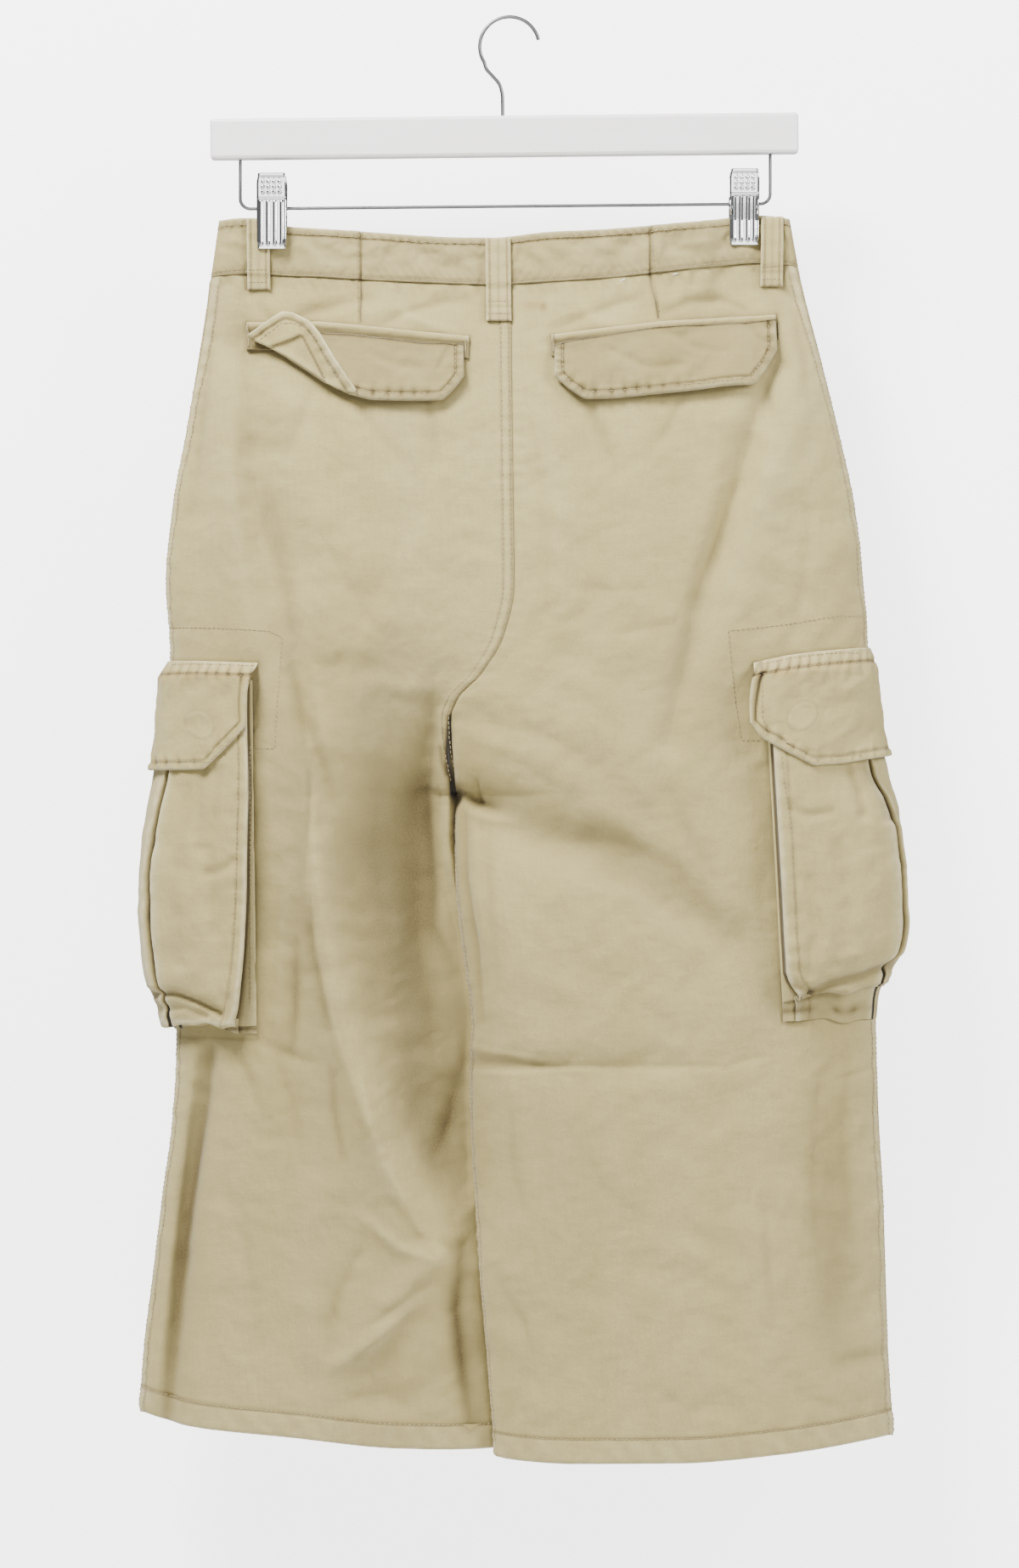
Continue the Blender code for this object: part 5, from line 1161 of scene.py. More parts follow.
    # Painted shade: darker in fold and crease hollows, under the waist seam, in the dart, along stitch rows
    # and hem ripples, beside sewn-on pieces, right of the long fold, in the crotch gap and in soft patches.
    painted_shade_and_stain = 0.56 * np.clip(folds / 15.0, 0.0, 1.0) * smooth((-425.0 - z) / 70.0)
    painted_shade_and_stain += 0.30 * np.clip((small - 0.8) / 3.6, 0.0, 1.0)
    painted_shade_and_stain += 0.55 * np.clip(finest / 3.0, 0.0, 1.2) ** 1.5
    painted_shade_and_stain += (0.3 + 0.25 * rope) * bump(from_top, 1.3)
    painted_shade_and_stain += 0.22 * rope * bump(from_top - 4.0, 3.0) + 0.85 * dart
    painted_shade_and_stain += 0.5 * bump(from_inner, 0.9) * above_crotch + 0.9 * bump(from_hem - HEM_HEIGHT, 1.0)
    painted_shade_and_stain += 0.10 * (0.5 + 0.5 * np.sin((x + 0.8 * z) / 2.3)) * hem
    for line in covered_edges(side, face):
        beside = near_path(line, x, z)[0]
        painted_shade_and_stain += 0.42 * bump(beside, 1.2) + 0.09 * bump(beside, 5.0)
    if face == BACK:
        wear_and_highlight += 0.3 * bump(from_outseam - 6.4, 3.0) + 0.10 * ridge * (0.5 + 0.5 * pucker(z, 0.3, 9.0))
        painted_shade_and_stain += 0.4 * two_bumps(from_inner, SEAM_ROWS, 0.8) * (has_ridge * above_crotch + inseam)
        painted_shade_and_stain += 0.4 * two_bumps(from_outseam, OUTSEAM_ROWS, 0.8)
    if face == BACK and side == LEFT:
        off, hand, reach = near_path(LONG_FOLD, x, z)
        across_fold = off * hand
        fade = np.sin(np.pi * np.clip(0.04 + 0.92 * reach, 0.0, 1.0)) ** 0.7
        painted_shade_and_stain += 0.50 * smooth(across_fold / 3.5) * np.exp(-np.maximum(across_fold, 0.0) / 48.0) * fade
        painted_shade_and_stain += 1.7 * beside_path(CROTCH_GAP, x, z, 2.4) + 0.7 * beside_path(LOBE_CURL, x, z, 1.4)
    for patch in SHADES:
        if (patch.face, patch.side) == (face, side):
            off = np.hypot((x - patch.x) / patch.wide, (z - patch.z) / patch.tall)
            painted_shade_and_stain += patch.depth * bump(off, 1.0)
    stain = 0.0 * x
    if face == BACK and side == RIGHT:
        stain = 0.9 * bump(np.hypot(x - 20.5, z + 175.0), 2.2)
        stain = stain + 0.55 * bump(np.hypot((x - 13.5) / 1.8, z + 174.5), 3.0)
    # The real stain darkens the cloth through the painted-shade layer, and tints it.
    layers = cloth_layers(wear_and_highlight, painted_shade_and_stain + 0.75 * stain, 0.4 * stain)
    layers = {key: np.concatenate([v[:1], v[:1], v, np.zeros((5, len(across)))]) for key, v in layers.items()}
    look = np.concatenate([out[:1], out[:1], out, np.repeat(-out[-1:], 5, axis=0)])
    return sheet_mesh(name + "_cloth", whole, look, TWILL, "twill", [name], layers, seed)


# ---------------------------------------------------------------- waistband and loops

BAND_ROWS = (2.2, 4.6)  # the stitches from the lower and the upper edge
LOOP_ROW = 2.3  # a loop's stitches from its sides


def rounded(distance, radius):
    """How far a rounded edge falls back, from 1 at the edge to 0 at its radius."""
    return 1.0 - np.sqrt(1.0 - (1.0 - np.minimum(distance / radius, 1.0)) ** 2)


def add_fine_band(name, face, start, end):
    """A stretch of the waistband: up the outside, over the top edge and down the inside."""
    shares = np.concatenate([[0.0, 0.012, 0.03, 0.06], np.linspace(0.1, 0.9, 17), [0.95, 0.975, 0.99, 1.0]])
    first = band_edge_x(LEFT, 0.5) if start is None else start + 0.1
    last = band_edge_x(RIGHT, 0.5) if end is None else end - 0.1
    count = int((last - first) / 0.9)
    t = np.linspace(0.0, 1.0, count + 1)
    if start is None:
        t = 1.0 - np.cos(0.5 * np.pi * t)
    elif end is None:
        t = np.sin(0.5 * np.pi * t)
    grid = np.zeros((len(shares), len(t), 3))
    for i, share in enumerate(1.0 - shares):
        x0 = band_edge_x(LEFT, share) if start is None else first
        x1 = band_edge_x(RIGHT, share) if end is None else last
        x = x0 + (x1 - x0) * t
        z = WAIST_TOP(x) + (WAIST_SEAM(x) + SEAM_GAP - WAIST_TOP(x)) * share
        grid[i] = band_point(face, x, z)
    out = grid_normals(grid, np.array([0.0, face, 0.0]))
    from_low = arc(grid, 0)
    from_top = from_low[-1:] - from_low
    along = arc(grid, 1)
    x = grid[..., 0]
    ends = np.ones_like(x)
    if start is None:
        ends = ends * smooth(along / 6.0)
    if end is None:
        ends = ends * smooth((along[:, -1:] - along) / 6.0)
    lift = 0.35 * pucker(x, 0.9, 13.0) * bump(from_low - 5.0, 5.0)
    lift += 0.3 * pucker(x, 2.1, 11.0) * bump(from_top - 6.0, 6.0)
    lift += 0.6 * pucker(x + 0.9 * from_low, 4.0, 24.0) * bump(from_low - 17.0, 9.0)
    lift += 0.30 * pucker(x + 0.5 * from_top, 2.1, 5.6) * bump(from_top - 4.0, 3.0)
    lift += 0.26 * pucker(x - 0.6 * from_low, 0.4, 6.2) * bump(from_low - 4.0, 3.0)
    lift += 1.5 * rumple(2.3 * x, 2.3 * grid[..., 2], 1.0 + face) * bump(from_low - 17.0, 13.0)
    lift -= 0.4 * bump(from_top - 4.5, 0.9) + 0.35 * bump(from_low - 2.2, 0.9)
    lift -= 1.3 * rounded(from_top, 1.4)
    lift -= 0.9 * rounded(from_low, 1.0)
    for side in (LEFT, RIGHT):
        if face == BACK:
            off = (x - DART_X[side]) * side
            lift += 0.5 * smooth((off + 0.4) / 0.6) * smooth((7.0 - off) / 1.2) - 0.4 * bump(off, 0.7)
    if face == FRONT:
        off = FRONT_BAND_END - x
        lift += 0.6 * smooth((off + 0.2) / 0.8) * smooth((30.0 - off) / 6.0)
    grid = grid + out * (lift * ends)[..., None]
    flat = out[-1] * np.array([0.0, 1.0, 0.0])
    flat = flat / np.maximum(np.abs(flat[:, 1:2]), 0.2)
    inside = []
    for back, fall in ((0.5, -0.25), (1.1, 0.25), (1.5, 1.2), (1.6, 5.0), (1.6, 18.0), (1.6, 32.0)):
        room = smooth(np.abs(grid[-1, :, 1:2]) / 1.7)
        inside.append(grid[-1] - flat * back * room - np.array([0.0, 0.0, fall]))
    whole = np.concatenate([grid, np.array(inside)])
    more = len(inside)
    rope = 0.5 + 0.5 * pucker(x + 0.8 * from_low, 2.1, 5.5)
    wear_and_highlight = 0.6 * bump(from_top, 1.1) + 0.3 * bump(from_low, 0.8) + 0.1
    wear_and_highlight += 0.2 * bump(from_top - 2.5, 1.5) * rope
    # Painted shade along the stitch rows, the seam, the puckers and the darts; the whole band is also darker.
    painted_shade_and_stain = 0.26 + 0.8 * bump(from_top - BAND_ROWS[1], 0.8) + 0.8 * bump(from_low - BAND_ROWS[0], 0.7)
    painted_shade_and_stain += 0.25 * rope * bump(from_low - 5.0, 3.5)
    painted_shade_and_stain += 0.35 * (1.0 - rope) * bump(from_top - 3.0, 2.5) + 0.4 * bump(from_low, 0.8)
    if face == BACK:
        for side in (LEFT, RIGHT):
            off = (x - DART_X[side]) * side
            painted_shade_and_stain += 0.8 * bump(off, 0.8) + 0.3 * bump(off - 1.8, 0.7)
    layers = cloth_layers(wear_and_highlight, painted_shade_and_stain)
    layers = {key: np.concatenate([v, np.full((more, len(t)), 0.1)]) for key, v in layers.items()}
    look = np.concatenate([out, np.repeat(-out[-1:], more, axis=0)])
    piece = sheet_mesh(name + "_cloth", whole, look, TWILL, "twill", [name], layers, 3.0 + 0.1 * first)
    SURFACES[name] = Surface(grid, out, t, shares)
    return piece


def cloth_slab(node, outer, inner, layers, seed):
    return slab(node + "_cloth", outer, inner, TWILL, "twill", [node], layers, seed)


def pillow(distance, radius=1.3, least=0.12):
    """Share of full thickness at a distance from a rounded edge."""
    return least + (1.0 - least) * np.sqrt(1.0 - (1.0 - np.clip(distance / radius, 0.0, 1.0)) ** 2)


def add_fine_loop(row):
    """A folded strip with two rows of stitches, its ends turned under and tacked."""
    side = LEFT if row.x < 0 else RIGHT
    above, below = row.above + 0.3, -row.below
    stops = crowded(below, above, 1.5)[::-1][:, None]
    over = crowded(-row.width / 2, row.width / 2, 1.0, 0.25, 1.4)[None, :]
    lean = LOOP_LEAN * side * stops
    x = row.x + over + lean
    z = float(WAIST_SEAM(row.x)) + stops + 0.0 * x
    on_band = band_point(row.face, x, np.maximum(z, WAIST_SEAM(x)))[..., 1] * row.face
    on_panel = panel_point(side, row.face, *shares_at(side, row.face, x, z))[..., 1] * row.face
    low = smooth((WAIST_SEAM(x) - z + 1.5) / 4.0)
    base = on_band * (1.0 - low) + np.maximum(on_panel, on_band * (1.0 - 0.35 * low)) * low
    share = (stops - below) / (above - below)
    lift = LAID_GAP + LOOP_ARCH * np.sin(np.pi * share) ** 0.5 + 0.0 * x
    inner = np.stack([x, (base + lift) * row.face, z], axis=-1)
    from_side = row.width / 2 - np.abs(over)
    from_end = np.minimum(stops - below, above - stops)
    thick = LOOP_WALL * pillow(from_side, 1.1) * pillow(from_end, 1.0)
    thick = thick - 0.35 * bump(from_side - LOOP_ROW, 0.7) + 0.35 * smooth((8.0 - (stops - below)) / 1.2)
    thick = thick + 0.18 * pucker(z, row.x, 9.0) + 0.25 * bump(from_side - 0.9, 0.8)
    thick = np.maximum(thick, 0.15)
    outer = inner + np.array([0.0, float(row.face), 0.0]) * thick[..., None]
    wear_and_highlight = 0.65 * bump(from_side, 0.9) + 0.4 * bump(from_end, 1.2) + 0.12
    # Painted shade along the stitch rows, the centre fold and the turned-under end.
    painted_shade_and_stain = 0.65 * bump(from_side - LOOP_ROW, 0.7) + 0.4 * bump(over, 0.7)
    painted_shade_and_stain = painted_shade_and_stain + 0.5 * bump(stops - below - 8.6, 0.7)
    layers = cloth_layers(wear_and_highlight, painted_shade_and_stain)
    piece = slab(row.name + "_strip", outer, inner, TWILL, "twill", [row.name], layers, row.x)
    out = np.broadcast_to([0.0, row.face, 0.0], outer.shape)
    SURFACES[row.name] = Surface(outer, out, over[0], -stops[:, 0])
    return piece


# ---------------------------------------------------------------- pieces laid on a panel

def smooth_normal(side, face, across, down):
    """The outward normal of a panel's smooth surface."""
    a0, a1 = np.clip(across - NORMAL_STEP, 0.0, 1.0), np.clip(across + NORMAL_STEP, 0.0, 1.0)
    d0, d1 = np.clip(down - NORMAL_STEP, 0.0, 1.0), np.clip(down + NORMAL_STEP, 0.0, 1.0)
    along = panel_point(side, face, a1, down) - panel_point(side, face, a0, down)
    below = panel_point(side, face, across, d1) - panel_point(side, face, across, d0)
    out = np.cross(along, below) * side * face
    out[..., 1] = np.where(across >= 1.0, 0.0, out[..., 1])
    return out / np.linalg.norm(out, axis=-1, keepdims=True)


def soften(values, rounds):
    """Rounds the corners of an outline given at even steps."""
    for _ in range(rounds):
        middle = 0.25 * values[:-2] + 0.5 * values[1:-1] + 0.25 * values[2:]
        values = np.concatenate([values[:1], middle, values[-1:]])
    return values


def edge_z(rows, which, x):
    """Height of an upper or lower edge, straight between the table's places."""
    rows = sorted(rows, key=lambda row: row.x)
    return np.interp(x, [row.x for row in rows], [getattr(row, which) for row in rows])


def laid_grid(side, face, rows, cell, rounds=4):
    """X, Z, share down, shares on the panel and distances from both edges, for a piece laid on a panel."""
    ends = sorted((rows[0].x, rows[-1].x))
    xs = crowded(ends[0], ends[1], cell, 0.3, 2.4)
    even = np.linspace(ends[0], ends[1], 160)
    top = soften(edge_z(rows, "top", even), rounds)
    low = soften(edge_z(rows, "bottom", even), rounds)
    top, low = np.interp(xs, even, top), np.interp(xs, even, low)
    tall = max(float((top - low).max()), 4.0)
    t = crowded(0.0, tall, cell, 0.3, 2.4)[:, None] / tall
    z = top + (low - top) * t
    x = xs[None, :] + 0.0 * t
    across, down = shares_at(side, face, x, z)
    return x, z, t, across, down, top - z, z - low


def add_fine_welt(name, side):
    """A back pocket's welt: a rolled upper edge over a flat strip."""
    x, _, _, across, down, from_top, _ = laid_grid(side, BACK, WELT_ROWS[side], 1.6, 2)
    place = panel_point(side, BACK, across, down)
    out = smooth_normal(side, BACK, across, down)
    from_end = np.minimum(x - x[:, :1], x[:, -1:] - x)
    inner = place + out * (LAID_GAP - 0.35)
    thick = (TRIM_WALL + 0.25) * pillow(np.minimum(from_top, from_end), 1.1)
    rope = 1.5 + 0.35 * pucker(x, 0.8 * side, 12.0) + 0.2 * pucker(x, 2.3, 5.5)
    thick += rope * bump(from_top - 2.4, 1.9)
    thick = np.maximum(thick, 0.2)
    outer = inner + out * thick[..., None]
    wear_and_highlight = 0.6 * bump(from_top, 1.1) + 0.5 * bump(from_end, 1.1)
    # Painted shade along the top edge and over the strip below the rolled edge.
    layers = cloth_layers(wear_and_highlight, 0.12 + 0.3 * bump(from_top, 0.7) + 0.8 * smooth((from_top - 3.2) / 1.5))
    return cloth_slab(f"back_welt_{name}", outer, inner, layers, side * 2.0)


FLAP_EDGE = 5.0  # a flap's stitches from its free edge
FLAT_RISE = 1.6
# Creases of the back flaps: depth, width and path.
FLAP_CREASES = {
    LEFT: ((0.9, 2.8, ((-84, -205), (-70, -212), (-52, -214))),
           (1.3, 1.8, ((-34, -200), (-38, -206), (-42, -214)))),
    RIGHT: ((0.9, 2.6, ((62, -204), (84, -214), (104, -212))),
            (0.9, 2.8, ((96, -192), (112, -202), (128, -204))),
            (1.2, 2.4, ((142, -186), (150, -198), (150, -214)))),
}
TURNED_EDGE_LENGTH = 95.0
# Painted shadow in the valley beside the turned-up corner.
TURNED_VALLEY = ((-141, -201.5), (-123, -196), (-111, -221))
TURNED_BENDS = (  # height and path
    (1.5, ((-123, -196), (-117, -208), (-111, -221))),
    (-0.9, ((-141, -201.5), (-132, -199), (-123, -196))),
)


def flap_relief(away, along, seed):
    """Bead of turned-in cloth along a flap's edge, the groove of its stitches and small puckers."""
    bead = 0.55 * smooth((FLAP_EDGE - away) / 1.3) * smooth(away / 0.8)
    groove = -0.45 * bump(away - FLAP_EDGE, 0.9)
    gather = 0.9 * pucker(along, seed, 8.5) * bump(away - 4.5, 4.5)
    gather = gather + 0.4 * pucker(along, 3.0 * seed, 4.4) * bump(away - 3.0, 2.6)
    return bead + groove + gather


def add_fine_flap(name, side):
    """A back pocket's flap, resting on its welt."""
    rows = FLAP_ROWS[side]
    x, z, t, across, down, from_top, _ = laid_grid(side, BACK, rows, 1.0, 5)
    low = [(row.x, row.bottom) for row in reversed(rows)]
    free = [(rows[-1].x, rows[-1].top), *low, (rows[0].x, rows[0].top)]
    away, _, share = near_path(free, x, z)
    along = share * sum(math.dist(a, b) for a, b in zip(free, free[1:]))
    place = panel_point(side, BACK, across, down)
    out = smooth_normal(side, BACK, across, down)
    lift = ON_WELT - 0.3 + FLAT_RISE * np.sin(t * math.pi / 2) ** FLAP_CURL
    lift = lift + 0.8 * np.sin(x / 17.0 + side) * t + 0.5 * np.sin(x / 7.1 + 2.0 * side) * t**2
    lift = np.maximum(lift, ON_WELT - 0.4) - 0.9 * bump(from_top, 2.2)
    inner = place + out * lift[..., None]
    thick = POCKET_WALL * pillow(away, 1.3) + flap_relief(away, along, 1.3 * side)
    thick *= smooth((from_top + 0.8) / 1.6)
    thick += 0.8 * rumple(1.6 * x, 1.6 * z, 2.0 * side) * smooth((away - 5.0) / 4.0)
    thick -= sum(depth * beside_path(path, x, z, width) for depth, width, path in FLAP_CREASES[side])
    thick = np.maximum(thick, 0.2)
    outer = inner + out * thick[..., None]
    wear_and_highlight = 0.8 * bump(away, 1.1) + 0.12 * smooth((FLAP_EDGE - away) / 2.0)
    # Painted shade: the flap darker overall, and along its stitches, its gathers and its upper edge under the
    # welt.
    painted_shade_and_stain = 0.43 + 0.7 * bump(away - FLAP_EDGE, 0.9)
    painted_shade_and_stain = painted_shade_and_stain + 0.7 * gathered(along, 1.3 * side) ** 2 * bump(away - 4.0, 3.0)
    painted_shade_and_stain = painted_shade_and_stain + 0.9 * bump(from_top, 1.3) + 0.3 * bump(from_top, 4.0)
    layers = cloth_layers(wear_and_highlight * smooth(from_top / 2.0), painted_shade_and_stain)
    piece = cloth_slab(f"back_flap_{name}", outer, inner, layers, side * 4.0)
    if side == LEFT:
        add_turned_corner()
    return piece


def add_turned_corner():
    """The left flap's outer corner, turned up so that its underside shows."""
    x, z, t, across, down, _, _ = laid_grid(LEFT, BACK, TURNED_ROWS, 1.2, 3)
    away, _, share = near_path([(row.x, row.top) for row in TURNED_ROWS], x, z)
    along = share * TURNED_EDGE_LENGTH
    fold = near_path([(row.x, row.bottom) for row in TURNED_ROWS], x, z)[0]
    place = panel_point(LEFT, BACK, across, down)
    out = smooth_normal(LEFT, BACK, across, down)
    lift = ON_WELT + FLAT_RISE + 0.2 + TURNED_RISE * np.cos(t * math.pi / 2) + 1.2 * bump(fold, 3.0)
    inner = place + out * lift[..., None]
    thick = POCKET_WALL * pillow(away, 1.4) * pillow(fold, 1.2, 0.4) + flap_relief(away, along, 2.2)
    for rise, path in TURNED_BENDS:
        off, hand, _ = near_path(path, x, z)
        thick += rise * hand * smooth(off / 0.9) * bump(off, 5.5)
    thick = np.maximum(thick, 0.2)
    outer = inner + out * thick[..., None]
    wear_and_highlight = 0.9 * bump(away, 1.4) + 0.2 * smooth((FLAP_EDGE - away) / 2.0) + 0.3 * bump(fold, 1.4)
    # Painted shade along the stitches and in the valley, and a little darker away from the edge.
    painted_shade_and_stain = 0.12 + 0.8 * bump(away - FLAP_EDGE, 0.9) + beside_path(TURNED_VALLEY, x, z, 0.9)
    painted_shade_and_stain = painted_shade_and_stain + 0.12 * smooth((away - 7.0) / 3.0)
    layers = cloth_layers(wear_and_highlight, painted_shade_and_stain)
    return slab("turned_corner_cloth", outer, inner, TWILL, "twill", ["back_flap_left"], layers, 9.0)


# ---------------------------------------------------------------- cargo pockets

BagCrease = namedtuple("BagCrease", "depth width path")
BAG_CREASES = {
    LEFT: table(
        BagCrease,
        (2.4, 2.0, ((-205, -590), (-192, -588), (-180, -594), (-170, -600))),
        (1.2, 2.4, ((-200, -598), (-188, -597), (-178, -602))),
        (0.9, 5.0, ((-186, -466), (-190, -520), (-188, -570))),
        (0.8, 4.0, ((-170, -456), (-174, -500), (-172, -552))),
        (1.0, 4.0, ((-178, -454), (-180, -474), (-179, -500))),
        (1.0, 3.0, ((-162, -508), (-168, -514), (-176, -516))),
    ),
    RIGHT: table(
        BagCrease,
        (2.8, 3.2, ((172, -592), (188, -583), (206, -578), (226, -570), (236, -568))),
        (1.6, 2.6, ((168, -584), (182, -588), (196, -590))),
        (1.6, 3.0, ((208, -452), (213, -466), (216, -484))),
        (1.2, 2.6, ((198, -454), (203, -468), (205, -482))),
        (0.9, 3.0, ((166, -478), (176, -482), (188, -480))),
        (0.9, 5.0, ((192, -500), (196, -540), (190, -570))),
        (0.8, 4.0, ((176, -520), (180, -550), (176, -576))),
    ),
}

# Cross-section of the bellows between its sewn edge (0) and the pocket's raised edge (1): place and height.
GussetRow = namedtuple("GussetRow", "place height")
GUSSET_ROWS = table(
    GussetRow,
    (0.0, 0.05), (0.25, 0.11), (0.7, 0.12), (1.2, 0.17), (1.75, 0.24), (2.1, 0.36), (2.15, 0.47),
    (1.7, 0.58), (1.25, 0.68), (1.0, 0.78), (0.92, 0.88), (0.98, 0.96), (1.12, 1.0),
)
FootRow = namedtuple("FootRow", "below height")
FOOT_ROWS = table(
    FootRow,
    (0.0, 1.0), (1.2, 0.97), (2.0, 0.88), (2.1, 0.76), (1.2, 0.64), (-1.2, 0.52), (-2.6, 0.42),
    (-2.0, 0.30), (1.0, 0.20), (5.0, 0.14), (8.0, 0.11), (10.5, 0.05),
)
RAISED_BACK = {LEFT: 2.4, RIGHT: 5.2}  # the bellows leans out, so its edge starts this much nearer
# Where the centre pleat opens on each bag, as a share across the leg, and the pleat's own cross-section.
PleatRow = namedtuple("PleatRow", "z left right")
PLEAT_ROWS = table(
    PleatRow,
    (-401.0, 0.945, 0.952), (-455.0, 0.954, 0.968), (-473.0, 0.961, 0.984), (-495.0, 0.968, 0.991),
    (-528.0, 0.975, 0.992), (-566.0, 0.974, 0.990), (-592.0, 0.970, 0.984),
)
PLEAT_PROFILE = [
    (-0.0300, 0.0), (-0.0180, 0.15), (-0.0090, 0.6), (-0.0030, 1.0), (-0.0005, 0.5), (0.0005, -1.5),
    (0.0020, -4.5), (0.0040, -7.0), (0.0060, -7.6), (0.0080, -6.5), (0.0095, -3.5), (0.0105, -0.6),
    (0.0115, 0.9),
]
SKIRT_HIDDEN = {LEFT: 0.95, RIGHT: 0.0}
PLEAT_NARROW = {LEFT: 1.0, RIGHT: 0.6}
PLEAT_LIP_BACK = {LEFT: 0.0, RIGHT: -1.6}
# Share of what is left to the outseam, and height.
PLEAT_LIP = [(0.2, 1.0), (0.45, 0.5), (0.7, 0.2), (1.0, 0.0)]


def bag_lift(side, face, across, z):
    """How far a cargo bag's outer surface stands off the leg."""
    rows = BAG_ROWS[side]
    flat = through(rows, "z", "back" if face == BACK else "front")(z)
    beside = through(rows, "z", "side")(z)
    return flat + (beside - flat) * smooth((across - BAG_SIDE_START) / (1.0 - BAG_SIDE_START))


def fine_bag_half(side, face):
    """A bag's outer points on one face, sewn edge first, with its lift and its pleat's depth."""
    rows = BAG_ROWS[side]
    mouth, foot = rows[0].z, rows[-1].z
    body_z = mouth - crowded(0.0, mouth - foot, 1.8, 0.4, 2.4)
    foot_z = np.array([foot - row.below for row in FOOT_ROWS[1:]])
    z = np.concatenate([body_z, foot_z])[:, None]
    row_share = np.concatenate([np.ones(len(body_z)), [row.height for row in FOOT_ROWS[1:]]])[:, None]
    reach_z = np.maximum(z, foot)
    raised_x = through(rows, "z", "inner")(reach_z)
    base_x = BAG_BASE_X[side] + side * BAG_BASE_SLANT[side] * (mouth - z)
    edge = shares_at(side, BACK, base_x, z)[0]
    raised_x = raised_x - side * RAISED_BACK[side] * smooth((-415.0 - reach_z) / 60.0)
    raised = np.maximum(shares_at(side, BACK, raised_x, z)[0], edge + 0.25 * BAG_LEAST_STEP)
    gusset = edge + (raised - edge) * np.array([row.place for row in GUSSET_ROWS])
    gusset_share = np.array([row.height for row in GUSSET_ROWS]) + 0.0 * z
    start = gusset[:, -1:]
    if face == BACK:
        near = through(PLEAT_ROWS, "z", "left" if side == LEFT else "right")(reach_z)
        offsets = np.array([a for a, _ in PLEAT_PROFILE])
        stops = near + np.where(offsets > 0.0, PLEAT_NARROW[side] * offsets, offsets)[None, :]
        after = stops[:, -1:] + (1.0 - stops[:, -1:]) * np.array([a for a, _ in PLEAT_LIP])[None, :]
        heights = [h for _, h in PLEAT_PROFILE] + [h + PLEAT_LIP_BACK[side] * (1.0 - a) for a, h in PLEAT_LIP]
        face_count = 60
        face_part = start + (stops[:, :1] - start) * (np.arange(1, face_count) / face_count)[None, :]
        tail = np.concatenate([stops, after], axis=1)
        pleat = np.concatenate([np.zeros(face_count - 1), heights])[None, :]
    else:
        face_count = 40
        t = np.sin(0.5 * np.pi * np.arange(1, face_count + 1) / face_count)
        face_part = start + (1.0 - start) * t[None, :]
        tail = np.zeros((len(z), 0))
        pleat = np.zeros((1, face_count))
    across = np.concatenate([gusset, face_part, tail], axis=1)
    share = np.concatenate([gusset_share, np.ones((len(z), face_part.shape[1] + tail.shape[1]))], axis=1)
    pleat = np.concatenate([np.zeros((1, gusset.shape[1])), pleat], axis=1)
    near_outseam = smooth((across - BAG_SIDE_START) / (1.0 - BAG_SIDE_START))
    towards = np.clip((across - 0.70) / 0.27, 0.0, 1.0) if side == RIGHT else near_outseam
    tilt = 1.5 * BAG_BOTTOM_TILT[side] * smooth((rows[-4].z - z) / (rows[-4].z - foot)) * towards
    skirt = np.maximum(foot - 2.6 - z, 0.0) * SKIRT_HIDDEN[side]
    skirt = skirt * (0.5 + 0.5 * smooth((across - start) / 0.03))
    wavy = 1.4 * np.sin(across * 31.0 + side) + 0.8 * np.sin(across * 74.0)
    wavy = wavy * smooth((foot + 14.0 - z) / 14.0)
    height = z + tilt * np.clip(row_share * 1.3, 0, 1) + skirt + wavy * smooth((across - start) / 0.03)
    lift = bag_lift(side, face, across, reach_z)
    opens = smooth((mouth - PLEAT_START - reach_z) / PLEAT_OPENS)
    closes = smooth((reach_z - foot - 2.0) / 16.0) * 0.75 + 0.25
    lift = lift + pleat * opens * closes
    down = down_at(side, face, across, height)
    place = panel_point(side, face, across, down)
    out = smooth_normal(side, face, across, down)
    x, zz = place[..., 0], place[..., 2]
    folded = 0.0 * x
    if face == BACK:
        for crease in BAG_CREASES[side]:
            fold = crease.depth * beside_path(crease.path, x, zz, crease.width) * (share > 0.99)
            lift = lift - 1.5 * fold
            folded = folded + fold**2
    on_face = (share > 0.95) * 1.0
    lift = lift + 0.8 * rumple(1.7 * x, 1.4 * zz, 3.0 * side + face) * on_face
    from_edge = (across - start) * 200.0
    lift = lift + on_face * (0.35 * smooth((5.5 - from_edge) / 1.4) - 0.3 * bump(from_edge - 5.6, 0.9))
    lift = lift + 0.3 * on_face * pucker(zz, side, 10.0) * bump(from_edge - 4.0, 5.0)
    lift = np.maximum(lift * share * row_share, 0.35 + 0.0 * z)
    below = zz - foot
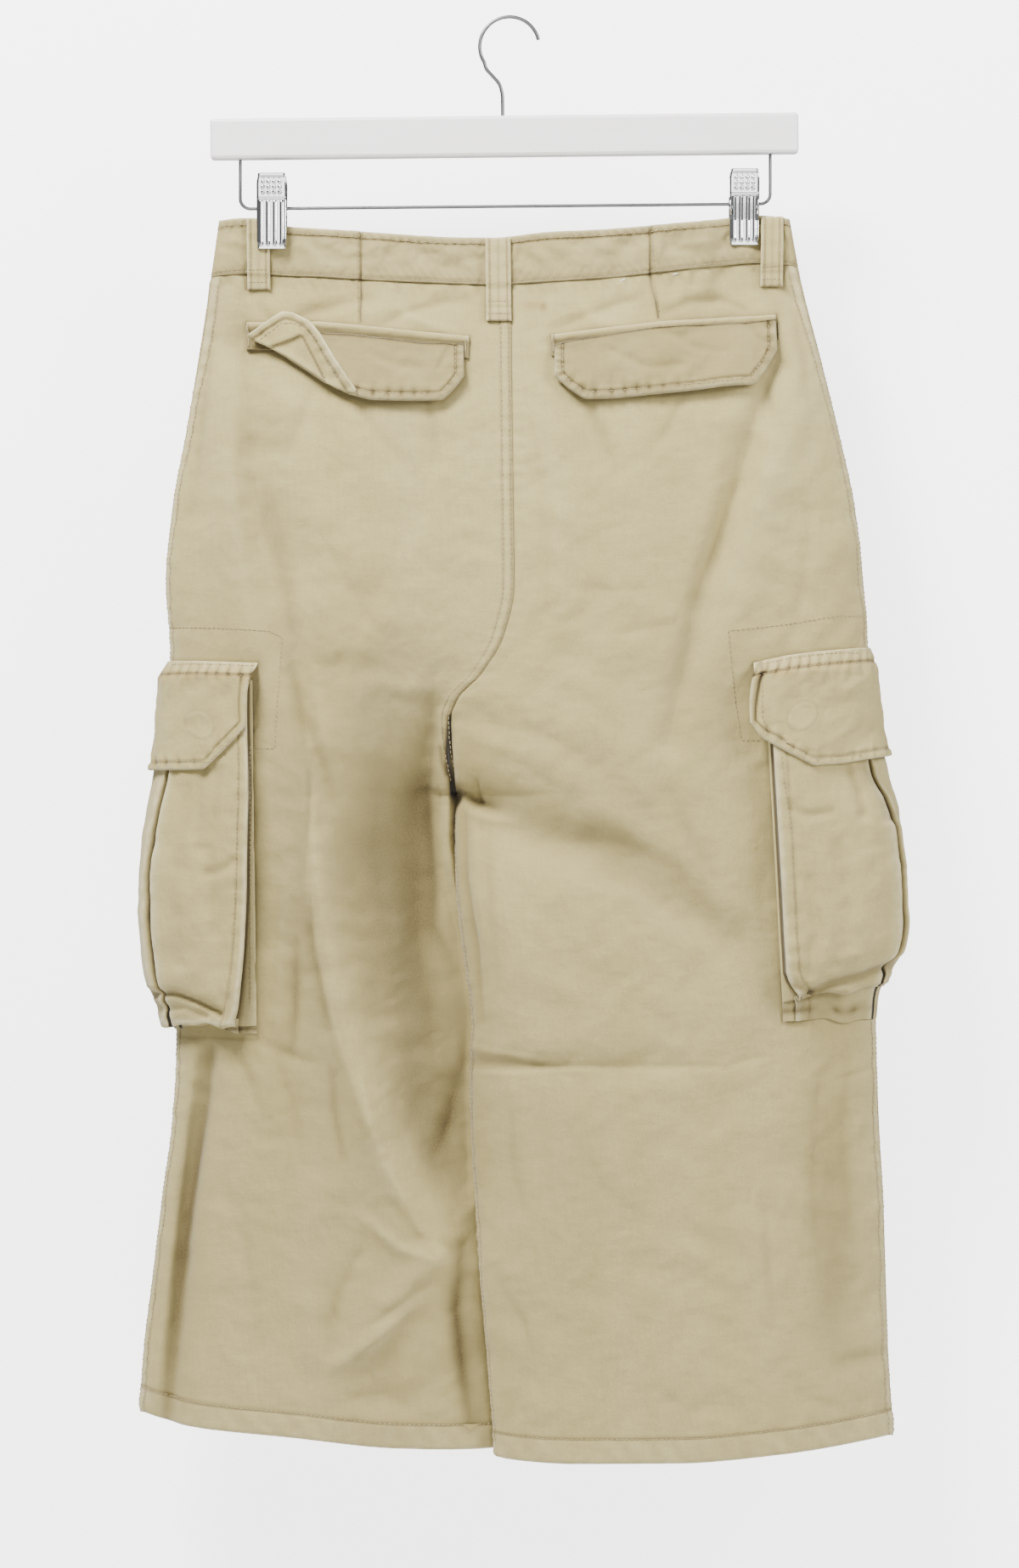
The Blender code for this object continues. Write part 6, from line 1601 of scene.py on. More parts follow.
    # Painted shade: along the stitches, near black in the open pleat, in the bellows, in the creases and
    # under the foot.
    painted_shade_and_stain = 0.4 * on_face * bump(from_edge - 5.6, 0.8)
    painted_shade_and_stain = painted_shade_and_stain + 2.0 * np.clip(-pleat / 1.5, 0.0, 1.0) * opens * (np.abs(pleat) > 2.6)
    painted_shade_and_stain = painted_shade_and_stain + 1.5 * smooth((0.9 - share) / 0.1) * smooth((share - 0.12) / 0.05)
    painted_shade_and_stain = painted_shade_and_stain + 0.16 * np.clip(folded, 0.0, 4.0)
    painted_shade_and_stain = painted_shade_and_stain + 0.2 * smooth((0.8 - row_share) / 0.2) + 0.9 * bump(zz - foot + 4.0, 1.2) * (row_share < 0.7)
    wear_and_highlight = 0.8 * bump(from_edge, 1.6) * (share > 0.8)
    wear_and_highlight = wear_and_highlight + 0.8 * bump(below, 1.8) * (row_share > 0.7) * (share > 0.5)
    wear_and_highlight = wear_and_highlight + 0.35 * bump((share - 0.06) / 0.05, 1.0)
    wear_and_highlight = wear_and_highlight + 0.8 * np.clip(pleat, 0.0, 1.0) ** 2 * opens
    return place + out * lift[..., None], wear_and_highlight + 0.0 * lift, painted_shade_and_stain + 0.0 * lift


def add_fine_bag(name, side):
    """The bellows pocket: face, bellows, centre pleat and turned-up foot."""
    halves = zip(fine_bag_half(side, BACK), fine_bag_half(side, FRONT))
    outer, wear_and_highlight, painted_shade_and_stain = (np.concatenate([back, front[:, -2::-1]], axis=1) for back, front in halves)
    out = grid_normals(outer, np.array([side * 1.0, -1.0, 0.0]))
    layers = cloth_layers(wear_and_highlight, painted_shade_and_stain)
    node = f"cargo_bag_{name}"
    return sheet_mesh(node + "_cloth", outer, out, TWILL, "twill", [node], layers, side * 5.0)


def fine_cargo_flap_half(side, face):
    """A cargo flap's places, normals, lift and distances from both edges on one face."""
    rows = CARGO_FLAP_ROWS[side]
    top_z, bottom_z = CARGO_FLAP_OUTSEAM[side]
    inner_x, last_x = rows[0].inner, rows[-1].inner
    span = abs(last_x - inner_x)
    stops = crowded(0.0, span, 0.9, 0.3, 2.4)
    keep = np.concatenate([stops[stops < span - 2.5], [span]])
    even = np.linspace(0.0, span, 90)
    at = np.array([abs(row.inner - inner_x) for row in rows])
    top = np.interp(keep, even, soften(np.interp(even, at, [row.top for row in rows]), 5))
    low = np.interp(keep, even, soften(np.interp(even, at, [row.bottom for row in rows]), 5))
    x = inner_x + side * keep
    edge = shares_at(side, BACK, x, top)[0]
    count = 44
    rest = edge[-1] + (1.0 - edge[-1]) * np.sin(0.5 * np.pi * np.arange(1, count + 1) / count)
    across = np.concatenate([edge, rest])[None, :]
    fade = (rest - edge[-1]) / (1.0 - edge[-1])
    top = np.concatenate([top, top[-1] + (top_z - top[-1]) * fade])[None, :]
    low = np.concatenate([low, low[-1] + (bottom_z - low[-1]) * fade])[None, :]
    tall = float((top - low).max())
    t = crowded(0.0, tall, 1.1, 0.3, 2.4)[:, None] / tall
    z = top + (low - top) * t
    mouth_z = BAG_ROWS[side][0].z
    over = bag_lift(side, face, across, np.minimum(z, mouth_z)) + CARGO_FLAP_CLEAR
    lift = SEWN_EDGE + (over - SEWN_EDGE) * smooth((top - z) / (top - mouth_z - FLAP_REACH))
    down = down_at(side, face, across + 0.0 * z, z)
    place = panel_point(side, face, across + 0.0 * z, down)
    out = smooth_normal(side, face, across + 0.0 * z, down)
    return place, out, lift, top - z, z - low


SNAP_ALONG = {LEFT: 31.0, RIGHT: 33.0}  # the snap under the flap shows as a ring
SNAP_DOWN = 38.0


def add_fine_cargo_flap(name, side):
    """The flap over a bag's mouth, gathered along its sewn upper edge."""
    halves = [fine_cargo_flap_half(side, face) for face in (BACK, FRONT)]
    place, out, lift, from_top, from_low = (
        np.concatenate([b, f[:, -2::-1]], axis=1) for b, f in zip(*halves)
    )
    along = arc(place, 1)
    whole = along[:, -1:]
    end = np.minimum(along, whole - along)
    away = np.minimum(from_low * np.where(end < 26.0, 0.78, 1.0), end)
    band = smooth((8.0 - from_top) / 1.6)
    thick = POCKET_WALL * pillow(away, 1.3) * pillow(from_top, 1.2)
    thick += flap_relief(away, along, 1.1 * side) * smooth((from_top - 6.0) / 3.0)
    gather = pucker(along + 0.4 * from_top, 0.8, 6.4)
    thick += gather * bump(from_top - 4.4, 3.4)
    thick += 0.35 * pucker(along, 2.9, 9.0) * bump(from_top - 12.0, 6.0)
    thick -= 0.8 * bump(from_top - 8.0, 1.1) + 0.25 * bump(from_top - 1.6, 0.8)
    thick += rumple(1.5 * along, 1.5 * from_top, 4.0 * side) * smooth((away - 6.0) / 4.0) * (1.0 - band)
    ring = np.hypot(along - SNAP_ALONG[side], from_top - SNAP_DOWN)
    thick += 0.35 * smooth((8.6 - ring) / 1.5) - 0.2 * smooth((6.0 - ring) / 2.0)
    thick = np.maximum(thick, 0.2)
    flare = 2.4 * bump(np.minimum(from_low, 30.0) / 9.0, 1.0) * bump((along - whole * 0.47) / 16.0, 1.0)
    inner = place + out * (lift - 0.2 + flare * (1.0 if side == RIGHT else 0.5))[..., None]
    outer = inner + out * thick[..., None]
    wear_and_highlight = 0.8 * bump(away, 1.2) + 0.5 * bump(from_top, 1.1) + 0.12 * band + 0.12 * bump(ring - 7.6, 1.2)
    tint = 0.28 * bump(from_top - 9.5, 3.2) * smooth(pucker(along, 0.4, 17.0) + 0.8)
    # Painted shade along the stitches, the sewn band's groove, the gathers and the snap's ring.
    painted_shade_and_stain = 0.05 + 0.9 * bump(away - FLAP_EDGE, 0.9) * smooth((from_top - 6.0) / 3.0)
    painted_shade_and_stain += bump(from_top - 8.0, 1.0)
    painted_shade_and_stain += 0.9 * np.clip(-gather, 0.0, 1.0) * bump(from_top - 6.4, 4.6) + 0.3 * bump(ring - 8.6, 0.8)
    painted_shade_and_stain += 0.8 * gathered(along, 1.1 * side) ** 2 * bump(away - 4.5, 3.0)
    return cloth_slab(f"cargo_flap_{name}", outer, inner, cloth_layers(wear_and_highlight, painted_shade_and_stain, tint), side * 6.0)


# ---------------------------------------------------------------- fly and button

def add_fine_fly():
    """The facing over the fly, rounded at its foot."""
    columns = []
    for share in np.linspace(0.0, 1.0, 9):
        x = FLY_INNER_X - FLY_WIDTH * share
        top = float(WAIST_SEAM(x)) - FLY_BELOW_SEAM
        length = FLY_LENGTH * (1.0 - FLY_FOOT * share**3)
        columns.append(EdgeRow(x, top, top - length))
    x, z, _, across, down, _, from_low = laid_grid(LEFT, FRONT, columns, 2.0, 3)
    place = panel_point(LEFT, FRONT, across, down)
    out = smooth_normal(LEFT, FRONT, across, down)
    inner = place + out * (LAID_GAP - 0.4)
    away = np.minimum(FLY_INNER_X - x, np.minimum(from_low, x - x.min()))
    thick = TRIM_WALL * pillow(away, 1.4) + 0.3 * pucker(z, 0.5, 13.0) * bump(FLY_INNER_X - x - 3.0, 4.0)
    outer = inner + out * np.maximum(thick, 0.15)[..., None]
    wear_and_highlight = 0.6 * bump(FLY_INNER_X - x, 1.3)
    # Painted shade along the fly's stitch line.
    layers = cloth_layers(wear_and_highlight, 0.4 * bump(x - x.min() - 3.0, 0.8))
    return cloth_slab("fly", outer, inner, layers, 7.0)


def ring_quads(rings, sides, start=0):
    """Faces between rings of points, each ring closed."""
    at = np.arange(rings * sides).reshape(rings, sides) + start
    after = np.roll(at, -1, axis=1)
    corners = [at[:-1], after[:-1], after[1:], at[1:]]
    return np.stack(corners, axis=-1).reshape(-1, 4)


# The button's cross-section from its middle over the rim to its underside, and its holes.
BUTTON_RADII = (0.0, 1.0, 2.0, 3.0, 4.2, 5.0, 5.8, 6.6, 7.3, 7.9, 8.3, 8.5, 8.3, 7.4, 5.0, 0.5)
BUTTON_HEIGHTS = (2.2, 2.2, 2.2, 2.2, 2.25, 2.4, 2.75, 3.1, 3.2, 3.05, 2.6, 1.8, 1.0, 0.45, 0.1, 0.0)
BUTTON_SIDES = 64
HOLE_PLACE, HOLE_RADIUS, HOLE_DEPTH = 2.1, 1.15, 1.4


def add_fine_button():
    """A four-hole button with sunk holes."""
    radii, heights = np.array(BUTTON_RADII), np.array(BUTTON_HEIGHTS)
    turn = np.linspace(0.0, TURN, BUTTON_SIDES, endpoint=False)
    u = radii[:, None] * np.cos(turn)
    v = radii[:, None] * np.sin(turn)
    h = np.broadcast_to(heights[:, None], u.shape).copy()
    for a in (1, 3, 5, 7):
        angle = a * math.pi / 4
        hole = np.hypot(u - HOLE_PLACE * math.cos(angle), v - HOLE_PLACE * math.sin(angle))
        h -= HOLE_DEPTH * smooth((HOLE_RADIUS - hole) / 0.5) * (np.arange(len(radii)) < 6)[:, None]
    z = float(WAIST_TOP(BUTTON_X) + WAIST_SEAM(BUTTON_X)) / 2.0
    seat = band_point(FRONT, BUTTON_X, z)
    points = np.stack([seat[0] + u, seat[1] + LAID_GAP + h, z + v], axis=-1).reshape(-1, 3)
    mesh = build_mesh("button", points, ring_quads(len(radii), BUTTON_SIDES)[:, ::-1])
    return add_piece("waist_button_horn", mesh, HORN, "horn", "waist_button")


# ---------------------------------------------------------------- hanger

def spline(path, count):
    """Even points on a smooth curve through a path."""
    path = np.array(path, float)
    ends = np.concatenate([[2 * path[0] - path[1]], path, [2 * path[-1] - path[-2]]])
    made = []
    for i in range(len(path) - 1):
        a, b, c, d = ends[i : i + 4]
        t = np.linspace(0.0, 1.0, 12, endpoint=False)[:, None]
        cubic = (2 * a - 5 * b + 4 * c - d) * t**2 + (3 * b - a - 3 * c + d) * t**3
        made.append(0.5 * (2 * b + (c - a) * t + cubic))
    made = np.concatenate(made + [path[-1:]])
    length = np.concatenate([[0.0], np.cumsum(np.linalg.norm(np.diff(made, axis=0), axis=1))])
    at = np.linspace(0.0, length[-1], count)
    return np.stack([np.interp(at, length, made[:, k]) for k in range(made.shape[1])], axis=-1)


def tube(name, path, radius, look, slot, nodes, sides=16):
    """A round wire along points in mm, with slightly domed ends."""
    path = np.array(path, float)
    along = np.gradient(path, axis=0)
    along = along / np.linalg.norm(along, axis=1, keepdims=True)
    over = np.cross(along, [0.0, 1.0, 0.0])
    over = over / np.linalg.norm(over, axis=1, keepdims=True)
    cross = np.cross(along, over)
    turn = np.linspace(0.0, TURN, sides, endpoint=False)[:, None]
    ring = over[:, None] * np.cos(turn) + cross[:, None] * np.sin(turn)
    body = path[:, None] + ring * radius
    caps = []
    for end, way in ((0, -1.0), (-1, 1.0)):
        for back, shrink in ((0.25, 0.85), (0.4, 0.5), (0.45, 0.02)):
            caps.append(path[end] + ring[end] * radius * shrink + along[end] * way * back * radius)
    points = np.concatenate([np.array(caps[:3])[::-1], body, np.array(caps[3:])])
    mesh = build_mesh(name, points.reshape(-1, 3), ring_quads(len(points), sides))
    return add_piece(name, mesh, look, slot, *nodes)


def bar_face_z(x, up):
    """Height of the bar's upper (up = 1) or under (up = -1) face at X."""
    middle = BAR_CENTRE[2] - math.tan(BAR_TILT) * (x - BAR_CENTRE[0])
    return middle + up * BAR_SIZE[2] / 2.0 / math.cos(BAR_TILT)


def add_fine_hook():
    path = [(HOOK_SHANK_X, 0.0, bar_face_z(HOOK_SHANK_X, 1) + SEAM_GAP)]
    path += [(x, 0.0, z) for x, z in HOOK_NECK]
    centre_z = HOOK_WIRE / 2.0 - HOOK_RADIUS
    for degrees in np.linspace(HOOK_START_DEG, HOOK_END_DEG, 30):
        turn = math.radians(degrees)
        path.append((HOOK_RADIUS * math.cos(turn), 0.0, centre_z + HOOK_RADIUS * math.sin(turn)))
    return tube("hook_wire", spline(path, 150), HOOK_WIRE / 2.0, WIRE, "steel", ["hanger_hook"])


def add_fine_rod():
    (x0, x1), (z0, z1) = ROD_ENDS_X, ROD_END_Z
    path = [(x0, 0.0, bar_face_z(x0, -1) - SEAM_GAP), (x0, 0.0, z0 + ROD_BEND + 6.0)]
    for degrees in np.linspace(180, 270, 9):
        turn = math.radians(degrees)
        path.append((x0 + ROD_BEND * (1 + math.cos(turn)), 0.0, z0 + ROD_BEND * (1 + math.sin(turn))))
    for degrees in np.linspace(270, 360, 9):
        turn = math.radians(degrees)
        path.append((x1 - ROD_BEND * (1 - math.cos(turn)), 0.0, z1 + ROD_BEND * (1 + math.sin(turn))))
    path += [(x1, 0.0, z1 + ROD_BEND + 6.0), (x1, 0.0, bar_face_z(x1, -1) - SEAM_GAP)]
    dense = [path[0]]
    for a, b in zip(path, path[1:]):
        steps = max(1, int(math.dist(a, b) / 3.0))
        a, b = np.array(a), np.array(b)
        dense += [tuple(a + (b - a) * k / steps) for k in range(1, steps + 1)]
    return tube("rod_wire", dense, ROD_WIRE / 2.0, WIRE, "steel", ["hanger_rod"])


def rod_z(x):
    share = (x - ROD_ENDS_X[0]) / (ROD_ENDS_X[1] - ROD_ENDS_X[0])
    return ROD_END_Z[0] + (ROD_END_Z[1] - ROD_END_Z[0]) * share


def add_fine_jaw(name, side, face, seat):
    """A pressed jaw: dimples on the finger grip, four ribs below it and edges bent back."""
    x0, z0 = CLIP_X[side], rod_z(CLIP_X[side])
    up_rows = np.array([row.up for row in JAW_ROWS])[::-1]
    off_rows = np.array([max(row.least, seat + row.beyond) for row in JAW_ROWS])[::-1]
    up = crowded(-25.0, 20.5, 0.55, 0.2, 1.2)[::-1][:, None]
    xs = crowded(-CLIP_WIDTH / 2, CLIP_WIDTH / 2, 0.42, 0.15, 0.9)[None, :]
    half = CLIP_WIDTH / 2 - 0.9 * smooth((up - 14.0) / 6.5) - 0.5 * smooth((-19.0 - up) / 6.0)
    x = xs * half / (CLIP_WIDTH / 2)
    off = np.interp(up[::-1, 0], up_rows, off_rows)[::-1][:, None] + 0.0 * x
    off = off + 0.45 * smooth((up - 18.0) / 2.5)
    ribs = 0.62 * np.clip(np.cos(2 * np.pi * xs / (CLIP_WIDTH / 4.3) + np.pi), 0.0, 1.0) ** 0.6
    in_ribs = smooth((4.5 - up) / 1.0) * smooth((up + 23.5) / 1.2) * (np.abs(xs) < CLIP_WIDTH * 0.466)
    dots = (np.cos(TURN * xs / 3.4 + np.pi) + np.cos(TURN * (up - 12.2) / 3.1)) / 2.0
    dots = (dots - 0.25).clip(0.0) / 0.75
    in_dots = smooth((up - 6.6) / 0.6) * smooth((18.2 - up) / 0.6) * (np.abs(xs) < CLIP_WIDTH * 0.42)
    raised = ribs * in_ribs + 0.8 * dots * in_dots
    bar = 0.45 * (bump(up - 5.4, 0.5) + bump(up - 18.9, 0.5)) * (np.abs(xs) < CLIP_WIDTH * 0.46)
    bent = 1.0 * (1.0 - np.sqrt(1.0 - np.clip((np.abs(xs) - 7.6) / 1.4, 0.0, 1.0) ** 2))
    outer = np.stack([x0 + x, face * (off + CLIP_PLATE + raised + bar - bent), z0 + up + 0.0 * x], axis=-1)
    inner = np.stack([x0 + x, face * (off - 0.8 * bent), z0 + up + 0.0 * x], axis=-1)
    return slab(f"{name}_plate", outer, inner, CHROME, "chrome", [name])


# An ear's outline: distance from the rod's plane towards its jaw, and height over the rod.
EAR_OUTLINE = (
    (7.4, 6.0), (3.0, 4.2), (-1.2, 3.6), (-3.0, 2.0), (-3.2, -1.0), (-2.2, -3.0), (2.0, -4.4), (7.4, -7.0),
)
EAR_STRIP = np.array([[0, 1, 6, 7], [1, 2, 5, 6], [2, 3, 4, 5]])
EAR_HALF = 0.45
SPRING_TURNS, SPRING_RADIUS, SPRING_HALF, SPRING_WIRE = 5.5, 2.3, 5.2, 0.5


def add_clip_ears(side):
    """Ears of both jaws and the spring's coil round the rod."""
    x0, z0 = CLIP_X[side], rod_z(CLIP_X[side])
    count = len(EAR_OUTLINE)
    rim = np.arange(count)
    after = np.roll(rim, -1)
    walls = np.stack([rim, after, after + count, rim + count], axis=-1)
    quads = np.concatenate([walls, EAR_STRIP, EAR_STRIP[:, ::-1] + count])
    for face in (BACK, FRONT):
        for hand in (-1, 1):
            ear_x = x0 + hand * (CLIP_WIDTH / 2 - EAR_INSET[face])
            halves = (-EAR_HALF, EAR_HALF)
            points = np.array([(ear_x + h, face * y, z0 + up) for h in halves for y, up in EAR_OUTLINE])
            mesh = build_mesh("ear", points, quads)
            add_piece(f"clip_ear_{side + 1}_{face + 1}_{hand + 1}", mesh, CHROME, "chrome")
    turns = np.linspace(0.0, TURN * SPRING_TURNS, 130)
    coil = []
    for t in turns:
        x = x0 - SPRING_HALF + 2.0 * SPRING_HALF * t / turns[-1]
        coil.append((x, SPRING_RADIUS * math.cos(t), z0 + SPRING_RADIUS * math.sin(t)))
    tube(f"clip_spring_{side + 1}", coil, SPRING_WIRE, WIRE, "steel", [], 8)


# ---------------------------------------------------------------- stitches

STITCH_PITCH = 3.0
STITCH_LENGTH = 2.3
STITCH_RADIUS = 0.32
STITCH_SIDES = 6
BACK_PANEL = {LEFT: "back_left_cloth", RIGHT: "back_right_cloth"}
# Outlines of the cargo pockets' inner bags, whose stitches show on the legs above them.
BAG_TOP_LINES = {
    LEFT: [(-206.0, -368.6), (-172, -369.6), (-143.9, -371.6), (-136.5, -375.2), (-138.6, -408.0),
           (-140.3, -441.8), (-153.7, -441.8)],
    RIGHT: [(213.0, -361.9), (197.9, -361.9), (165.5, -367.5), (131.1, -371.6), (133.0, -392.0),
            (135.2, -414.3), (138.8, -436.9), (152.1, -436.9)],
}
TURNED_LINE = [(-150.5, -195.5), (-137.2, -185.2), (-129.5, -185.8), (-121.5, -189.0), (-116.5, -195.0),
               (-108.5, -210.5), (-100.5, -223.5)]
FLY_LINE = [
    (-34.0, -166.0), (-34.5, -220.0), (-33.0, -262.0), (-26.0, -290.0), (-14.0, -306.0), (-3.0, -311.0),
]
# Bar tacks at the back pockets' ends: side and path.
TACKS = [
    (LEFT, [(-26.5, -196.0), (-26.5, -206.5)]),
    (RIGHT, [(162.4, -184.0), (162.6, -195.0)]),
    (RIGHT, [(26.4, -193.0), (26.6, -204.0)]),
    (LEFT, [(-158.0, -185.0), (-157.4, -199.0)]),
]
# Two specks of white lint on the waist seam.
LINT = [[(66.8, -159.8), (68.6, -159.0), (70.4, -158.9)], [(98.8, -156.0), (100.4, -155.2), (102.0, -155.6)]]


def evenly(points, normals_, pitch, phase=0.0):
    """Stitch centres, directions and normals along a run of points."""
    length = np.concatenate([[0.0], np.cumsum(np.linalg.norm(np.diff(points, axis=0), axis=1))])
    at = np.arange(pitch * (0.5 + phase), length[-1] - 0.3 * pitch, pitch)
    if not len(at):
        return None

    def read(values, where):
        return np.stack([np.interp(where, length, values[:, k]) for k in range(3)], axis=-1)

    centre = read(points, at)
    along = read(points, np.minimum(at + 0.8, length[-1])) - read(points, np.maximum(at - 0.8, 0.0))
    return centre, along / np.linalg.norm(along, axis=1, keepdims=True), read(normals_, at)


def add_stitches(name, runs, look, radius=STITCH_RADIUS, length=STITCH_LENGTH, pitch=STITCH_PITCH):
    """Many small stitches as one mesh: each a short bent capsule, its ends sunk in the cloth."""
    parts = [evenly(points, out, pitch) for points, out in runs if len(points) > 1]
    parts = [part for part in parts if part is not None]
    if not parts:
        return None
    centre, along, out = (np.concatenate(items) for items in zip(*parts))
    out = out / np.linalg.norm(out, axis=1, keepdims=True)
    over = np.cross(along, out)
    over = over / np.linalg.norm(over, axis=1, keepdims=True)
    wobble = 0.10 * np.sin(np.arange(len(centre)) * 2.39)[:, None]
    centre = centre + over * wobble
    steps = np.array([-0.5, -0.32, 0.32, 0.5]) * length
    sizes = np.array([0.35, 1.0, 1.0, 0.35]) * radius
    rises = np.array([-0.14, 0.12, 0.12, -0.14])
    turn = np.linspace(0.0, TURN, STITCH_SIDES, endpoint=False)[:, None]
    ring = over[:, None, None] * np.cos(turn) + out[:, None, None] * (0.85 * np.sin(turn))
    spine = centre[:, None] + along[:, None] * steps[:, None] + out[:, None] * rises[:, None]
    points = spine[:, :, None] + ring * sizes[:, None, None]
    one = np.concatenate([ring_quads(4, 6), [[0, 1, 2, 3], [0, 3, 4, 5], [21, 20, 19, 18], [23, 22, 21, 18]]])
    quads = (one[None] + 24 * np.arange(len(centre))[:, None, None]).reshape(-1, 4)
    mesh = build_mesh(name, points.reshape(-1, 3), quads[:, ::-1])
    return add_piece(name, mesh, look, "twill")


def edge_run(surface, offset, axis):
    """Points and normals at a distance from the start (above 0) or end (below 0) of each row or column.

    Axis 1 measures along the rows, axis 0 down the columns.
    """
    grid, out, length = surface.grid, surface.out, arc(surface.grid, axis)
    if axis == 0:
        grid, out, length = grid.swapaxes(0, 1), out.swapaxes(0, 1), length.T
    points, ways = [], []
    for stops, places, normals in zip(length, grid, out):
        at = offset if offset >= 0 else stops[-1] + offset
        points.append([np.interp(at, stops, places[:, k]) for k in range(3)])
        ways.append([np.interp(at, stops, normals[:, k]) for k in range(3)])
    return np.array(points), np.array(ways)


def panel_run(side, face, offset, from_z, to_z):
    """A run of points down a panel at a distance from one of its long edges."""
    points, ways = edge_run(SURFACES[side, face], offset, 1)
    keep = (points[:, 2] < from_z) & (points[:, 2] > to_z)
    return points[keep], ways[keep]


TREES = {}


def tree_of(name):
    if name not in TREES:
        mesh = PIECES[name].data
        points = np.empty(len(mesh.vertices) * 3, np.float32)
        mesh.vertices.foreach_get("co", points)
        corners = [tuple(p.vertices) for p in mesh.polygons]
        TREES[name] = BVHTree.FromPolygons([Vector(p) for p in points.reshape(-1, 3).astype(float)], corners)
    return TREES[name]


def cast_run(face, path, *names, step=1.0):
    """A path in X and Z laid on the outermost of the named pieces."""
    path = np.array(path, float)
    length = np.concatenate([[0.0], np.cumsum(np.linalg.norm(np.diff(path, axis=0), axis=1))])
    at = np.arange(0.0, length[-1], step)
    xs, zs = np.interp(at, length, path[:, 0]), np.interp(at, length, path[:, 1])
    points, ways = [], []
    for x, z in zip(xs, zs):
        best = None
        start = Vector((x, face * 200.0, z)) * MM
        for name in names:
            hit, normal, _, _ = tree_of(name).ray_cast(start, Vector((0.0, -face, 0.0)))
            if hit is not None and (best is None or hit.y * face > best[0].y * face):
                best = (hit, normal)
        if best is not None:
            way = best[1] if best[1].y * face > 0 else -best[1]
            points.append(np.array(best[0]) / MM)
            ways.append(np.array(way))
    if len(points) < 2:
        return np.zeros((0, 3)), np.zeros((0, 3))
    return np.array(points), soften(np.array(ways), 3)


def inset(rows, distance):
    """The free outline of a back flap, moved inwards."""
    xs = [row.x for row in rows]
    even = np.linspace(min(xs) + distance, max(xs) - distance, 90)
    low = soften(edge_z(rows, "bottom", even), 5)
    slope = np.gradient(low, even)
    low = low + distance * np.sqrt(1.0 + np.minimum(np.abs(slope), 1.2) ** 2)
    top = edge_z(rows, "top", [even[0], even[-1]])
    middle = [(x, z) for x, z in zip(even, low) if z < top.max() - 2.0]
    return [(even[0], top[0] - 1.0), *middle, (even[-1], top[1] - 1.0)]


def add_seam_stitches():
    seams, hems = [], []
    for offset in (1.5, 6.2):
        seams.append(panel_run(LEFT, BACK, offset, -163.0, -462.0))
        seams.append(panel_run(RIGHT, FRONT, offset, -310.0, -460.0))
    for side in (LEFT, RIGHT):
        for offset in OUTSEAM_ROWS:
            seams.append(panel_run(side, BACK, -offset, -160.0, -862.0))
        for offset in (1.6, 6.4):
            seams.append(panel_run(side, BACK, offset, -480.0, -862.0))
        for face in (BACK, FRONT):
            hems.append(edge_run(SURFACES[side, face], -HEM_HEIGHT, 0))
    add_stitches("seam_stitches", seams, THREAD)
    add_stitches("hem_stitches", hems, THREAD)


def add_band_stitches(band):
    low, high = BAND_ROWS
    bands = [SURFACES[name] for name in BACK_BANDS + FRONT_BANDS]
    runs = [edge_run(surface, offset, 0) for surface in bands for offset in (low, -high)]
    for side, lean in ((LEFT, 0.0), (RIGHT, 5.0)):
        x = DART_X[side] + side * 1.6
        runs.append(cast_run(BACK, [(x, -134.0), (x + 0.3 * lean, -152.0)], *band))
        runs.append(cast_run(BACK, [(x + 0.3 * lean, -162.0), (x + lean, -182.0)], BACK_PANEL[side]))
    add_stitches("band_stitches", runs, THREAD)


def add_seam_shade_lines(band):
    """Painted shade, drawn as dark thread, in the darts' seams and along the upper edges of the back flaps.
    """
    lines = []
    for side in (LEFT, RIGHT):
        x, seam = DART_X[side], float(WAIST_SEAM(DART_X[side]))
        foot = (x + DART_LEAN[side], seam - DART_LENGTH)
        lines.append(cast_run(BACK, [(x, float(WAIST_TOP(x)) - 1.0), (x, seam + 0.8)], *band, step=0.8))
        lines.append(cast_run(BACK, [(x, seam - 0.8), foot], BACK_PANEL[side], step=0.8))
    for name, side in SIDES.items():
        top = [(row.x, row.top - 0.3 + 0.35 * math.sin(row.x / 4.0)) for row in FLAP_ROWS[side]]
        if side == LEFT:
            top = [(x, z) for x, z in top if x > -118.0]
        lines.append(cast_run(BACK, top, f"back_flap_{name}_cloth", f"back_welt_{name}_cloth", step=0.8))
    add_stitches("dart_seam_shade", lines, SEAM_SHADE, 0.3, 2.2, 1.6)


def add_loop_stitches():
    runs = []
    for row in LOOP_ROWS:
        surface = SURFACES[row.name]
        grid, out = surface.grid, surface.out
        middle = slice(2, len(grid) - 2)
        for over in (-row.width / 2 + LOOP_ROW, row.width / 2 - LOOP_ROW):
            at = surface.across
            points = [[np.interp(over, at, place[:, k]) for k in range(3)] for place in grid[middle]]
            runs.append((np.array(points), out[middle, 0] * 1.0))
        for i in (len(grid) - 6, len(grid) - 11):
            runs.append((grid[i, 2:-2], out[i, 2:-2] * 1.0))
    add_stitches("loop_stitches", runs, THREAD, 0.25, 1.9, 2.4)


def add_back_pocket_stitches():
    runs = []
    for name, side in SIDES.items():
        path = inset(FLAP_ROWS[side], FLAP_EDGE)
        if side == LEFT:
            path = [p for p in path if p[0] > -100.0]
        runs.append(cast_run(BACK, path, f"back_flap_{name}_cloth"))
        runs.append(cast_run(BACK, [(row.x, row.top - 0.2) for row in WELT_ROWS[side]], BACK_PANEL[side]))
    runs.append(cast_run(BACK, TURNED_LINE, "turned_corner_cloth"))
    add_stitches("back_pocket_stitches", runs, THREAD)


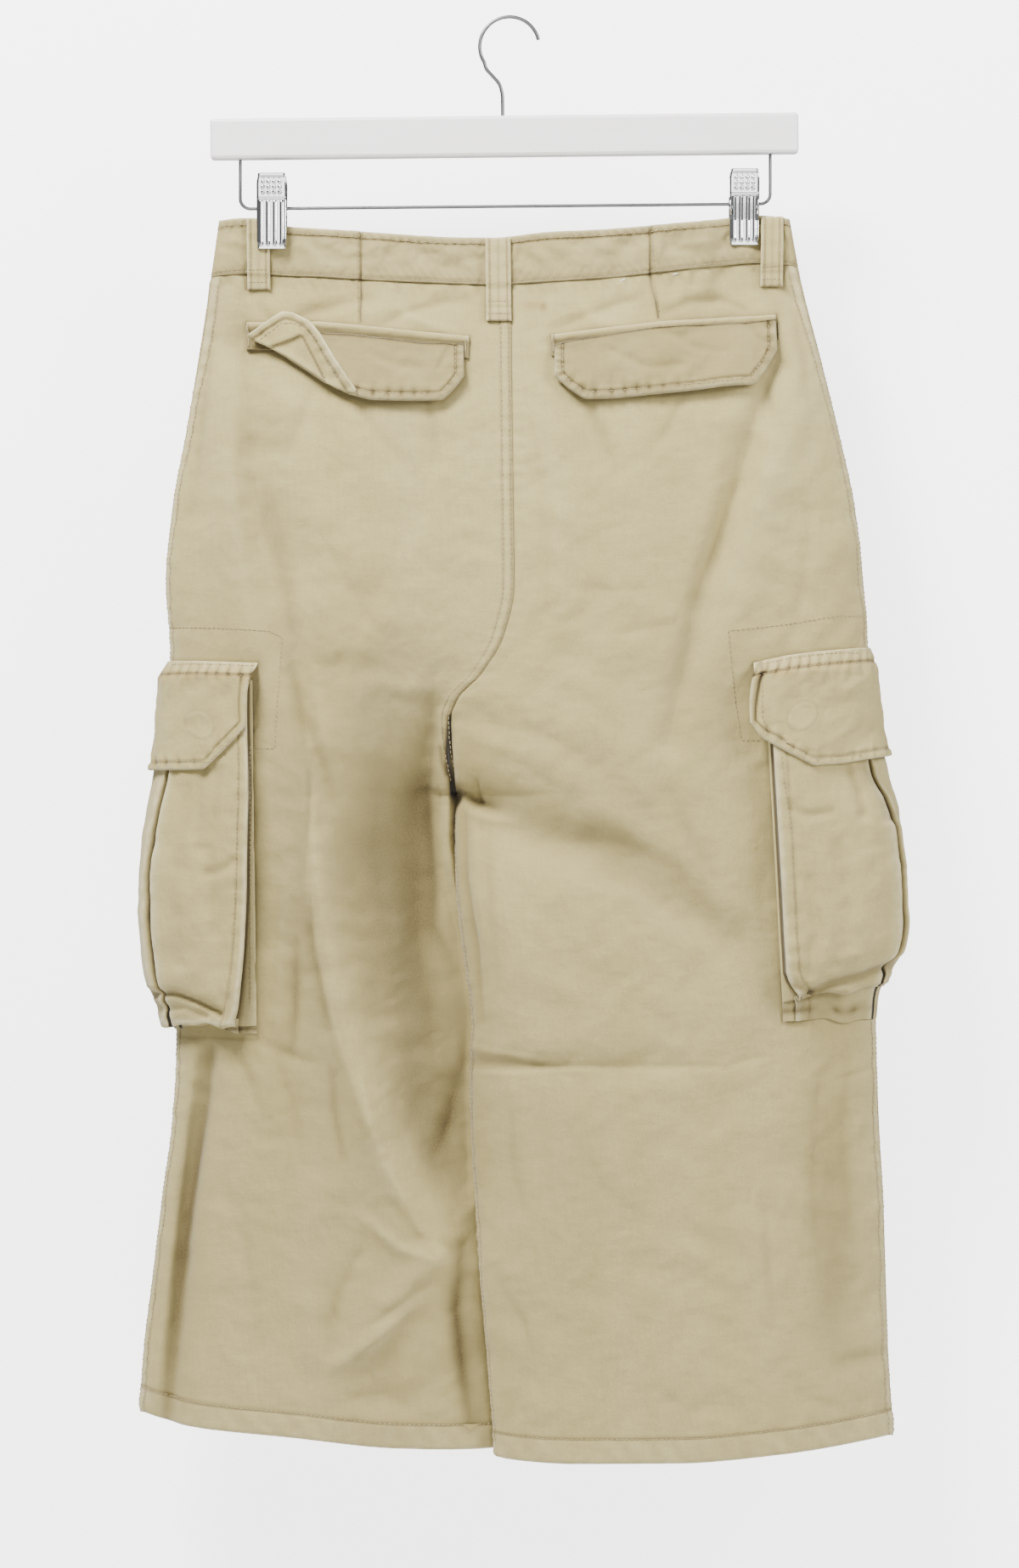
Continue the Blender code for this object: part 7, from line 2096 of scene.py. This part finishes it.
def add_cargo_stitches():
    cargo, tan = [], []
    for name, side in SIDES.items():
        flap, bag = f"cargo_flap_{name}_cloth", f"cargo_bag_{name}_cloth"
        rows = CARGO_FLAP_ROWS[side]
        last, last_x = rows[-1], abs(rows[-1].inner)
        inner_x = rows[0].inner + side * FLAP_EDGE
        path = [(inner_x, rows[0].top - 10.0), (inner_x, rows[0].bottom + 3.0)]
        path += [(row.inner + side * 3.2, row.bottom + 4.0) for row in rows[1:-1]]
        path += [(last.inner, last.bottom + 5.0), (side * (last_x + 15.0), last.bottom + 5.2)]
        cargo.append(cast_run(BACK, path, flap))
        for runs, fall, past in ((tan, 8.0, 15.0), (cargo, 1.8, 16.0)):
            line = [(row.inner + side * 2.0, row.top - fall) for row in rows]
            runs.append(cast_run(BACK, line + [(side * (last_x + past), last.top - fall)], flap))
        bag_rows = BAG_ROWS[side][2:-1]
        cargo.append(cast_run(BACK, [(row.inner + side * 5.8, row.z) for row in bag_rows], bag))
        cargo.append(cast_run(BACK, [(BAG_BASE_X[side] + side * 1.4, row.z) for row in bag_rows], bag))
    for side in (LEFT, RIGHT):
        cargo.append(cast_run(BACK, BAG_TOP_LINES[side], BACK_PANEL[side]))
    add_stitches("cargo_stitches", cargo, THREAD)
    add_stitches("tan_stitches", tan, THREAD_TAN)


def add_fly_stitches():
    second = [(x + 5.5 if x < -20 else x + 1.5, z + (5.0 if x > -30 else 0.0)) for x, z in FLY_LINE]
    runs = [cast_run(FRONT, path, "fly_cloth", "front_left_cloth") for path in (FLY_LINE, second)]
    runs.append(cast_run(FRONT, [(-3.5, -166.0), (-3.5, -300.0)], "fly_cloth"))
    add_stitches("fly_stitches", runs, THREAD)


def add_all_stitches():
    band = [name + "_cloth" for name in BACK_BANDS]
    add_seam_stitches()
    add_band_stitches(band)
    add_seam_shade_lines(band)
    add_loop_stitches()
    add_back_pocket_stitches()
    add_cargo_stitches()
    add_fly_stitches()
    welt = {LEFT: "back_welt_left_cloth", RIGHT: "back_welt_right_cloth"}
    tacks = [cast_run(BACK, path, welt[side], BACK_PANEL[side], step=0.7) for side, path in TACKS]
    add_stitches("bar_tacks", tacks, THREAD, 0.5, 1.2, 0.9)
    lint = [cast_run(BACK, path, *band, BACK_PANEL[RIGHT], step=0.5) for path in LINT]
    add_stitches("lint", lint, LINT_LOOK, 0.45, 1.3, 1.0)


# ---------------------------------------------------------------- the whole

def add_garment():
    for face_name, face in FACES.items():
        for side_name, side in SIDES.items():
            add_fine_panel(f"{face_name}_{side_name}", side, face)
    for names, face, ends in (
        (BACK_BANDS, BACK, (None, DART_X[LEFT], DART_X[RIGHT], None)),
        (FRONT_BANDS, FRONT, (None, FRONT_BAND_END, None)),
    ):
        for name, start, end in zip(names, ends, ends[1:]):
            add_fine_band(name, face, start, end)
    for row in LOOP_ROWS:
        add_fine_loop(row)
    for name, side in SIDES.items():
        add_fine_welt(name, side)
        add_fine_flap(name, side)
        add_fine_bag(name, side)
        add_fine_cargo_flap(name, side)
    add_fine_fly()
    add_fine_button()


def add_hanger():
    bpy.data.objects["hanger_bar"].material_slots[0].material = PAINT
    add_fine_hook()
    add_fine_rod()
    on_band = BAND_WALL + SEAM_GAP + SEAM_GAP + JAW_CLEAR
    on_loop = on_band + LAID_GAP + LOOP_ARCH + LOOP_WALL
    for name, side in SIDES.items():
        add_fine_jaw(f"clip_{name}_near", side, BACK, on_loop if side == LEFT else on_band)
        add_fine_jaw(f"clip_{name}_far", side, FRONT, on_band)
        add_clip_ears(side)


# ---------------------------------------------------------------- camera, stage and light

# Metres and watts from here on.
SENSOR_MM = 36.0
MIDDLE_Z = -0.4631
CAMERA_AWAY = 3.2
VIEW_HEIGHT = 0.9488
FLOOR_Z, FLOOR_HALF = -1.25, 6
WALL_Y, WALL_TOP, WALL_HALF = 0.055, 2.4, 3
PAPER = (0.86, 0.86, 0.86)
WALL_PAINT = (0.86, 0.86, 0.865)
WALL_GLOW = 3.0
WHITE = (1.0, 1.0, 1.0)
WORLD_STRENGTH = 0.17
Light = namedtuple("Light", "name place aim size power colour")
LIGHTS = table(
    Light,
    ("key", (-0.85, -1.02, 1.30), (0.0, 0.0, -0.44), (0.7, 0.7), 138.0, (1.0, 0.985, 0.955)),
    ("side", (1.7, -0.9, 0.45), (0.1, 0.0, -0.35), (0.8, 1.0), 54.0, (1.0, 0.99, 0.97)),
    ("back", (0.0, 2.2, 0.8), (0.0, 0.0, -0.45), (1.8, 1.4), 55.0, WHITE),
    ("card", (0.0, -3.7, -0.2), (0.0, 0.0, -0.2), (2.3, 2.3), 70.0, WHITE),
)


def add_camera():
    data = bpy.data.cameras.new("camera")
    data.sensor_fit = "VERTICAL"
    data.sensor_height = SENSOR_MM
    data.lens = SENSOR_MM * CAMERA_AWAY / VIEW_HEIGHT
    data.clip_start = 0.05
    data.clip_end = 50.0
    made = bpy.data.objects.new("camera", data)
    bpy.context.scene.collection.objects.link(made)
    made.location = (0.0, -CAMERA_AWAY, MIDDLE_Z)
    made.rotation_euler = (math.radians(90), 0.0, 0.0)
    bpy.context.scene.camera = made


def stage_material(name, colour, glows):
    """Matt paint; where it glows, it is white by itself and clear from behind."""
    n = Nodes(name)
    cloudy = n.noise(n.place(), 2.0, 2.0, 0.5)
    n.link(n.mix(n.span(cloudy, 0.3, 0.7), colour, dimmer(colour, 0.985)), n.shader.inputs["Base Color"])
    n.shader.inputs["Roughness"].default_value = 0.9
    if glows:
        n.shader.inputs["Emission Color"].default_value = (*WHITE, 1.0)
        n.shader.inputs["Emission Strength"].default_value = WALL_GLOW
        clear = n.add("ShaderNodeBsdfTransparent")
        facing = n.add("ShaderNodeNewGeometry").outputs["Backfacing"]
        mixed = n.add("ShaderNodeMixShader")
        n.link(facing, mixed.inputs[0])
        n.link(n.shader.outputs[0], mixed.inputs[1])
        n.link(clear.outputs[0], mixed.inputs[2])
        n.link(mixed.outputs[0], n.tree.nodes["Material Output"].inputs["Surface"])
    return n.material


def add_plane(name, corners, look):
    mesh = bpy.data.meshes.new(name)
    mesh.from_pydata(corners, [], [(0, 1, 2, 3)])
    made = bpy.data.objects.new(name, mesh)
    bpy.context.scene.collection.objects.link(made)
    mesh.materials.append(look)
    return made


def add_stage():
    floor, wall, y, z = FLOOR_HALF, WALL_HALF, WALL_Y, FLOOR_Z
    corners = [(-floor, -floor, z), (floor, -floor, z), (floor, floor, z), (-floor, floor, z)]
    add_plane("floor", corners, stage_material("floor_paper", PAPER, False))
    corners = [(-wall, y, z), (wall, y, z), (wall, y, WALL_TOP), (-wall, y, WALL_TOP)]
    backdrop = add_plane("backdrop", corners, stage_material("wall_paint", WALL_PAINT, True))
    for key in ("visible_diffuse", "visible_glossy", "visible_transmission", "visible_shadow"):
        setattr(backdrop, key, False)


def add_light():
    world = bpy.data.worlds.new("studio")
    bpy.context.scene.world = world
    world.use_nodes = True
    sky = world.node_tree.nodes["Background"].inputs
    sky["Color"].default_value = (*WHITE, 1.0)
    sky["Strength"].default_value = WORLD_STRENGTH
    for light in LIGHTS:
        data = bpy.data.lights.new(light.name, "AREA")
        data.shape = "RECTANGLE"
        data.size, data.size_y = light.size
        data.energy = light.power
        data.color = light.colour
        made = bpy.data.objects.new(light.name, data)
        bpy.context.scene.collection.objects.link(made)
        made.location = light.place
        aim = Vector(light.aim) - Vector(light.place)
        made.rotation_euler = aim.to_track_quat("-Z", "Y").to_euler()
    bpy.data.objects["card"].visible_diffuse = False


add_garment()
add_hanger()
add_all_stitches()
add_camera()
add_stage()
add_light()
